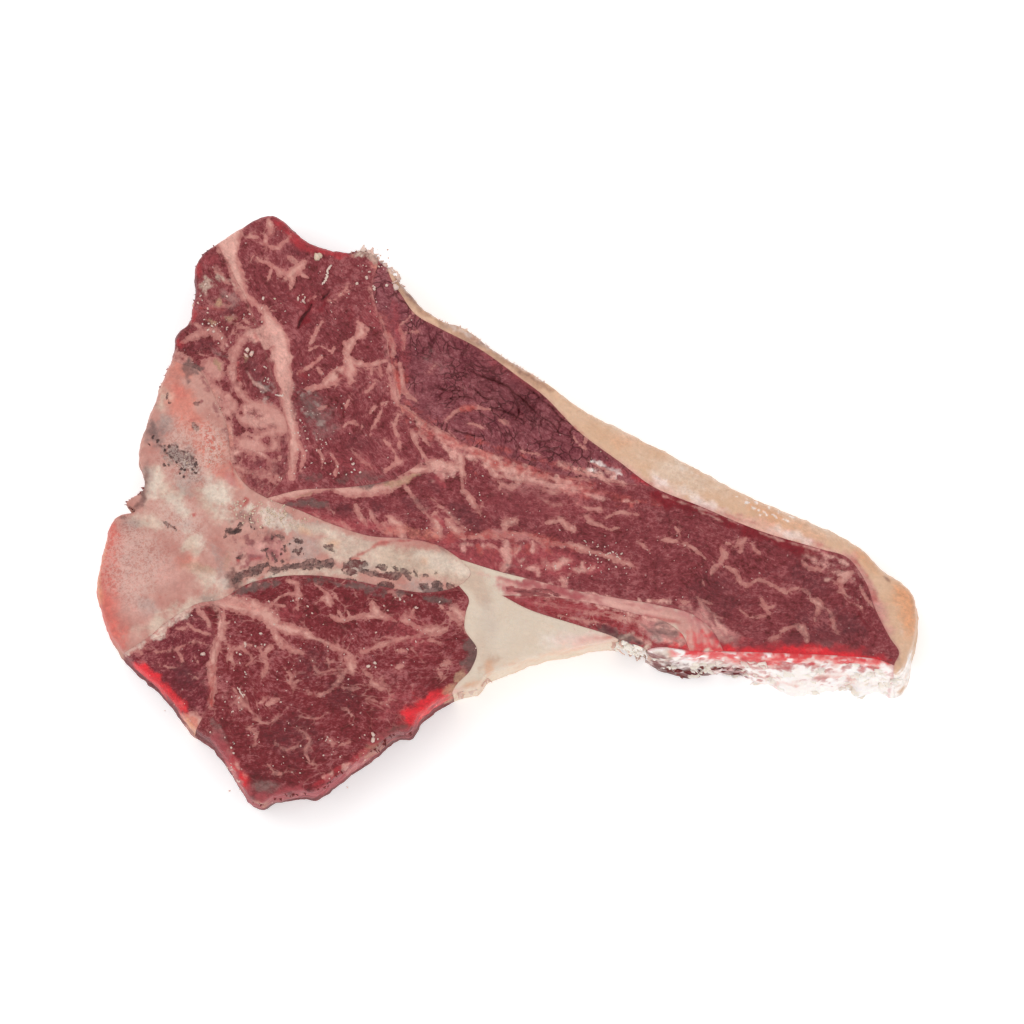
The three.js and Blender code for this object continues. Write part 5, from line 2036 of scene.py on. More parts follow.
def bone() -> Tissue:
    """The sawn vertebra with its side bar.

    Returns:
        The tissue, ready to be built.
    """
    finish = BoneFinish("sawn_bone", turn=20, stretch=1.6, gloss=0.44, ragged=1.1)
    laid = strokes(
        (4, 228, 534, 236, 533, 244, 531), (2.4, 226, 538, 232, 536), (2.4, 240, 530, 243, 524),
        (7, 246, 579, 256, 573, 269, 567), (7, 236, 586, 240, 578, 248, 574), (5, 268, 573, 284, 571),
        (5, 284, 571, 296, 569, 306, 568), (10, 303, 569, 314, 567, 323, 570), (10, 326, 566, 335, 567),
        (3, 332, 561, 336, 566), (8, 343, 573, 352, 566, 359, 565), (6, 346, 575, 356, 574),
        (7, 356, 568, 367, 567), (5, 361, 573, 374, 576, 389, 579), (7, 378, 570, 387, 570),
        (4, 384, 575, 393, 577), (9, 389, 578, 401, 579), (4, 394, 569, 399, 573), (5, 402, 572, 411, 580),
        (1.8, 414, 573, 424, 578, 437, 576), (6, 380, 586, 396, 590), (5, 342, 583, 360, 587),
        (7, 420, 587, 429, 591), (6, 433, 587, 440, 590, 445, 598), (3, 438, 586, 445, 588),
        (6, 449, 585, 453, 595), (5, 392, 593, 402, 596, 413, 599), (3, 426, 596, 440, 600),
        (3, 295, 540, 303, 545), (2.2, 296, 551, 299, 556), (2.2, 302, 551, 299, 556),
        (2, 325, 548, 334, 547), (2, 330, 551, 334, 554), (4, 272, 555, 277, 563),
        (2.4, 267, 558, 269, 563), (3, 277, 538, 285, 540), (2, 286, 550, 288, 553),
        (3, 272, 538, 273, 543), (2.4, 263, 554, 268, 552), (2.4, 282, 563, 286, 566),
        (2, 238, 559, 243, 558), (2, 166, 524, 172, 529, 178, 532), (2, 168, 394, 169, 402),
        (4, 195, 405, 199, 403), (2.5, 194, 424, 197, 430),
    )
    washes = (
        wash(Tint.ROSE, (46, 132, 545, 126, 580, 138, 616), (24, 150, 560, 176, 586), strength=0.8, soft=5,
             rag=2, size=7),
        wash(Tint.SALMON, (26, 172, 380, 184, 404, 192, 432), (28, 200, 428, 214, 452, 224, 476),
             (12, 232, 478, 246, 492), (18, 180, 560, 196, 570), (14, 168, 366, 190, 376), strength=0.85,
             soft=3, rag=2.2, size=4),
        wash(Tint.CORAL, (32, 116, 524, 104, 552, 100, 590, 106, 620, 124, 648), strength=0.95, soft=4,
             rag=1.8, size=5),
        wash(Tint.SALMON, (20, 164, 376, 172, 400, 178, 420), strength=0.6, soft=3, rag=2.4, size=3),
        wash(Tint.CORAL, (12, 206, 430, 214, 450), (8, 176, 388, 182, 400), (8, 216, 470, 226, 480),
             strength=0.5, soft=2.4, rag=2, size=3),
        wash(Tint.ORANGE, (3, 106, 540, 100, 580, 102, 606), strength=0.6, soft=1.0),
        wash(Tint.CREAM, (22, 158, 470, 164, 494, 186, 512), (26, 190, 540, 196, 548),
             (22, 196, 574, 212, 590), (16, 140, 524, 164, 530),
             (16, 144, 632, 170, 622, 196, 606, 222, 596), (10, 160, 392, 162, 410),
             (26, 204, 490, 226, 502), (14, 228, 522, 214, 512), strength=0.8, soft=3, rag=2.4, size=4),
        wash(Tint.WINE, (6, 184, 366, 192, 370), (5, 202, 378, 210, 392), (4, 214, 404, 220, 418),
             (5, 226, 430, 230, 444), (4, 196, 404, 201, 402), strength=0.6, soft=1.0, rag=1.4, size=2),
        wash(Tint.SMOKE, (8, 186, 366, 198, 374), (5, 188, 374, 188, 382), strength=0.7, soft=1.0, rag=1.4,
             size=2),
        wash(Tint.YELLOW_CREAM, (16, 180, 486, 196, 496, 210, 512), (14, 186, 544, 198, 548), strength=0.5,
             soft=3.5, rag=2),
        wash(Tint.IVORY, (16, 208, 484, 222, 494, 234, 506), (10, 190, 532, 204, 542, 202, 556),
             (9, 214, 578, 228, 588), (7, 150, 480, 158, 502), (8, 166, 500, 190, 516),
             (6, 222, 512, 236, 514), strength=0.7, soft=2.6, rag=2.2, size=4),
        wash(Tint.STONE, (12, 212, 548, 222, 566, 226, 590), (16, 140, 606, 160, 612),
             (8, 176, 528, 190, 526), strength=0.5, soft=2.2, rag=1.4),
        wash(Tint.TAN, (8, 186, 568, 206, 570, 216, 576), (6, 230, 552, 228, 570), (5, 228, 600, 250, 612),
             strength=0.5, soft=1.6),
        wash(Tint.GREY, (26, 154, 426, 158, 446), (22, 176, 452, 190, 466), (14, 182, 474, 200, 480),
             (6, 148, 464, 146, 500), (9, 126, 526, 140, 524), (8, 204, 600, 222, 604), strength=0.62,
             soft=2.4, rag=1.6),
        wash(Tint.STONE, (12, 162, 418, 172, 432), (14, 176, 478, 190, 494), strength=0.6, soft=1.8),
        wash(Tint.SMOKE, (8, 150, 420, 156, 438), (5, 162, 424, 166, 430),
             (14, 168, 454, 178, 460, 194, 468), (6, 144, 480, 143, 508), (10, 152, 398, 150, 412),
             strength=0.55, soft=1.4, rag=1.4, size=2),
        wash(Tint.BROWN, (9, 130, 510, 142, 506, 146, 498), (3, 122, 519, 134, 521),
             (5, 146, 470, 144, 500), strength=0.6, soft=1.0, rag=1.0, size=1.6),
        wash(Tint.IVORY, (20, 262, 514, 282, 522, 292, 528), (8, 240, 508, 256, 508), strength=0.7,
             soft=1.6, rag=2.0, size=1.5),
        wash(Tint.SMOKE, (12, 236, 522, 248, 520, 256, 528), (8, 258, 536, 284, 536),
             (7, 284, 516, 300, 508), strength=0.5, soft=1.4, rag=1.8, size=1.6),
        wash(Tint.SMOKE, (15, 162, 449, 180, 458, 196, 469), strength=0.7, soft=1.8, rag=2.0, size=1.4),
        wash(Tint.PINK, (24, 248, 552, 266, 556), (22, 262, 556, 286, 556), strength=0.65, soft=2, rag=1.8),
        wash(Tint.PALE_PINK, (12, 254, 548, 268, 550), strength=0.6, soft=1.4),
        wash(Tint.WINE, (10, 237, 540, 240, 554, 242, 570), (7, 242, 546, 256, 544),
             (5, 284, 571, 300, 569), (6, 246, 564, 262, 560), (4, 266, 552, 276, 560),
             (4, 260, 540, 280, 544), (3, 290, 560, 300, 566), strength=0.65, soft=1.6, rag=2.2, size=1.6),
        wash(Tint.BROWN, (16, 236, 572, 238, 590), (7, 246, 580, 262, 571), strength=0.75, soft=1.4,
             rag=1.4, size=2),
        wash(Tint.WINE, (8, 440, 546, 448, 558), (12, 454, 598, 464, 606), strength=0.6, soft=1.2, rag=1.4,
             size=2),
        wash(Tint.STONE, (30, 290, 548, 322, 552), (12, 300, 532, 320, 530), strength=0.6, soft=2.5,
             rag=1.4),
        wash(Tint.CREAM, (34, 326, 544, 360, 556, 400, 562), (10, 290, 528, 340, 536),
             (9, 244, 586, 280, 578, 330, 574, 360, 580), strength=0.8, soft=2),
        wash(Tint.YELLOW_CREAM, (30, 384, 562, 430, 566, 466, 572), (22, 446, 572, 470, 580), strength=0.85,
             soft=2.5),
        wash(Tint.IVORY, (16, 416, 556, 446, 566, 470, 576), (4, 330, 534, 352, 540),
             (5, 250, 584, 284, 575), strength=0.6, soft=1.8),
        wash(Tint.ORANGE, (8, 422, 560, 428, 566), (5, 302, 532, 312, 536), (5, 330, 546, 340, 544),
             strength=0.4, soft=1.4),
        wash(Tint.STONE, (12, 400, 588, 440, 592), (8, 350, 570, 372, 570), strength=0.6, soft=1.6,
             rag=1.2),
        wash(Tint.BLOOD, (3, 358, 558, 368, 554, 378, 547, 386, 545, 400, 543, 420, 542, 436, 545),
             (4, 258, 581, 266, 578), (3, 350, 562, 360, 561), (3, 240, 562, 238, 556),
             (3, 252, 562, 262, 560), (4, 193, 516, 198, 518), (3, 230, 464, 236, 476),
             (3, 294, 579, 300, 580), (3, 244, 508, 250, 500), (2, 190, 422, 200, 418), strength=0.75,
             soft=0.6),
        wash(Tint.PINK, (6, 370, 541, 400, 539, 436, 541), (8, 228, 474, 236, 490), strength=0.6, soft=1.2),
        wash(Tint.SMOKE, (9, 234, 598, 262, 588, 284, 583), (5, 304, 582, 330, 583),
             (8, 340, 586, 388, 592), (10, 420, 592, 452, 598), strength=0.85, soft=0.8, rag=1.4, size=1.8),
        wash(Tint.BROWN, (3, 236, 596, 250, 590), (3, 350, 588, 376, 592), (3, 396, 596, 420, 600),
             strength=0.7, soft=0.8, rag=1.2, size=1.6),
    )
    marks = {
        Mark.LAID: laid,
        Mark.LACE: strokes((24, 204, 430, 214, 450, 204, 468), (18, 182, 462, 200, 476),
                           (12, 266, 514, 286, 524), strength=0.75, soft=4)
            + strokes((70, 180, 430, 206, 480), (70, 130, 530, 136, 600), (40, 160, 510, 200, 530),
                      strength=0.4, soft=6),
        Mark.PORES: strokes((22, 164, 452, 180, 460, 194, 470), strength=0.5, soft=3)
            + strokes((16, 154, 438, 160, 446), (18, 244, 520, 268, 536), (26, 280, 544, 300, 556),
                      strength=0.3, soft=2),
        Mark.SUNK: strokes((4, 230, 534, 238, 533, 243, 531), (2.4, 165, 453, 168, 455),
                           (2.4, 170, 457, 174, 460), (2.4, 181, 452, 186, 454), (2, 190, 456, 194, 460),
                           (2, 159, 446, 162, 449), strength=0.6),
    }
    return Tissue("bone", (170, 560), "bone", finish, marks, washes, crown=0.05, grit=0.12)


def tenderloin() -> Tissue:
    """The large muscle below the bar.

    Returns:
        The tissue, ready to be built.
    """
    finish = LeanFinish("tenderloin_lean", turn=-4, stretch=2.2, web=0.68, web_cell=4.8,
                        base=seen(127, 48, 53))
    laid = TENDERLOIN_VEIN + strokes(
        (7, 196, 608, 214, 604, 232, 598), (5, 250, 588, 262, 586), (4, 286, 583, 300, 586),
        (5, 392, 594, 404, 600), (17, 218, 607, 240, 608, 256, 611, 269, 618, 280, 629),
        (11, 262, 616, 276, 628, 290, 632, 304, 635, 316, 641),
        (5.4, 308, 638, 320, 642, 334, 648, 350, 656), (10, 348, 659, 352, 668, 355, 677),
        (5, 349, 655, 355, 664), (5, 262, 611, 270, 608, 286, 608), (3, 275, 607, 280, 599, 291, 598),
        (4.4, 299, 585, 299, 596, 300, 607), (6, 290, 597, 304, 598), (2.8, 300, 603, 298, 614),
        (8, 276, 632, 279, 642, 286, 650), (5, 283, 647, 294, 653, 310, 657),
        (4, 279, 645, 272, 650, 264, 656), (3.6, 267, 652, 267, 664, 268, 672, 265, 680),
        (4, 262, 653, 269, 662), (4, 246, 650, 236, 652, 233, 659, 236, 670),
        (3, 242, 650, 248, 656, 255, 662, 249, 668), (2.4, 227, 651, 239, 651, 253, 648, 265, 650),
        (2.4, 286, 671, 292, 680, 294, 692), (3, 293, 689, 300, 684),
        (2.2, 313, 662, 316, 672, 323, 676, 333, 673, 346, 672), (2, 330, 660, 331, 674),
        (6.4, 343, 678, 338, 687, 333, 692), (3, 347, 672, 343, 682),
        (3, 334, 690, 328, 696, 318, 698, 306, 693), (2.2, 344, 690, 352, 692, 362, 690),
        (5, 316, 586, 326, 594, 334, 606), (9, 327, 598, 331, 609), (5, 319, 603, 330, 600),
        (3, 334, 597, 341, 602), (6.4, 331, 618, 340, 622, 352, 622), (4.4, 348, 622, 362, 620, 375, 619),
        (2.6, 340, 613, 345, 624), (2.6, 348, 611, 351, 623), (10, 373, 604, 378, 614, 386, 622),
        (6.4, 364, 618, 378, 619), (4.4, 376, 619, 388, 620, 399, 624), (8, 405, 616, 408, 627),
        (3.6, 412, 619, 415, 612), (4.4, 410, 624, 422, 632), (8, 416, 630, 428, 633, 442, 632),
        (8, 432, 637, 440, 634, 449, 629), (4, 358, 656, 372, 653, 384, 647, 396, 643, 410, 640, 427, 636),
        (2.6, 418, 646, 431, 643, 442, 645), (4.4, 398, 653, 410, 655), (2.2, 408, 655, 415, 650),
        (3.6, 442, 608, 452, 618, 462, 628, 471, 638), (10, 454, 612, 464, 620, 470, 630),
        (4.4, 364, 672, 372, 680, 377, 688), (5.4, 371, 683, 382, 690, 390, 692), (2.8, 380, 689, 385, 682),
        (4.4, 398, 671, 406, 668), (5.4, 443, 668, 452, 664), (3, 440, 671, 442, 682),
        (4.4, 236, 692, 243, 703, 252, 712), (3, 262, 706, 270, 699), (5.4, 269, 707, 282, 702),
        (2.6, 302, 732, 312, 742, 308, 756, 316, 768), (2, 300, 718, 316, 722, 330, 716),
        (2.2, 340, 708, 352, 716, 350, 726), (2, 256, 720, 270, 726, 280, 720),
        (2, 370, 700, 384, 706, 396, 700), (2.6, 250, 728, 258, 740, 254, 752),
        (2.4, 276, 744, 286, 752, 300, 750), (2.2, 330, 740, 340, 748, 352, 744),
        (2.4, 270, 768, 280, 776, 292, 774),
    )
    washes = (
        wash(Tint.DARK_RED, (70, 290, 760, 300, 720), (50, 330, 700, 360, 690), (50, 300, 660, 330, 670),
             (30, 250, 780, 290, 785), strength=0.45, soft=7, size=9),
        wash(Tint.LEAN_RED, (40, 390, 620, 430, 650), (30, 420, 690, 380, 720), (26, 280, 610, 300, 625),
             strength=0.45, soft=5, size=7),
        wash(Tint.PALE_PINK, (4, 230, 607, 250, 608, 264, 616), (3, 274, 628, 300, 636, 330, 646),
             (5, 222, 616, 220, 640), (4, 214, 670, 217, 692), strength=0.7, soft=0.8),
        wash(Tint.BLOOD, (6, 213, 664, 215, 690, 213, 708), strength=0.7, soft=1.0),
        wash(Tint.BLOOD, (12, 222, 604, 244, 607, 262, 612), strength=0.4, soft=1.6, rag=1.4),
        wash(Tint.ROSE, (10, 204, 609, 222, 604, 236, 600), (9, 450, 610, 462, 618, 472, 632), strength=0.6,
             soft=1.4, rag=1.8),
        wash(Tint.CLOT, (1.6, 396, 661, 430, 660, 462, 661), (8, 424, 692, 444, 690),
             (5, 304, 698, 318, 700), (5, 256, 700, 270, 698), strength=0.6, soft=0.7, rag=0.8, size=2),
        wash(Tint.PINK, (12, 224, 680, 228, 704), (10, 236, 690, 240, 716), strength=0.4, soft=1.8, rag=1.8,
             size=2),
        wash(Tint.BLOOD, (5, 213, 702, 214, 708), strength=0.9, soft=0.5),
        wash(Tint.SMOKE, (11, 240, 594, 262, 588, 284, 584), (6, 304, 582, 330, 583),
             (8, 338, 587, 362, 589, 390, 597), (6, 392, 595, 414, 598), (20, 468, 644, 476, 656, 466, 672),
             (7, 424, 600, 452, 604), strength=0.8, soft=1.2, rag=1.6, size=1.8),
        wash(Tint.GREY, (9, 214, 722, 222, 738, 232, 748), (12, 250, 790, 276, 788), strength=0.55,
             soft=1.6, rag=1.2),
        wash(Tint.DEEP_RED, (10, 226, 748, 238, 768, 250, 790), (8, 310, 790, 350, 768, 372, 752),
             strength=0.75, soft=1.4, rag=1.2),
        wash(Tint.BROWN, (8, 368, 748, 392, 736, 414, 726), (8, 258, 800, 290, 796),
             (5, 372, 752, 396, 738), strength=0.75, soft=1.0, rag=1.2, size=2),
        wash(Tint.PALE_PINK, (4, 238, 762, 242, 770), (3, 246, 778, 250, 784), (5, 324, 780, 334, 776),
             (4, 344, 772, 352, 766), (3, 230, 752, 234, 757), strength=0.7, soft=0.7, rag=1.0, size=1.8),
        # painted backlight: the red glow at the lower rims, with rose streaks
        wash(Tint.GLOW, (22, 406, 724, 422, 713, 442, 703, 462, 696), (9, 230, 764, 240, 778, 248, 790),
             strength=0.95, soft=1.8, rag=1.6, size=3),
        wash(Tint.BACKLIT_ROSE_GLOW, (4, 428, 712, 446, 702), (3, 416, 720, 424, 714), strength=0.7, soft=0.9,
             rag=1.2, size=2),
        wash(Tint.TAN, (14, 456, 682, 468, 680), (9, 448, 694, 462, 688), strength=0.8, soft=1.4, rag=1.6,
             size=2),
        wash(Tint.BROWN, (7, 458, 680, 468, 676), strength=0.5, soft=1.4, rag=1.6, size=2),
        wash(Tint.SMOKE, (7, 256, 800, 276, 802), strength=0.6, soft=1.0, rag=1.2, size=2),
        wash(Tint.LEAN_RED,
             (22, 218, 740, 236, 776, 256, 802, 300, 800, 344, 780, 376, 756, 410, 740, 440, 708),
             strength=0.8, soft=2, rag=2.4, heights=(12.0, 24.0)),
        wash(Tint.PINK, (5, 230, 768, 244, 792), (4, 286, 802, 304, 800), (4, 350, 774, 366, 764),
             (3, 396, 748, 410, 742), strength=0.7, soft=1.2, rag=1.8, size=1.8, heights=(16.0, 99.0)),
        wash(Tint.TAN, (5, 366, 758, 384, 750, 400, 744), (5, 260, 806, 276, 806), strength=0.5, soft=1.4,
             rag=1.8, size=1.8, heights=(16.0, 99.0)),
    )
    return Tissue("tenderloin", (300, 700), "lean_meat", finish, {Mark.LAID: laid}, washes)


def psoas_minor() -> Tissue:
    """The small muscle at the tenderloin's left.

    Returns:
        The tissue, ready to be built.
    """
    finish = LeanFinish("psoas_lean", turn=14, stretch=1.8, web=0.4, web_cell=3.6, base=seen(122, 48, 56))
    laid = TENDERLOIN_VEIN + strokes(
        (2.2, 148, 650, 162, 654, 178, 652, 196, 644, 208, 646), (2.2, 188, 626, 200, 634, 212, 636),
        (1.8, 178, 652, 186, 664), (2.2, 158, 664, 170, 670, 184, 668), (1.4, 190, 676, 200, 682),
        (22, 186, 718, 204, 734), (1.4, 196, 660, 202, 668), (7, 124, 658, 138, 650, 152, 640),
        (9, 150, 644, 164, 632, 178, 620), (7, 174, 622, 190, 612, 206, 606),
        (6, 198, 612, 206, 618, 212, 628), (4, 178, 632, 192, 630), (5, 136, 654, 146, 656),
    )
    washes = (
        wash(Tint.DARK_RED, (24, 176, 668, 200, 690), strength=0.5, soft=3),
        wash(Tint.PINK, (5, 178, 626, 200, 622, 214, 632), (6, 206, 660, 208, 690), strength=0.35, soft=1.4,
             rag=1.4),
        wash(Tint.IVORY, (6, 126, 656, 150, 641, 172, 624, 198, 609), strength=0.5, soft=1.2, rag=2.4,
             size=2.5),
        wash(Tint.SMOKE, (5, 206, 606, 216, 608), strength=0.7, soft=0.9, rag=1.2, size=2),
        wash(Tint.BLOOD, (9, 213, 664, 215, 690, 213, 708), strength=0.6, soft=1.0),
        # painted backlight: the red glow along the lower left rim, with rose streaks
        wash(Tint.GLOW, (13, 136, 664, 158, 684, 176, 702, 190, 714), (8, 160, 680, 176, 698),
             strength=0.95, soft=1.8, rag=1.4, size=3.5),
        wash(Tint.BACKLIT_ROSE_GLOW, (2, 158, 682, 168, 691), (2, 180, 705, 185, 709), strength=0.45, soft=0.8,
             rag=1.0, size=2),
        wash(Tint.CREAM, (12, 192, 730, 206, 740), strength=0.7, soft=1.2, rag=1.6, size=2),
        wash(Tint.SALMON, (13, 182, 716, 202, 732), strength=0.85, soft=1.2, rag=1.6, size=2),
        wash(Tint.ORANGE, (5, 186, 722, 198, 732), strength=0.6, soft=1.2, rag=1.4, size=2),
    )
    return Tissue("psoas_minor", (170, 670), "lean_meat", finish, {Mark.LAID: laid}, washes)


def flank_strip() -> Tissue:
    """The thin red muscle under the pale band.

    Returns:
        The tissue, ready to be built.
    """
    finish = LeanFinish("flank_lean", turn=-12, stretch=3.0, base=seen(158, 62, 66), web=0.4)
    laid = strokes((2, 530, 606, 560, 610, 590, 614, 630, 626), (2, 560, 618, 590, 624, 612, 628),
                   (2, 548, 604, 566, 612), (2.5, 600, 612, 622, 620, 642, 624))
    washes = (
        wash(Tint.LEAN_RED, (10, 510, 600, 550, 608, 590, 612), strength=0.6, soft=1.6),
        wash(Tint.PINK, (22, 640, 628, 664, 634, 684, 642), strength=0.85, soft=2.4, rag=1.6),
        wash(Tint.ROSE, (8, 626, 620, 644, 628), (10, 664, 632, 676, 636), strength=0.5, soft=1.6, rag=1.4),
        wash(Tint.PALE_PINK, (3, 520, 598, 560, 601, 600, 608, 640, 618, 664, 625), strength=0.6, soft=1.0,
             rag=1.8, size=2.5),
        wash(Tint.PALE_PINK, (5, 640, 620, 664, 624, 684, 632), (3, 630, 640, 650, 646),
             (4, 664, 642, 684, 648), strength=0.7, soft=1.0),
        wash(Tint.GREY, (17, 654, 631, 668, 632, 682, 632), strength=0.6, soft=1.2, rag=1.0, size=1.8),
        wash(Tint.STONE, (5, 652, 640, 664, 643), (5, 682, 629, 690, 632), strength=0.6, soft=0.9, rag=0.9,
             size=1.8),
        wash(Tint.SMOKE, (1.8, 654, 628, 664, 625, 676, 627, 682, 631), (1.8, 656, 634, 668, 637, 681, 635),
             (2, 638, 622, 648, 631, 660, 642), strength=0.6, soft=0.5),
        wash(Tint.PALE_PINK, (1.8, 657, 630, 662, 630), (1.8, 664, 631, 669, 631),
             (1.8, 671, 632, 675, 632), (1.6, 677, 631, 680, 633), strength=0.8, soft=0.4, rag=0.4),
        wash(Tint.ROSE, (9, 670, 624, 680, 632, 686, 648), (6, 684, 640, 690, 650), strength=0.75, soft=1.4,
             rag=1.4, size=2),
        # painted backlight: the red glow at the strip's lower edge
        wash(Tint.GLOW, (6, 668, 651, 690, 650), (1.6, 680, 650, 684, 640), strength=0.7, soft=2.0, rag=2.6,
             size=1.8),
        wash(Tint.CREAM, (26, 610, 640, 634, 648, 660, 656), strength=0.8, soft=1.6, rag=2.4, size=3,
             heights=BELOW_FACE),
        wash(Tint.BROWN, (10, 640, 644, 660, 652), strength=0.6, soft=1.6, rag=2.4, size=3,
             heights=BELOW_FACE),
        wash(Tint.DARK_RED, (8, 590, 628, 620, 638, 640, 644), strength=0.85, soft=1.2, rag=1.0, size=2),
        wash(Tint.SMOKE, (5, 600, 633, 640, 646), strength=0.6, soft=1.0, rag=1.2, size=2),
    )
    return Tissue("flank_strip", (580, 615), "lean_meat", finish, {Mark.LAID: laid}, washes)


def fat_cap() -> Tissue:
    """The back fat along the upper right edge and round the tail.

    Returns:
        The tissue, ready to be built.
    """
    finish = FatFinish("cap_fat", turn=-28, stretch=3.0, gloss=0.26, cream=seen(224, 186, 158),
                       tan=seen(212, 164, 128), contrast=0.34)
    washes = (
        wash(Tint.TAN, (10, 396, 278, 420, 306, 440, 322), (11, 440, 322, 480, 342, 520, 370, 552, 392),
             strength=0.9, soft=1.6, rag=1.4, size=3),
        wash(Tint.STONE, (6, 440, 318, 470, 334, 500, 352), (5, 404, 284, 424, 306), strength=0.4, soft=1.2,
             rag=1.6, size=2),
        wash(Tint.TAN, (8, 446, 322, 470, 338, 496, 352), strength=0.6, soft=1.2, rag=1.6, size=2),
        wash(Tint.ORANGE, (18, 612, 438, 640, 444), (26, 748, 506, 790, 524, 830, 540),
             (16, 852, 552, 884, 576), (22, 900, 592, 908, 616, 906, 640), strength=0.6, soft=4, rag=2.2,
             size=5),
        wash(Tint.IVORY, (26, 640, 456, 690, 480, 730, 496), (14, 780, 512, 836, 536),
             (6, 600, 424, 640, 440), strength=0.5, soft=4, rag=2, size=5),
        wash(Tint.PALE_PINK, (12, 620, 466, 655, 489, 700, 508, 760, 532, 820, 550, 850, 560), strength=0.7,
             soft=2.4, rag=1.6, size=4),
        wash(Tint.PINK, (15, 846, 560, 864, 584, 876, 612, 888, 640, 897, 656), strength=0.75, soft=2.4,
             rag=1.8, size=4),
        wash(Tint.ROSE, (8, 862, 574, 880, 606, 894, 634), strength=0.5, soft=1.6, rag=1.6),
        wash(Tint.DEEP_RED, (3, 868, 590, 878, 616, 888, 640), (5, 892, 648, 896, 664), strength=0.5,
             soft=1.0, rag=1.4),
        wash(Tint.BLOOD, (2.5, 700, 507, 730, 518, 760, 528), (2, 560, 415, 590, 440),
             (3, 640, 482, 660, 490), (2, 800, 540, 830, 550), (1.6, 720, 510, 750, 521),
             (1.6, 852, 560, 868, 580, 878, 604), strength=0.5, soft=0.8, rag=0.8, size=2),
        wash(Tint.WHITE, (9, 650, 478, 690, 497, 730, 514), (6, 770, 530, 810, 543), strength=0.45,
             soft=1.8, rag=1.6),
        wash(Tint.WHITE, (34, 872, 680, 896, 676, 908, 654), (30, 880, 696, 900, 692),
             (14, 898, 650, 906, 640), strength=0.95, soft=2.4, rag=1.4, heights=BELOW_FACE),
        wash(Tint.ORANGE, (16, 896, 590, 908, 606, 908, 626), strength=0.7, soft=3, rag=2, size=4),
        wash(Tint.WHITE, (3, 446, 322, 480, 340, 520, 366, 546, 384), (2.5, 560, 396, 620, 428),
             (2, 680, 470, 700, 478), strength=0.3, soft=0.8, rag=1.0, size=1.6),
        # painted highlights: small white dashes for the wet glints on the cap's ridge
        wash(Tint.WHITE, (1.2, 737, 497, 741, 500), (1.6, 746, 505, 750, 505), (2.4, 753, 509, 760, 513),
             (1, 748, 499, 749, 501), (2, 764, 513, 768, 518), (1, 769, 508, 770, 511),
             (2.4, 773, 517, 778, 521), (1.4, 784, 521, 792, 524), (0.9, 779, 513, 780, 516),
             (1, 757, 503, 758, 506), (1.4, 760, 518, 763, 519), (1.6, 791, 517, 794, 521), strength=0.85,
             soft=0.25, rag=0.5, size=0.8),
        wash(Tint.BROWN, (2.5, 396, 276, 416, 302), (2, 470, 336, 490, 348), (2, 520, 372, 540, 384),
             (2, 650, 446, 654, 448), (2.5, 886, 580, 890, 584), strength=0.6, soft=0.7, rag=0.9, size=1.8),
        wash(Tint.GREY, (8, 880, 628, 892, 650, 900, 668), strength=0.5, soft=1.4),
    )
    return Tissue("fat_cap", (760, 515), "cap_fat", finish, {}, washes, crown=0.35, grit=0.12)


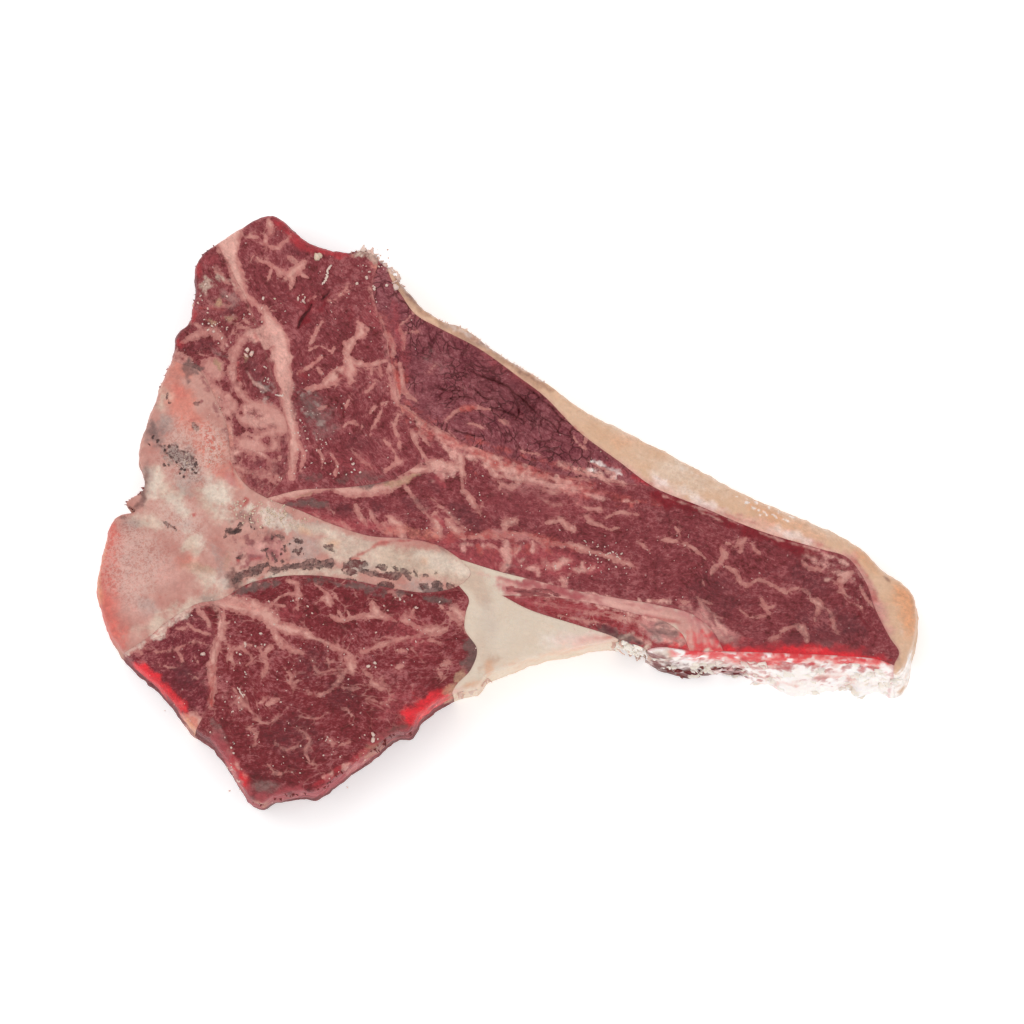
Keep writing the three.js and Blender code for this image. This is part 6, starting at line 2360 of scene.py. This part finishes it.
def inner_fat() -> Tissue:
    """The ivory fat in the crook, with the pale band above it.

    Returns:
        The tissue, ready to be built.
    """
    finish = FatFinish("suet", turn=-14, stretch=4.0, cream=seen(224, 206, 188), tan=seen(220, 192, 168),
                       gloss=0.36, dot_share=0.02, cloud=0.35, contrast=0.16, crust=seen(238, 216, 192),
                       joint_share=0.15)
    laid = strokes((5, 508, 590, 530, 596, 552, 599), (3, 530, 590, 560, 597))
    washes = (
        wash(Tint.YELLOW_CREAM, (22, 464, 572, 490, 584), (20, 480, 640, 490, 672), strength=0.5, soft=3),
        wash(Tint.PINK, (5, 498, 587, 516, 592), (11, 515, 589, 531, 593),
             (22, 536, 592, 580, 600, 640, 611, 690, 623, 716, 646), strength=0.85, soft=2.4, rag=2.4,
             size=3),
        wash(Tint.LEAN_RED, (4, 506, 592, 522, 595), (9, 520, 594, 537, 597),
             (15, 540, 597, 560, 599, 590, 603), (4, 540, 586, 570, 592, 596, 600), strength=0.75, soft=1.8,
             rag=1.8, size=2.5),
        wash(Tint.PINK, (8, 600, 604, 640, 612, 680, 622), strength=0.6, soft=1.8, rag=1.8, size=2.5),
        wash(Tint.PALE_PINK, (1.6, 516, 588, 536, 593, 560, 598), (1.4, 526, 596, 546, 599), strength=0.7,
             soft=0.6, rag=0.8, size=2),
        wash(Tint.PALE_PINK, (5, 470, 572, 520, 588, 570, 600), (7, 590, 600, 640, 611, 690, 626),
             (3, 520, 582, 560, 590), (3, 560, 604, 600, 606), (12, 690, 632, 712, 648),
             (4, 680, 626, 700, 640), strength=0.75, soft=0.8, rag=0.8),
        wash(Tint.LEAN_RED, (6, 690, 609, 706, 617, 716, 631, 722, 648), strength=0.7, soft=1.6, rag=2.2,
             size=2),
        wash(Tint.PINK, (4, 500, 591, 516, 592), (9, 519, 592, 545, 592), strength=0.8, soft=2.0, rag=2.0,
             size=2.5),
        wash(Tint.LEAN_RED, (3, 530, 582, 548, 586, 566, 590), (2, 520, 586, 540, 590), strength=0.6,
             soft=1.0, rag=1.4),
        wash(Tint.YELLOW_CREAM, (26, 464, 566, 470, 584, 486, 600), strength=0.8, soft=4, rag=2),
        wash(Tint.TAN, (6, 458, 692, 474, 686), (3, 480, 672, 500, 660), strength=0.5, soft=1.6, rag=1.6),
        wash(Tint.LEAN_RED, (2.5, 540, 590, 570, 598, 600, 602), (2, 560, 596, 590, 604),
             (2, 500, 580, 520, 586), (2, 620, 606, 650, 612), (3, 696, 620, 708, 632), strength=0.65,
             soft=0.8),
        wash(Tint.PINK, (20, 676, 622, 694, 634, 702, 652), (12, 700, 628, 716, 650), strength=0.85,
             soft=1.8, rag=1.6),
        wash(Tint.ROSE, (10, 660, 616, 678, 621, 687, 634, 691, 652), strength=0.9, soft=1.4, rag=1.0),
        wash(Tint.PINK, (5, 640, 600, 670, 603, 700, 610, 712, 618, 720, 634, 725, 652), strength=0.8,
             soft=1.0, rag=1.4, size=2),
        # painted backlight: the rose and red glow at the lower edge of the hook
        wash(Tint.BACKLIT_ROSE_GLOW, (6, 684, 645, 716, 643), strength=0.6, soft=2.2, rag=2.6, size=1.8),
        wash(Tint.GLOW, (7, 672, 654, 690, 653), (7, 694, 653, 724, 653), (1.6, 686, 652, 690, 641),
             (1.8, 694, 652, 697, 636), (1.6, 701, 652, 704, 634), (1.8, 709, 652, 711, 638),
             (1.6, 717, 652, 717, 641), strength=0.8, soft=1.8, rag=2.4, size=1.6),
        wash(Tint.PALE_PINK, (1.6, 700, 624, 708, 638, 714, 650), (1.6, 694, 622, 698, 640),
             (1.4, 690, 628, 690, 646), (1.4, 706, 622, 718, 638), (3, 600, 602, 640, 612, 680, 621),
             strength=0.7, soft=0.6, rag=0.6),
        wash(Tint.BLOOD, (1.4, 700, 630, 704, 648), (1.4, 708, 630, 716, 646), (1.2, 696, 628, 696, 646),
             (2, 640, 616, 680, 626), strength=0.6, soft=0.5, rag=0.5),
        wash(Tint.LEAN_RED, (4, 522, 583, 540, 587, 562, 591), (6, 692, 607, 708, 616, 718, 630, 723, 646),
             strength=0.75, soft=1.4, rag=2.4, size=2),
        wash(Tint.WINE, (2.4, 670, 605, 694, 608, 712, 616, 720, 630), strength=0.6, soft=0.8, rag=1.6,
             size=2),
        wash(Tint.PALE_PINK, (1.4, 706, 612, 720, 628), (1.4, 712, 616, 724, 634),
             (1.2, 714, 632, 724, 646), strength=0.6, soft=0.5, rag=0.7, size=1.6),
        wash(Tint.WINE, (1.6, 700, 612, 712, 622, 718, 636), (1.4, 708, 624, 715, 636, 718, 648),
             (1.2, 694, 614, 704, 622), strength=0.6, soft=0.6, rag=0.9, size=1.6),
        wash(Tint.ORANGE, (3, 540, 648, 566, 640), (2, 552, 628, 560, 634), (4, 596, 644, 616, 646),
             strength=0.35, soft=1.4, rag=1.8, size=2),
        wash(Tint.BLOOD, (0.8, 574, 630, 576, 632), (0.8, 548, 640, 550, 641), (0.8, 590, 634, 592, 634),
             strength=0.7, soft=0.3, rag=0.3),
        wash(Tint.STONE, (24, 486, 606, 494, 640), strength=0.35, soft=4, size=5),
        wash(Tint.WHITE, (18, 540, 640, 570, 644, 600, 640), strength=0.5, soft=4, size=5),
        wash(Tint.PALE_PINK, (16, 560, 640, 590, 642, 616, 638), strength=0.35, soft=3, size=4),
        wash(Tint.ORANGE, (8, 466, 690, 486, 682), (7, 500, 670, 540, 660, 590, 648),
             (7, 488, 676, 494, 666), strength=0.5, soft=2.4, rag=1.4),
        wash(Tint.PALE_PINK, (5, 574, 646, 604, 640, 620, 644), (7, 440, 700, 462, 690), strength=0.6,
             soft=1.4),
        wash(Tint.BLOOD, (2, 530, 598, 570, 612, 600, 622), (2, 596, 640, 624, 640),
             (2, 480, 694, 490, 684), strength=0.45, soft=0.8),
    )
    return Tissue("inner_fat", (520, 640), "inner_fat", finish, {Mark.LAID: laid}, washes, grit=0.03)


def flank_fat() -> Tissue:
    """The fat that lines the flank, torn and layered, lower right.

    Returns:
        The tissue, ready to be built.
    """
    finish = FatFinish("flank_fat", turn=-2, stretch=4.0, cream=seen(255, 251, 249),
                       tan=seen(248, 226, 218), gloss=0.36, dot_share=0.03, cloud=0.6, contrast=0.16,
                       crust=seen(250, 240, 234), crust_share=0.2, joint=seen(196, 84, 86), joint_share=0.6)
    washes = (
        wash(Tint.PALE_PINK, (8, 700, 660, 760, 662, 840, 664, 890, 668), (4, 760, 680, 800, 684),
             (3, 820, 676, 860, 678), strength=0.7, soft=1.6, rag=1.6),
        wash(Tint.PINK, (3, 724, 666, 760, 668, 800, 670, 850, 670), (2, 800, 678, 850, 682),
             (2, 860, 672, 890, 676), (2, 740, 673, 780, 676), (1.6, 700, 666, 730, 668), strength=0.75,
             soft=0.9, rag=1.6, size=2),
        # painted backlight: the rose and red glow along the top of the flank's wall
        wash(Tint.BACKLIT_ROSE_GLOW, (3, 668, 656, 704, 657), (5, 704, 657, 760, 659, 800, 661, 850, 661, 890, 665),
             strength=0.7, soft=1.2, rag=2.4, size=2.5),
        wash(Tint.GLOW, (3, 684, 656, 708, 656), (5, 706, 656, 724, 657), (8, 726, 657, 760, 658, 830, 659),
             (5, 830, 660, 884, 664), strength=0.85, soft=1.4, rag=2.4, size=2),
        wash(Tint.DEEP_RED, (1.6, 700, 661, 740, 663, 790, 665), (1.4, 720, 667, 760, 668),
             (1.6, 780, 668, 830, 668), (1.4, 840, 666, 880, 670), strength=0.6, soft=0.6, rag=1.0,
             size=2.5),
        wash(Tint.CREAM, (12, 650, 656, 672, 660), strength=0.6, soft=1.4, rag=1.8),
        wash(Tint.WINE, (11, 648, 658, 670, 668, 700, 674, 746, 674), strength=0.85, soft=1.6, rag=1.8,
             size=2.5),
        wash(Tint.BROWN, (8, 656, 664, 690, 672, 720, 676, 746, 672), strength=0.8, soft=1.2, rag=1.8,
             size=2),
        wash(Tint.SMOKE, (5, 664, 668, 680, 672), (6, 692, 672, 716, 676), (4, 728, 670, 742, 672),
             strength=0.85, soft=0.9, rag=1.6, size=1.6),
        wash(Tint.WHITE, (4, 656, 678, 700, 688, 744, 684), (3, 700, 664, 720, 666),
             (2, 676, 664, 690, 667), strength=0.85, soft=0.9, rag=1.4, size=2),
    )
    return FlankWall("flank_fat", (800, 668), "inner_fat", finish, {}, washes, drift=0.4)


TISSUES = (bone, loin_eye, cap_muscle, top_muscle, chine_muscle, tenderloin, psoas_minor, flank_strip,
           fat_cap, inner_fat, flank_fat)


@dataclass
class Scraps:
    """Small pieces of one kind, joined into one mesh."""

    name: str
    slot: str
    finish: Finish
    seed: int
    tint: Tint = Tint.CREAM

    TONE_SIZE = 4.0
    TINTED = 0.6  # the share that the tint takes at most

    def shapes(self, slab: Slab, draw: np.random.Generator) -> list[tuple[Array, Array]]:
        """Makes each small piece's points and triangles; each kind has its own.

        Args:
            slab: the whole steak's body, with its tissues built.
            draw: where their unevenness comes from.

        Returns:
            The points and triangles of each.
        """
        raise NotImplementedError

    def build(self, slab: Slab, effects: Effects) -> bpy.types.Object:
        """Makes the joined mesh and dresses it.

        Args:
            slab: the whole steak's body, with its tissues built.
            effects: the shared shader groups.

        Returns:
            The finished piece.
        """
        made = self.shapes(slab, np.random.default_rng(self.seed))
        starts = np.cumsum([0] + [len(points) for points, _ in made])
        points = np.vstack([points for points, _ in made])
        faces = np.vstack([faces + start for (_, faces), start in zip(made, starts)])
        mesh = mesh_of(self.name, points, faces)
        mesh.polygons.foreach_set("use_smooth", np.ones(len(faces), bool))
        for name in ("edge", "seam", Mark.LAID.value):
            write_numbers(mesh, name, np.full(len(points), FAR))
        for mark in (Mark.SUNK, Mark.LACE, Mark.PORES):
            write_numbers(mesh, mark.value, np.zeros(len(points)))
        tone = 0.5 + 0.5 * roughness_of(points, self.TONE_SIZE, self.seed)
        colours = np.tile(srgb(*self.tint.value), (len(points), 1))
        write_colours(mesh, colours, self.TINTED * np.clip(tone, 0, 1))
        mesh.materials.append(self.finish.material(effects))
        piece = shown(self.name, mesh)
        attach(piece, "root")
        return piece


SIDE_AT_MOST = 1.1  # of a solid of twenty triangles whose corners are 1 from its middle
LUMP_UNEVEN = (0.65, 1.25)
LUMP_LENGTH = (0.8, 1.5)
LUMP_WIDTH = 0.8
LUMP_HEIGHT = 0.6
TONGUE_SIDES = 8


def lump(centre: Array, size: float, draw: np.random.Generator) -> tuple[Array, Array]:
    """Makes one irregular crumb.

    Args:
        centre: x, y and z of its middle.
        size: its usual radius.
        draw: where its unevenness comes from.

    Returns:
        Its points and triangles.
    """
    golden = (1 + math.sqrt(5)) / 2
    corners = np.array([(0, a, b * golden) for a in (-1, 1) for b in (-1, 1)], float)
    corners = np.vstack([np.roll(corners, k, axis=1) for k in range(3)]) / math.hypot(1, golden)
    pairs = np.linalg.norm(corners[:, None] - corners[None], axis=2) < SIDE_AT_MOST
    faces = np.array([trio for trio in combinations(range(len(corners)), 3)
                      if all(pairs[a, b] for a, b in combinations(trio, 2))])
    inside_out = np.linalg.det(corners[faces]) <= 0
    faces[inside_out] = faces[inside_out][:, [0, 2, 1]]
    turn = draw.uniform(0, math.pi)
    spin = np.array([(math.cos(turn), math.sin(turn), 0), (-math.sin(turn), math.cos(turn), 0), (0, 0, 1)])
    uneven = draw.uniform(*LUMP_UNEVEN, (len(corners), 1))
    shape = corners * uneven * (size * draw.uniform(*LUMP_LENGTH), size * LUMP_WIDTH, size * LUMP_HEIGHT)
    return shape @ spin + centre, faces


def tongue(course: Array, widths: Array, thickness: Array, across: Array) -> tuple[Array, Array]:
    """Makes a closed band along a course, flat or round.

    Args:
        course: rows of x, y and z along its middle.
        widths: its width at each row.
        thickness: its thickness at each row.
        across: the direction of its width.

    Returns:
        Its points and triangles.
    """
    sides = TONGUE_SIDES
    along = np.gradient(course, axis=0)
    wide = across - (along @ across / np.maximum((along**2).sum(1), TINY))[:, None] * along
    wide /= np.maximum(np.linalg.norm(wide, axis=1), TINY)[:, None]
    up = np.cross(along, wide)
    up /= np.maximum(np.linalg.norm(up, axis=1), TINY)[:, None]
    turns = np.arange(sides) * 2 * math.pi / sides
    ring = (course[:, None] + np.cos(turns)[None, :, None] * (wide * widths[:, None] / 2)[:, None]
            + np.sin(turns)[None, :, None] * (up * thickness[:, None] / 2)[:, None])
    points = np.vstack([ring.reshape(-1, 3), course[:1], course[-1:]])
    first, last = len(points) - 2, len(points) - 1
    faces = []
    for row in range(len(course) - 1):
        for k in range(sides):
            a, b = row * sides + k, row * sides + (k + 1) % sides
            faces += [(a, a + sides, b), (b, a + sides, b + sides)]
    end = (len(course) - 1) * sides
    for k in range(sides):
        faces += [(first, k, (k + 1) % sides), (last, end + (k + 1) % sides, end + k)]
    faces = np.array(faces)
    inside_out = np.cross(wide[0], up[0]) @ along[0] > 0
    return points, faces[:, ::-1] if inside_out else faces


@dataclass
class Crumbs(Scraps):
    """Crumbs of fat and bone that lie on the upper face."""

    patches: tuple[tuple[float, ...], ...] = ()  # u, v, reach across, reach down, how many, radius in mm
    spread: tuple[float, float] = (0.6, 1.5)  # how the radius of scattered ones varies
    lift: float = 0.2  # how high its middle lies, for its radius

    def shapes(self, slab: Slab, draw: np.random.Generator) -> list[tuple[Array, Array]]:
        """Scatters the crumbs over their patches.

        Args:
            slab: the whole steak's body, with its tissues built.
            draw: where their unevenness comes from.

        Returns:
            The points and triangles of each.
        """
        made = []
        for u, v, across, down, count, radius in self.patches:
            for _ in range(int(count)):
                x, y = place([(u + across * draw.normal(), v + down * draw.normal())])[0]
                size = radius * draw.uniform(*self.spread) if count > 1 else radius
                made.append(lump(np.array([x, y, slab.ground(x, y) + self.lift * size]), size, draw))
        return made


@dataclass
class Threads(Scraps):
    """Torn threads that lie on the upper face."""

    rows: tuple[tuple[float, ...], ...] = ()  # width in mm, then u and v along the thread
    step: float = 0.5
    shake: float = 0.12  # how unsteady its course is, in millimetres
    uneven: float = 0.15  # how unsteady its width is, for the width
    thinnest: float = 0.2
    arc: tuple[float, float] = (0.3, 2.9)  # the part of a wave that its width follows

    def shapes(self, slab: Slab, draw: np.random.Generator) -> list[tuple[Array, Array]]:
        """Lays each thread along its course.

        Args:
            slab: the whole steak's body, with its tissues built.
            draw: where their unevenness comes from.

        Returns:
            The points and triangles of each.
        """
        made = []
        for width, *marks in self.rows:
            line = smooth_line(np.array(marks).reshape(-1, 2), self.step, False)
            line = line + self.shake * draw.normal(size=line.shape)
            high = np.array([slab.ground(x, y) for x, y in line]) + 0.25 * width
            swell = 0.5 + 0.5 * np.sin(np.linspace(*self.arc, len(line)))
            swell = swell + self.uneven * draw.normal(size=len(line))
            wide = width * np.maximum(swell, self.thinnest)
            step = line[-1] - line[0]
            across = np.array([-step[1], step[0], 0.0]) / max(np.linalg.norm(step), 1e-6)
            made.append(tongue(np.column_stack([line, high]), wide, 0.6 * wide, across))
        return made


@dataclass
class Fringe(Scraps):
    """Torn tongues that hang out from the rim."""

    # from u and v to u and v along the rim, how many, length, width and thickness in mm, and the
    # share of the side's height, from the face down, between which they hang
    rows: tuple[tuple[float, ...], ...] = ()
    steps: int = 7
    swing: float = 0.7  # how far they may lean to the side, for their length
    hidden: float = 0.3  # the share of the length that stays inside the side
    sunk: float = 0.3
    inward: float = 0.8  # how far in from the rim the face's height is taken
    lengths: tuple[float, float] = (0.45, 1.3)
    widths: tuple[float, float] = (0.6, 1.3)
    width_range: tuple[float, float] = (0.15, 1.5)
    rise: tuple[float, float] = (-0.5, 0.25)
    curl: tuple[float, float] = (-0.3, 0.3)
    outward: float = 1.3
    bend: float = 1.5
    ragged: float = 0.35
    taper: float = 0.75
    above_floor: float = 0.1

    def shapes(self, slab: Slab, draw: np.random.Generator) -> list[tuple[Array, Array]]:
        """Hangs the tongues between the places on the rim.

        Args:
            slab: the whole steak's body, with its tissues built.
            draw: where their unevenness comes from.

        Returns:
            The points and triangles of each.
        """
        made = []
        for row in self.rows:
            start, end = (slab.rim_tree.find((*place([row[k:k + 2]])[0], 0))[1] for k in (0, 2))
            count, length, width, thickness, high, low = row[4:]
            span = (end - start) % len(slab.rim)
            if span > len(slab.rim) / 2:
                start, span = end, len(slab.rim) - span
            for _ in range(int(count)):
                at = (start + int(draw.uniform() * span)) % len(slab.rim)
                size = draw.uniform(*self.lengths)
                made.append(self._tongue(slab, at, draw.uniform(high, low), length * size,
                                         width * draw.uniform(*self.widths), thickness, draw))
        return made

    def _tongue(self, slab: Slab, at: int, share: float, length: float, width: float, thickness: float,
                draw: np.random.Generator) -> tuple[Array, Array]:
        """Makes one tongue.

        Args:
            slab: the whole steak's body.
            at: the rim's point that it hangs from.
            share: how far down the side it starts, from 0 at the face to 1 at the foot.
            length: its length.
            width: its width at the root.
            thickness: its thickness.
            draw: where its unevenness comes from.

        Returns:
            Its points and triangles.
        """
        out = np.array([*slab.rim_normals[at], 0.0])
        along = np.array([-out[1], out[0], 0.0])
        spot = slab.rim[at]
        stand = stand_out(slab.leans[at], share) - self.hidden * length - self.sunk
        top = slab.ground(*(spot - out[:2] * self.inward)) - 0.5 * thickness
        root = np.array([*spot, top + (FOOT_ROUND - top) * share]) + out * stand
        t = np.linspace(0, 1, self.steps)[:, None]
        swing, rise = self.swing * draw.uniform(-1, 1), draw.uniform(*self.rise)
        curl = draw.uniform(*self.curl) * np.sin(math.pi * t)
        course = root + length * (self.outward * t * out + (swing * t + curl) * along)
        course = course + length * rise * t**self.bend * (0, 0, 1)
        course[:, 2] = np.maximum(course[:, 2], 0.6 * thickness + self.above_floor)
        ragged = 1 + self.ragged * draw.normal(size=self.steps)
        widths = width * np.clip((1 - self.taper * t[:, 0] ** self.bend) * ragged, *self.width_range)
        return tongue(course, widths, thickness * np.clip(1.1 - 0.8 * t[:, 0], 0.2, 1), along)


def scraps() -> list[Scraps]:
    """Lists the crumbs, threads and torn fringes.

    Returns:
        The small pieces of each kind, ready to be built.
    """
    pale = FatFinish("pale_scraps", cream=seen(232, 206, 194), tan=seen(220, 176, 162), gloss=0.34,
                     dot_share=0.0)
    cream = FatFinish("cream_scraps", cream=seen(226, 198, 174), tan=seen(206, 164, 134), gloss=0.34,
                      dot_share=0.0)
    white = FatFinish("white_scraps", cream=seen(254, 247, 236), tan=seen(248, 228, 208), gloss=0.34,
                      dot_share=0.0, contrast=0.1)
    torn_lean = LeanFinish("torn_lean", stretch=2, base=seen(124, 56, 58), light=seen(168, 96, 90))
    return [
        Crumbs("pale_crumbs", "inner_fat", pale, 301, Tint.PALE_PINK,
               ((300, 700, 62, 45, 70, 0.22), (250, 648, 7, 6, 9, 0.42), (373, 670, 3, 3, 3, 0.6),
                (370, 740, 4, 4, 4, 0.5), (240, 702, 7, 14, 22, 0.26), (336, 764, 30, 12, 18, 0.26),
                (290, 620, 40, 12, 22, 0.26), (607, 560, 11, 8, 34, 0.26), (590, 552, 14, 6, 12, 0.2),
                (500, 524, 34, 12, 18, 0.2), (440, 520, 20, 12, 16, 0.22), (560, 575, 24, 8, 12, 0.24),
                (216, 328, 8, 9, 16, 0.36), (244, 320, 10, 12, 10, 0.26), (262, 380, 6, 10, 9, 0.3),
                (304, 299, 5, 4, 9, 0.42), (330, 460, 22, 12, 22, 0.28), (310, 436, 12, 14, 24, 0.24),
                (352, 468, 5, 5, 8, 0.42), (360, 300, 26, 20, 14, 0.22), (330, 330, 34, 40, 24, 0.18),
                (400, 606, 14, 4, 9, 0.34), (420, 640, 30, 20, 18, 0.22), (700, 560, 70, 26, 20, 0.16),
                (460, 480, 26, 20, 14, 0.2), (640, 540, 30, 16, 12, 0.18), (200, 300, 5, 10, 8, 0.34),
                (380, 256, 10, 8, 14, 0.3), (238, 766, 5, 12, 12, 0.3), (560, 622, 30, 6, 10, 0.2),
                (330, 400, 30, 20, 20, 0.2), (357, 283, 0, 0, 1, 0.7), (367, 277, 0, 0, 1, 0.6),
                (374, 287, 1, 1, 3, 0.5), (263, 298, 0, 0, 1, 0.7), (387, 285, 0, 0, 1, 0.8),
                (396, 286, 0, 0, 1, 1.3), (250, 354, 3, 2, 3, 0.7), (205, 657, 0, 0, 1, 0.8))),
        Crumbs("bone_crumbs", "bone", cream, 302, Tint.IVORY,
               ((268, 516, 17, 6, 80, 0.32), (244, 508, 9, 4, 22, 0.28), (290, 526, 12, 5, 24, 0.24),
                (300, 545, 16, 10, 12, 0.16), (212, 446, 12, 16, 36, 0.18), (188, 466, 10, 6, 18, 0.18),
                (317, 256, 0, 0, 1, 1.7), (320, 254, 0, 0, 1, 1.2), (276, 300, 3, 3, 3, 0.3),
                (740, 502, 40, 12, 20, 0.14), (640, 455, 26, 10, 10, 0.14))),
        Threads("pale_threads", "inner_fat", pale, 303, Tint.PALE_PINK,
                ((0.8, 332, 264, 328, 270, 327, 277, 322, 284), (0.5, 276, 396, 284, 397),
                 (0.4, 240, 690, 246, 700), (0.5, 618, 652, 626, 658),
                 (0.6, 391, 268, 398, 272, 398, 280, 392, 282))),
        Fringe("pale_fringe", "inner_fat", pale, 304, Tint.PALE_PINK,
               ((350, 251, 368, 250, 8, 0.9, 1.5, 0.8, 0.0, 0.12),
                (364, 250, 402, 284, 26, 1.7, 2.1, 1.0, 0.0, 0.3),
                (440, 319, 545, 383, 46, 0.7, 0.6, 0.35, 0.0, 0.08),
                (615, 643, 655, 655, 12, 1.8, 1.9, 0.8, 0.1, 0.9),
                (455, 694, 490, 677, 7, 2.2, 2.2, 0.7, 0.1, 0.5),
                (232, 768, 243, 785, 8, 0.8, 0.6, 0.4, 0.02, 0.2))),
        Fringe("flank_flakes", "inner_fat", white, 305, Tint.WHITE,
               ((620, 643, 650, 653, 14, 1.6, 3.0, 0.8, 0.0, 0.5),
                (617, 645, 652, 655, 5, 2.4, 5.0, 1.4, 0.05, 0.4),
                (690, 657, 898, 674, 46, 1.2, 3.4, 0.5, 0.3, 0.98),
                (650, 656, 740, 657, 16, 1.0, 2.4, 0.5, 0.3, 0.98),
                (740, 658, 898, 674, 22, 0.9, 4.0, 0.5, 0.05, 0.4)), swing=2.0),
        Fringe("torn_rind", "lean_meat", torn_lean, 306, Tint.BROWN,
               ((662, 657, 745, 658, 22, 1.0, 3.4, 1.1, 0.5, 0.95),
                (372, 755, 411, 733, 14, 1.0, 0.9, 0.5, 0.0, 0.3),
                (253, 801, 300, 794, 12, 0.9, 0.9, 0.5, 0.0, 0.3),
                (300, 794, 345, 774, 8, 0.7, 0.8, 0.4, 0.0, 0.3),
                (136, 512, 145, 490, 16, 1.1, 0.6, 0.35, 0.0, 0.2),
                (345, 251, 368, 250, 6, 0.6, 1.2, 0.6, 0.0, 0.2),
                (159, 392, 177, 335, 10, 0.7, 0.6, 0.4, 0.0, 0.3),
                (190, 321, 219, 240, 12, 0.7, 0.7, 0.4, 0.0, 0.3))),
    ]


@dataclass(frozen=True)
class Studio:
    """The pale floor, the soft light and the camera."""

    lens: float = 200.0
    sensor: float = 36.0
    picture: float = 1024.0  # the frame's width on the plan
    elevation: float = 83.0
    aim: tuple[float, float] = (513.0, 514.0)  # u and v in the picture's middle
    glint_power: float = 0.35
    glint_size: float = 0.12
    glint_place: tuple[float, float, float] = (0.5, 0.62, 0.62)
    lamp_power: float = 6.0
    lamp_size: float = 1.2
    lamp_place: tuple[float, float, float] = (-0.55, 0.45, 1.1)
    front_power: float = 7.0
    front_place: tuple[float, float, float] = (0.3, -1.3, 0.16)
    sky: float = 0.74
    table: float = 0.3  # the light from below that a light table gives
    floor_half: float = 3000.0
    floor_gap: float = 0.05

    def build(self) -> None:
        """Sets up the floor, the light and the camera."""
        self._floor()
        self._light()
        self._camera()

    def _floor(self) -> None:
        """Lays the floor, just under the steak."""
        around = np.array([(-1, -1), (1, -1), (1, 1), (-1, 1)]) * self.floor_half
        corners = np.column_stack([around, np.full(4, -self.floor_gap)])
        mesh = mesh_of("floor", corners, np.array([(0, 1, 2), (0, 2, 3)]))
        floor = shown("floor", mesh)
        paint = bpy.data.materials.new("pale_floor")
        paint.use_nodes = True
        shader = paint.node_tree.nodes["Principled BSDF"]
        n = Nodes(paint.node_tree)
        tone = n.rise(n.noise(n.millimetres(), 60.0), -1.0, 1.0)
        n.feed(shader.inputs["Base Color"], n.mix(tone, (0.93, 0.93, 0.93), (0.95, 0.95, 0.95)))
        shader.inputs["Roughness"].default_value = 0.8
        shader.inputs["Emission Color"].default_value = (1, 1, 1, 1)
        shader.inputs["Emission Strength"].default_value = self.table
        mesh.materials.append(paint)

    def _light(self) -> None:
        """Hangs a large soft lamp, one in front, and a small one for glints, in a pale sky."""
        scene = bpy.context.scene
        scene.view_settings.view_transform = "Standard"
        scene.world = bpy.data.worlds.new("pale_sky")
        scene.world.use_nodes = True
        scene.world.node_tree.nodes["Background"].inputs["Color"].default_value = (1, 1, 1, 1)
        scene.world.node_tree.nodes["Background"].inputs["Strength"].default_value = self.sky
        lamps = (("soft_lamp", self.lamp_power, self.lamp_size, self.lamp_place),
                 ("front_lamp", self.front_power, self.lamp_size, self.front_place),
                 ("glint_lamp", self.glint_power, self.glint_size, self.glint_place))
        for name, power, size, spot in lamps:
            lamp = bpy.data.lights.new(name, "AREA")
            lamp.energy, lamp.size = power, size
            hung = shown(name, lamp)
            hung.location = spot
            hung.rotation_euler = (-Vector(spot)).to_track_quat("-Z", "Y").to_euler()

    def _camera(self) -> None:
        """Aims the camera at the middle of the photograph's frame."""
        camera = bpy.data.cameras.new("camera")
        camera.lens, camera.sensor_width = self.lens, self.sensor
        camera.clip_end = 20
        held = shown("camera", camera)
        x, y = place([self.aim])[0] * MM
        away = self.picture * UNIT * MM * self.lens / self.sensor
        tilt = math.radians(self.elevation)
        held.location = (x, y - away * math.cos(tilt), THICKNESS * MM + away * math.sin(tilt))
        held.rotation_euler = (math.pi / 2 - tilt, 0, 0)
        bpy.context.scene.camera = held


def main() -> None:
    """Builds the steak and the studio."""
    logging.basicConfig(level=logging.INFO, format="%(message)s")
    Studio().build()
    slab = Slab()
    effects = Effects()
    for maker in [make() for make in TISSUES] + scraps():
        piece = maker.build(slab, effects)
        log.info("%s: %d triangles", piece.name, len(piece.data.polygons))


if __name__ == "__main__":
    main()
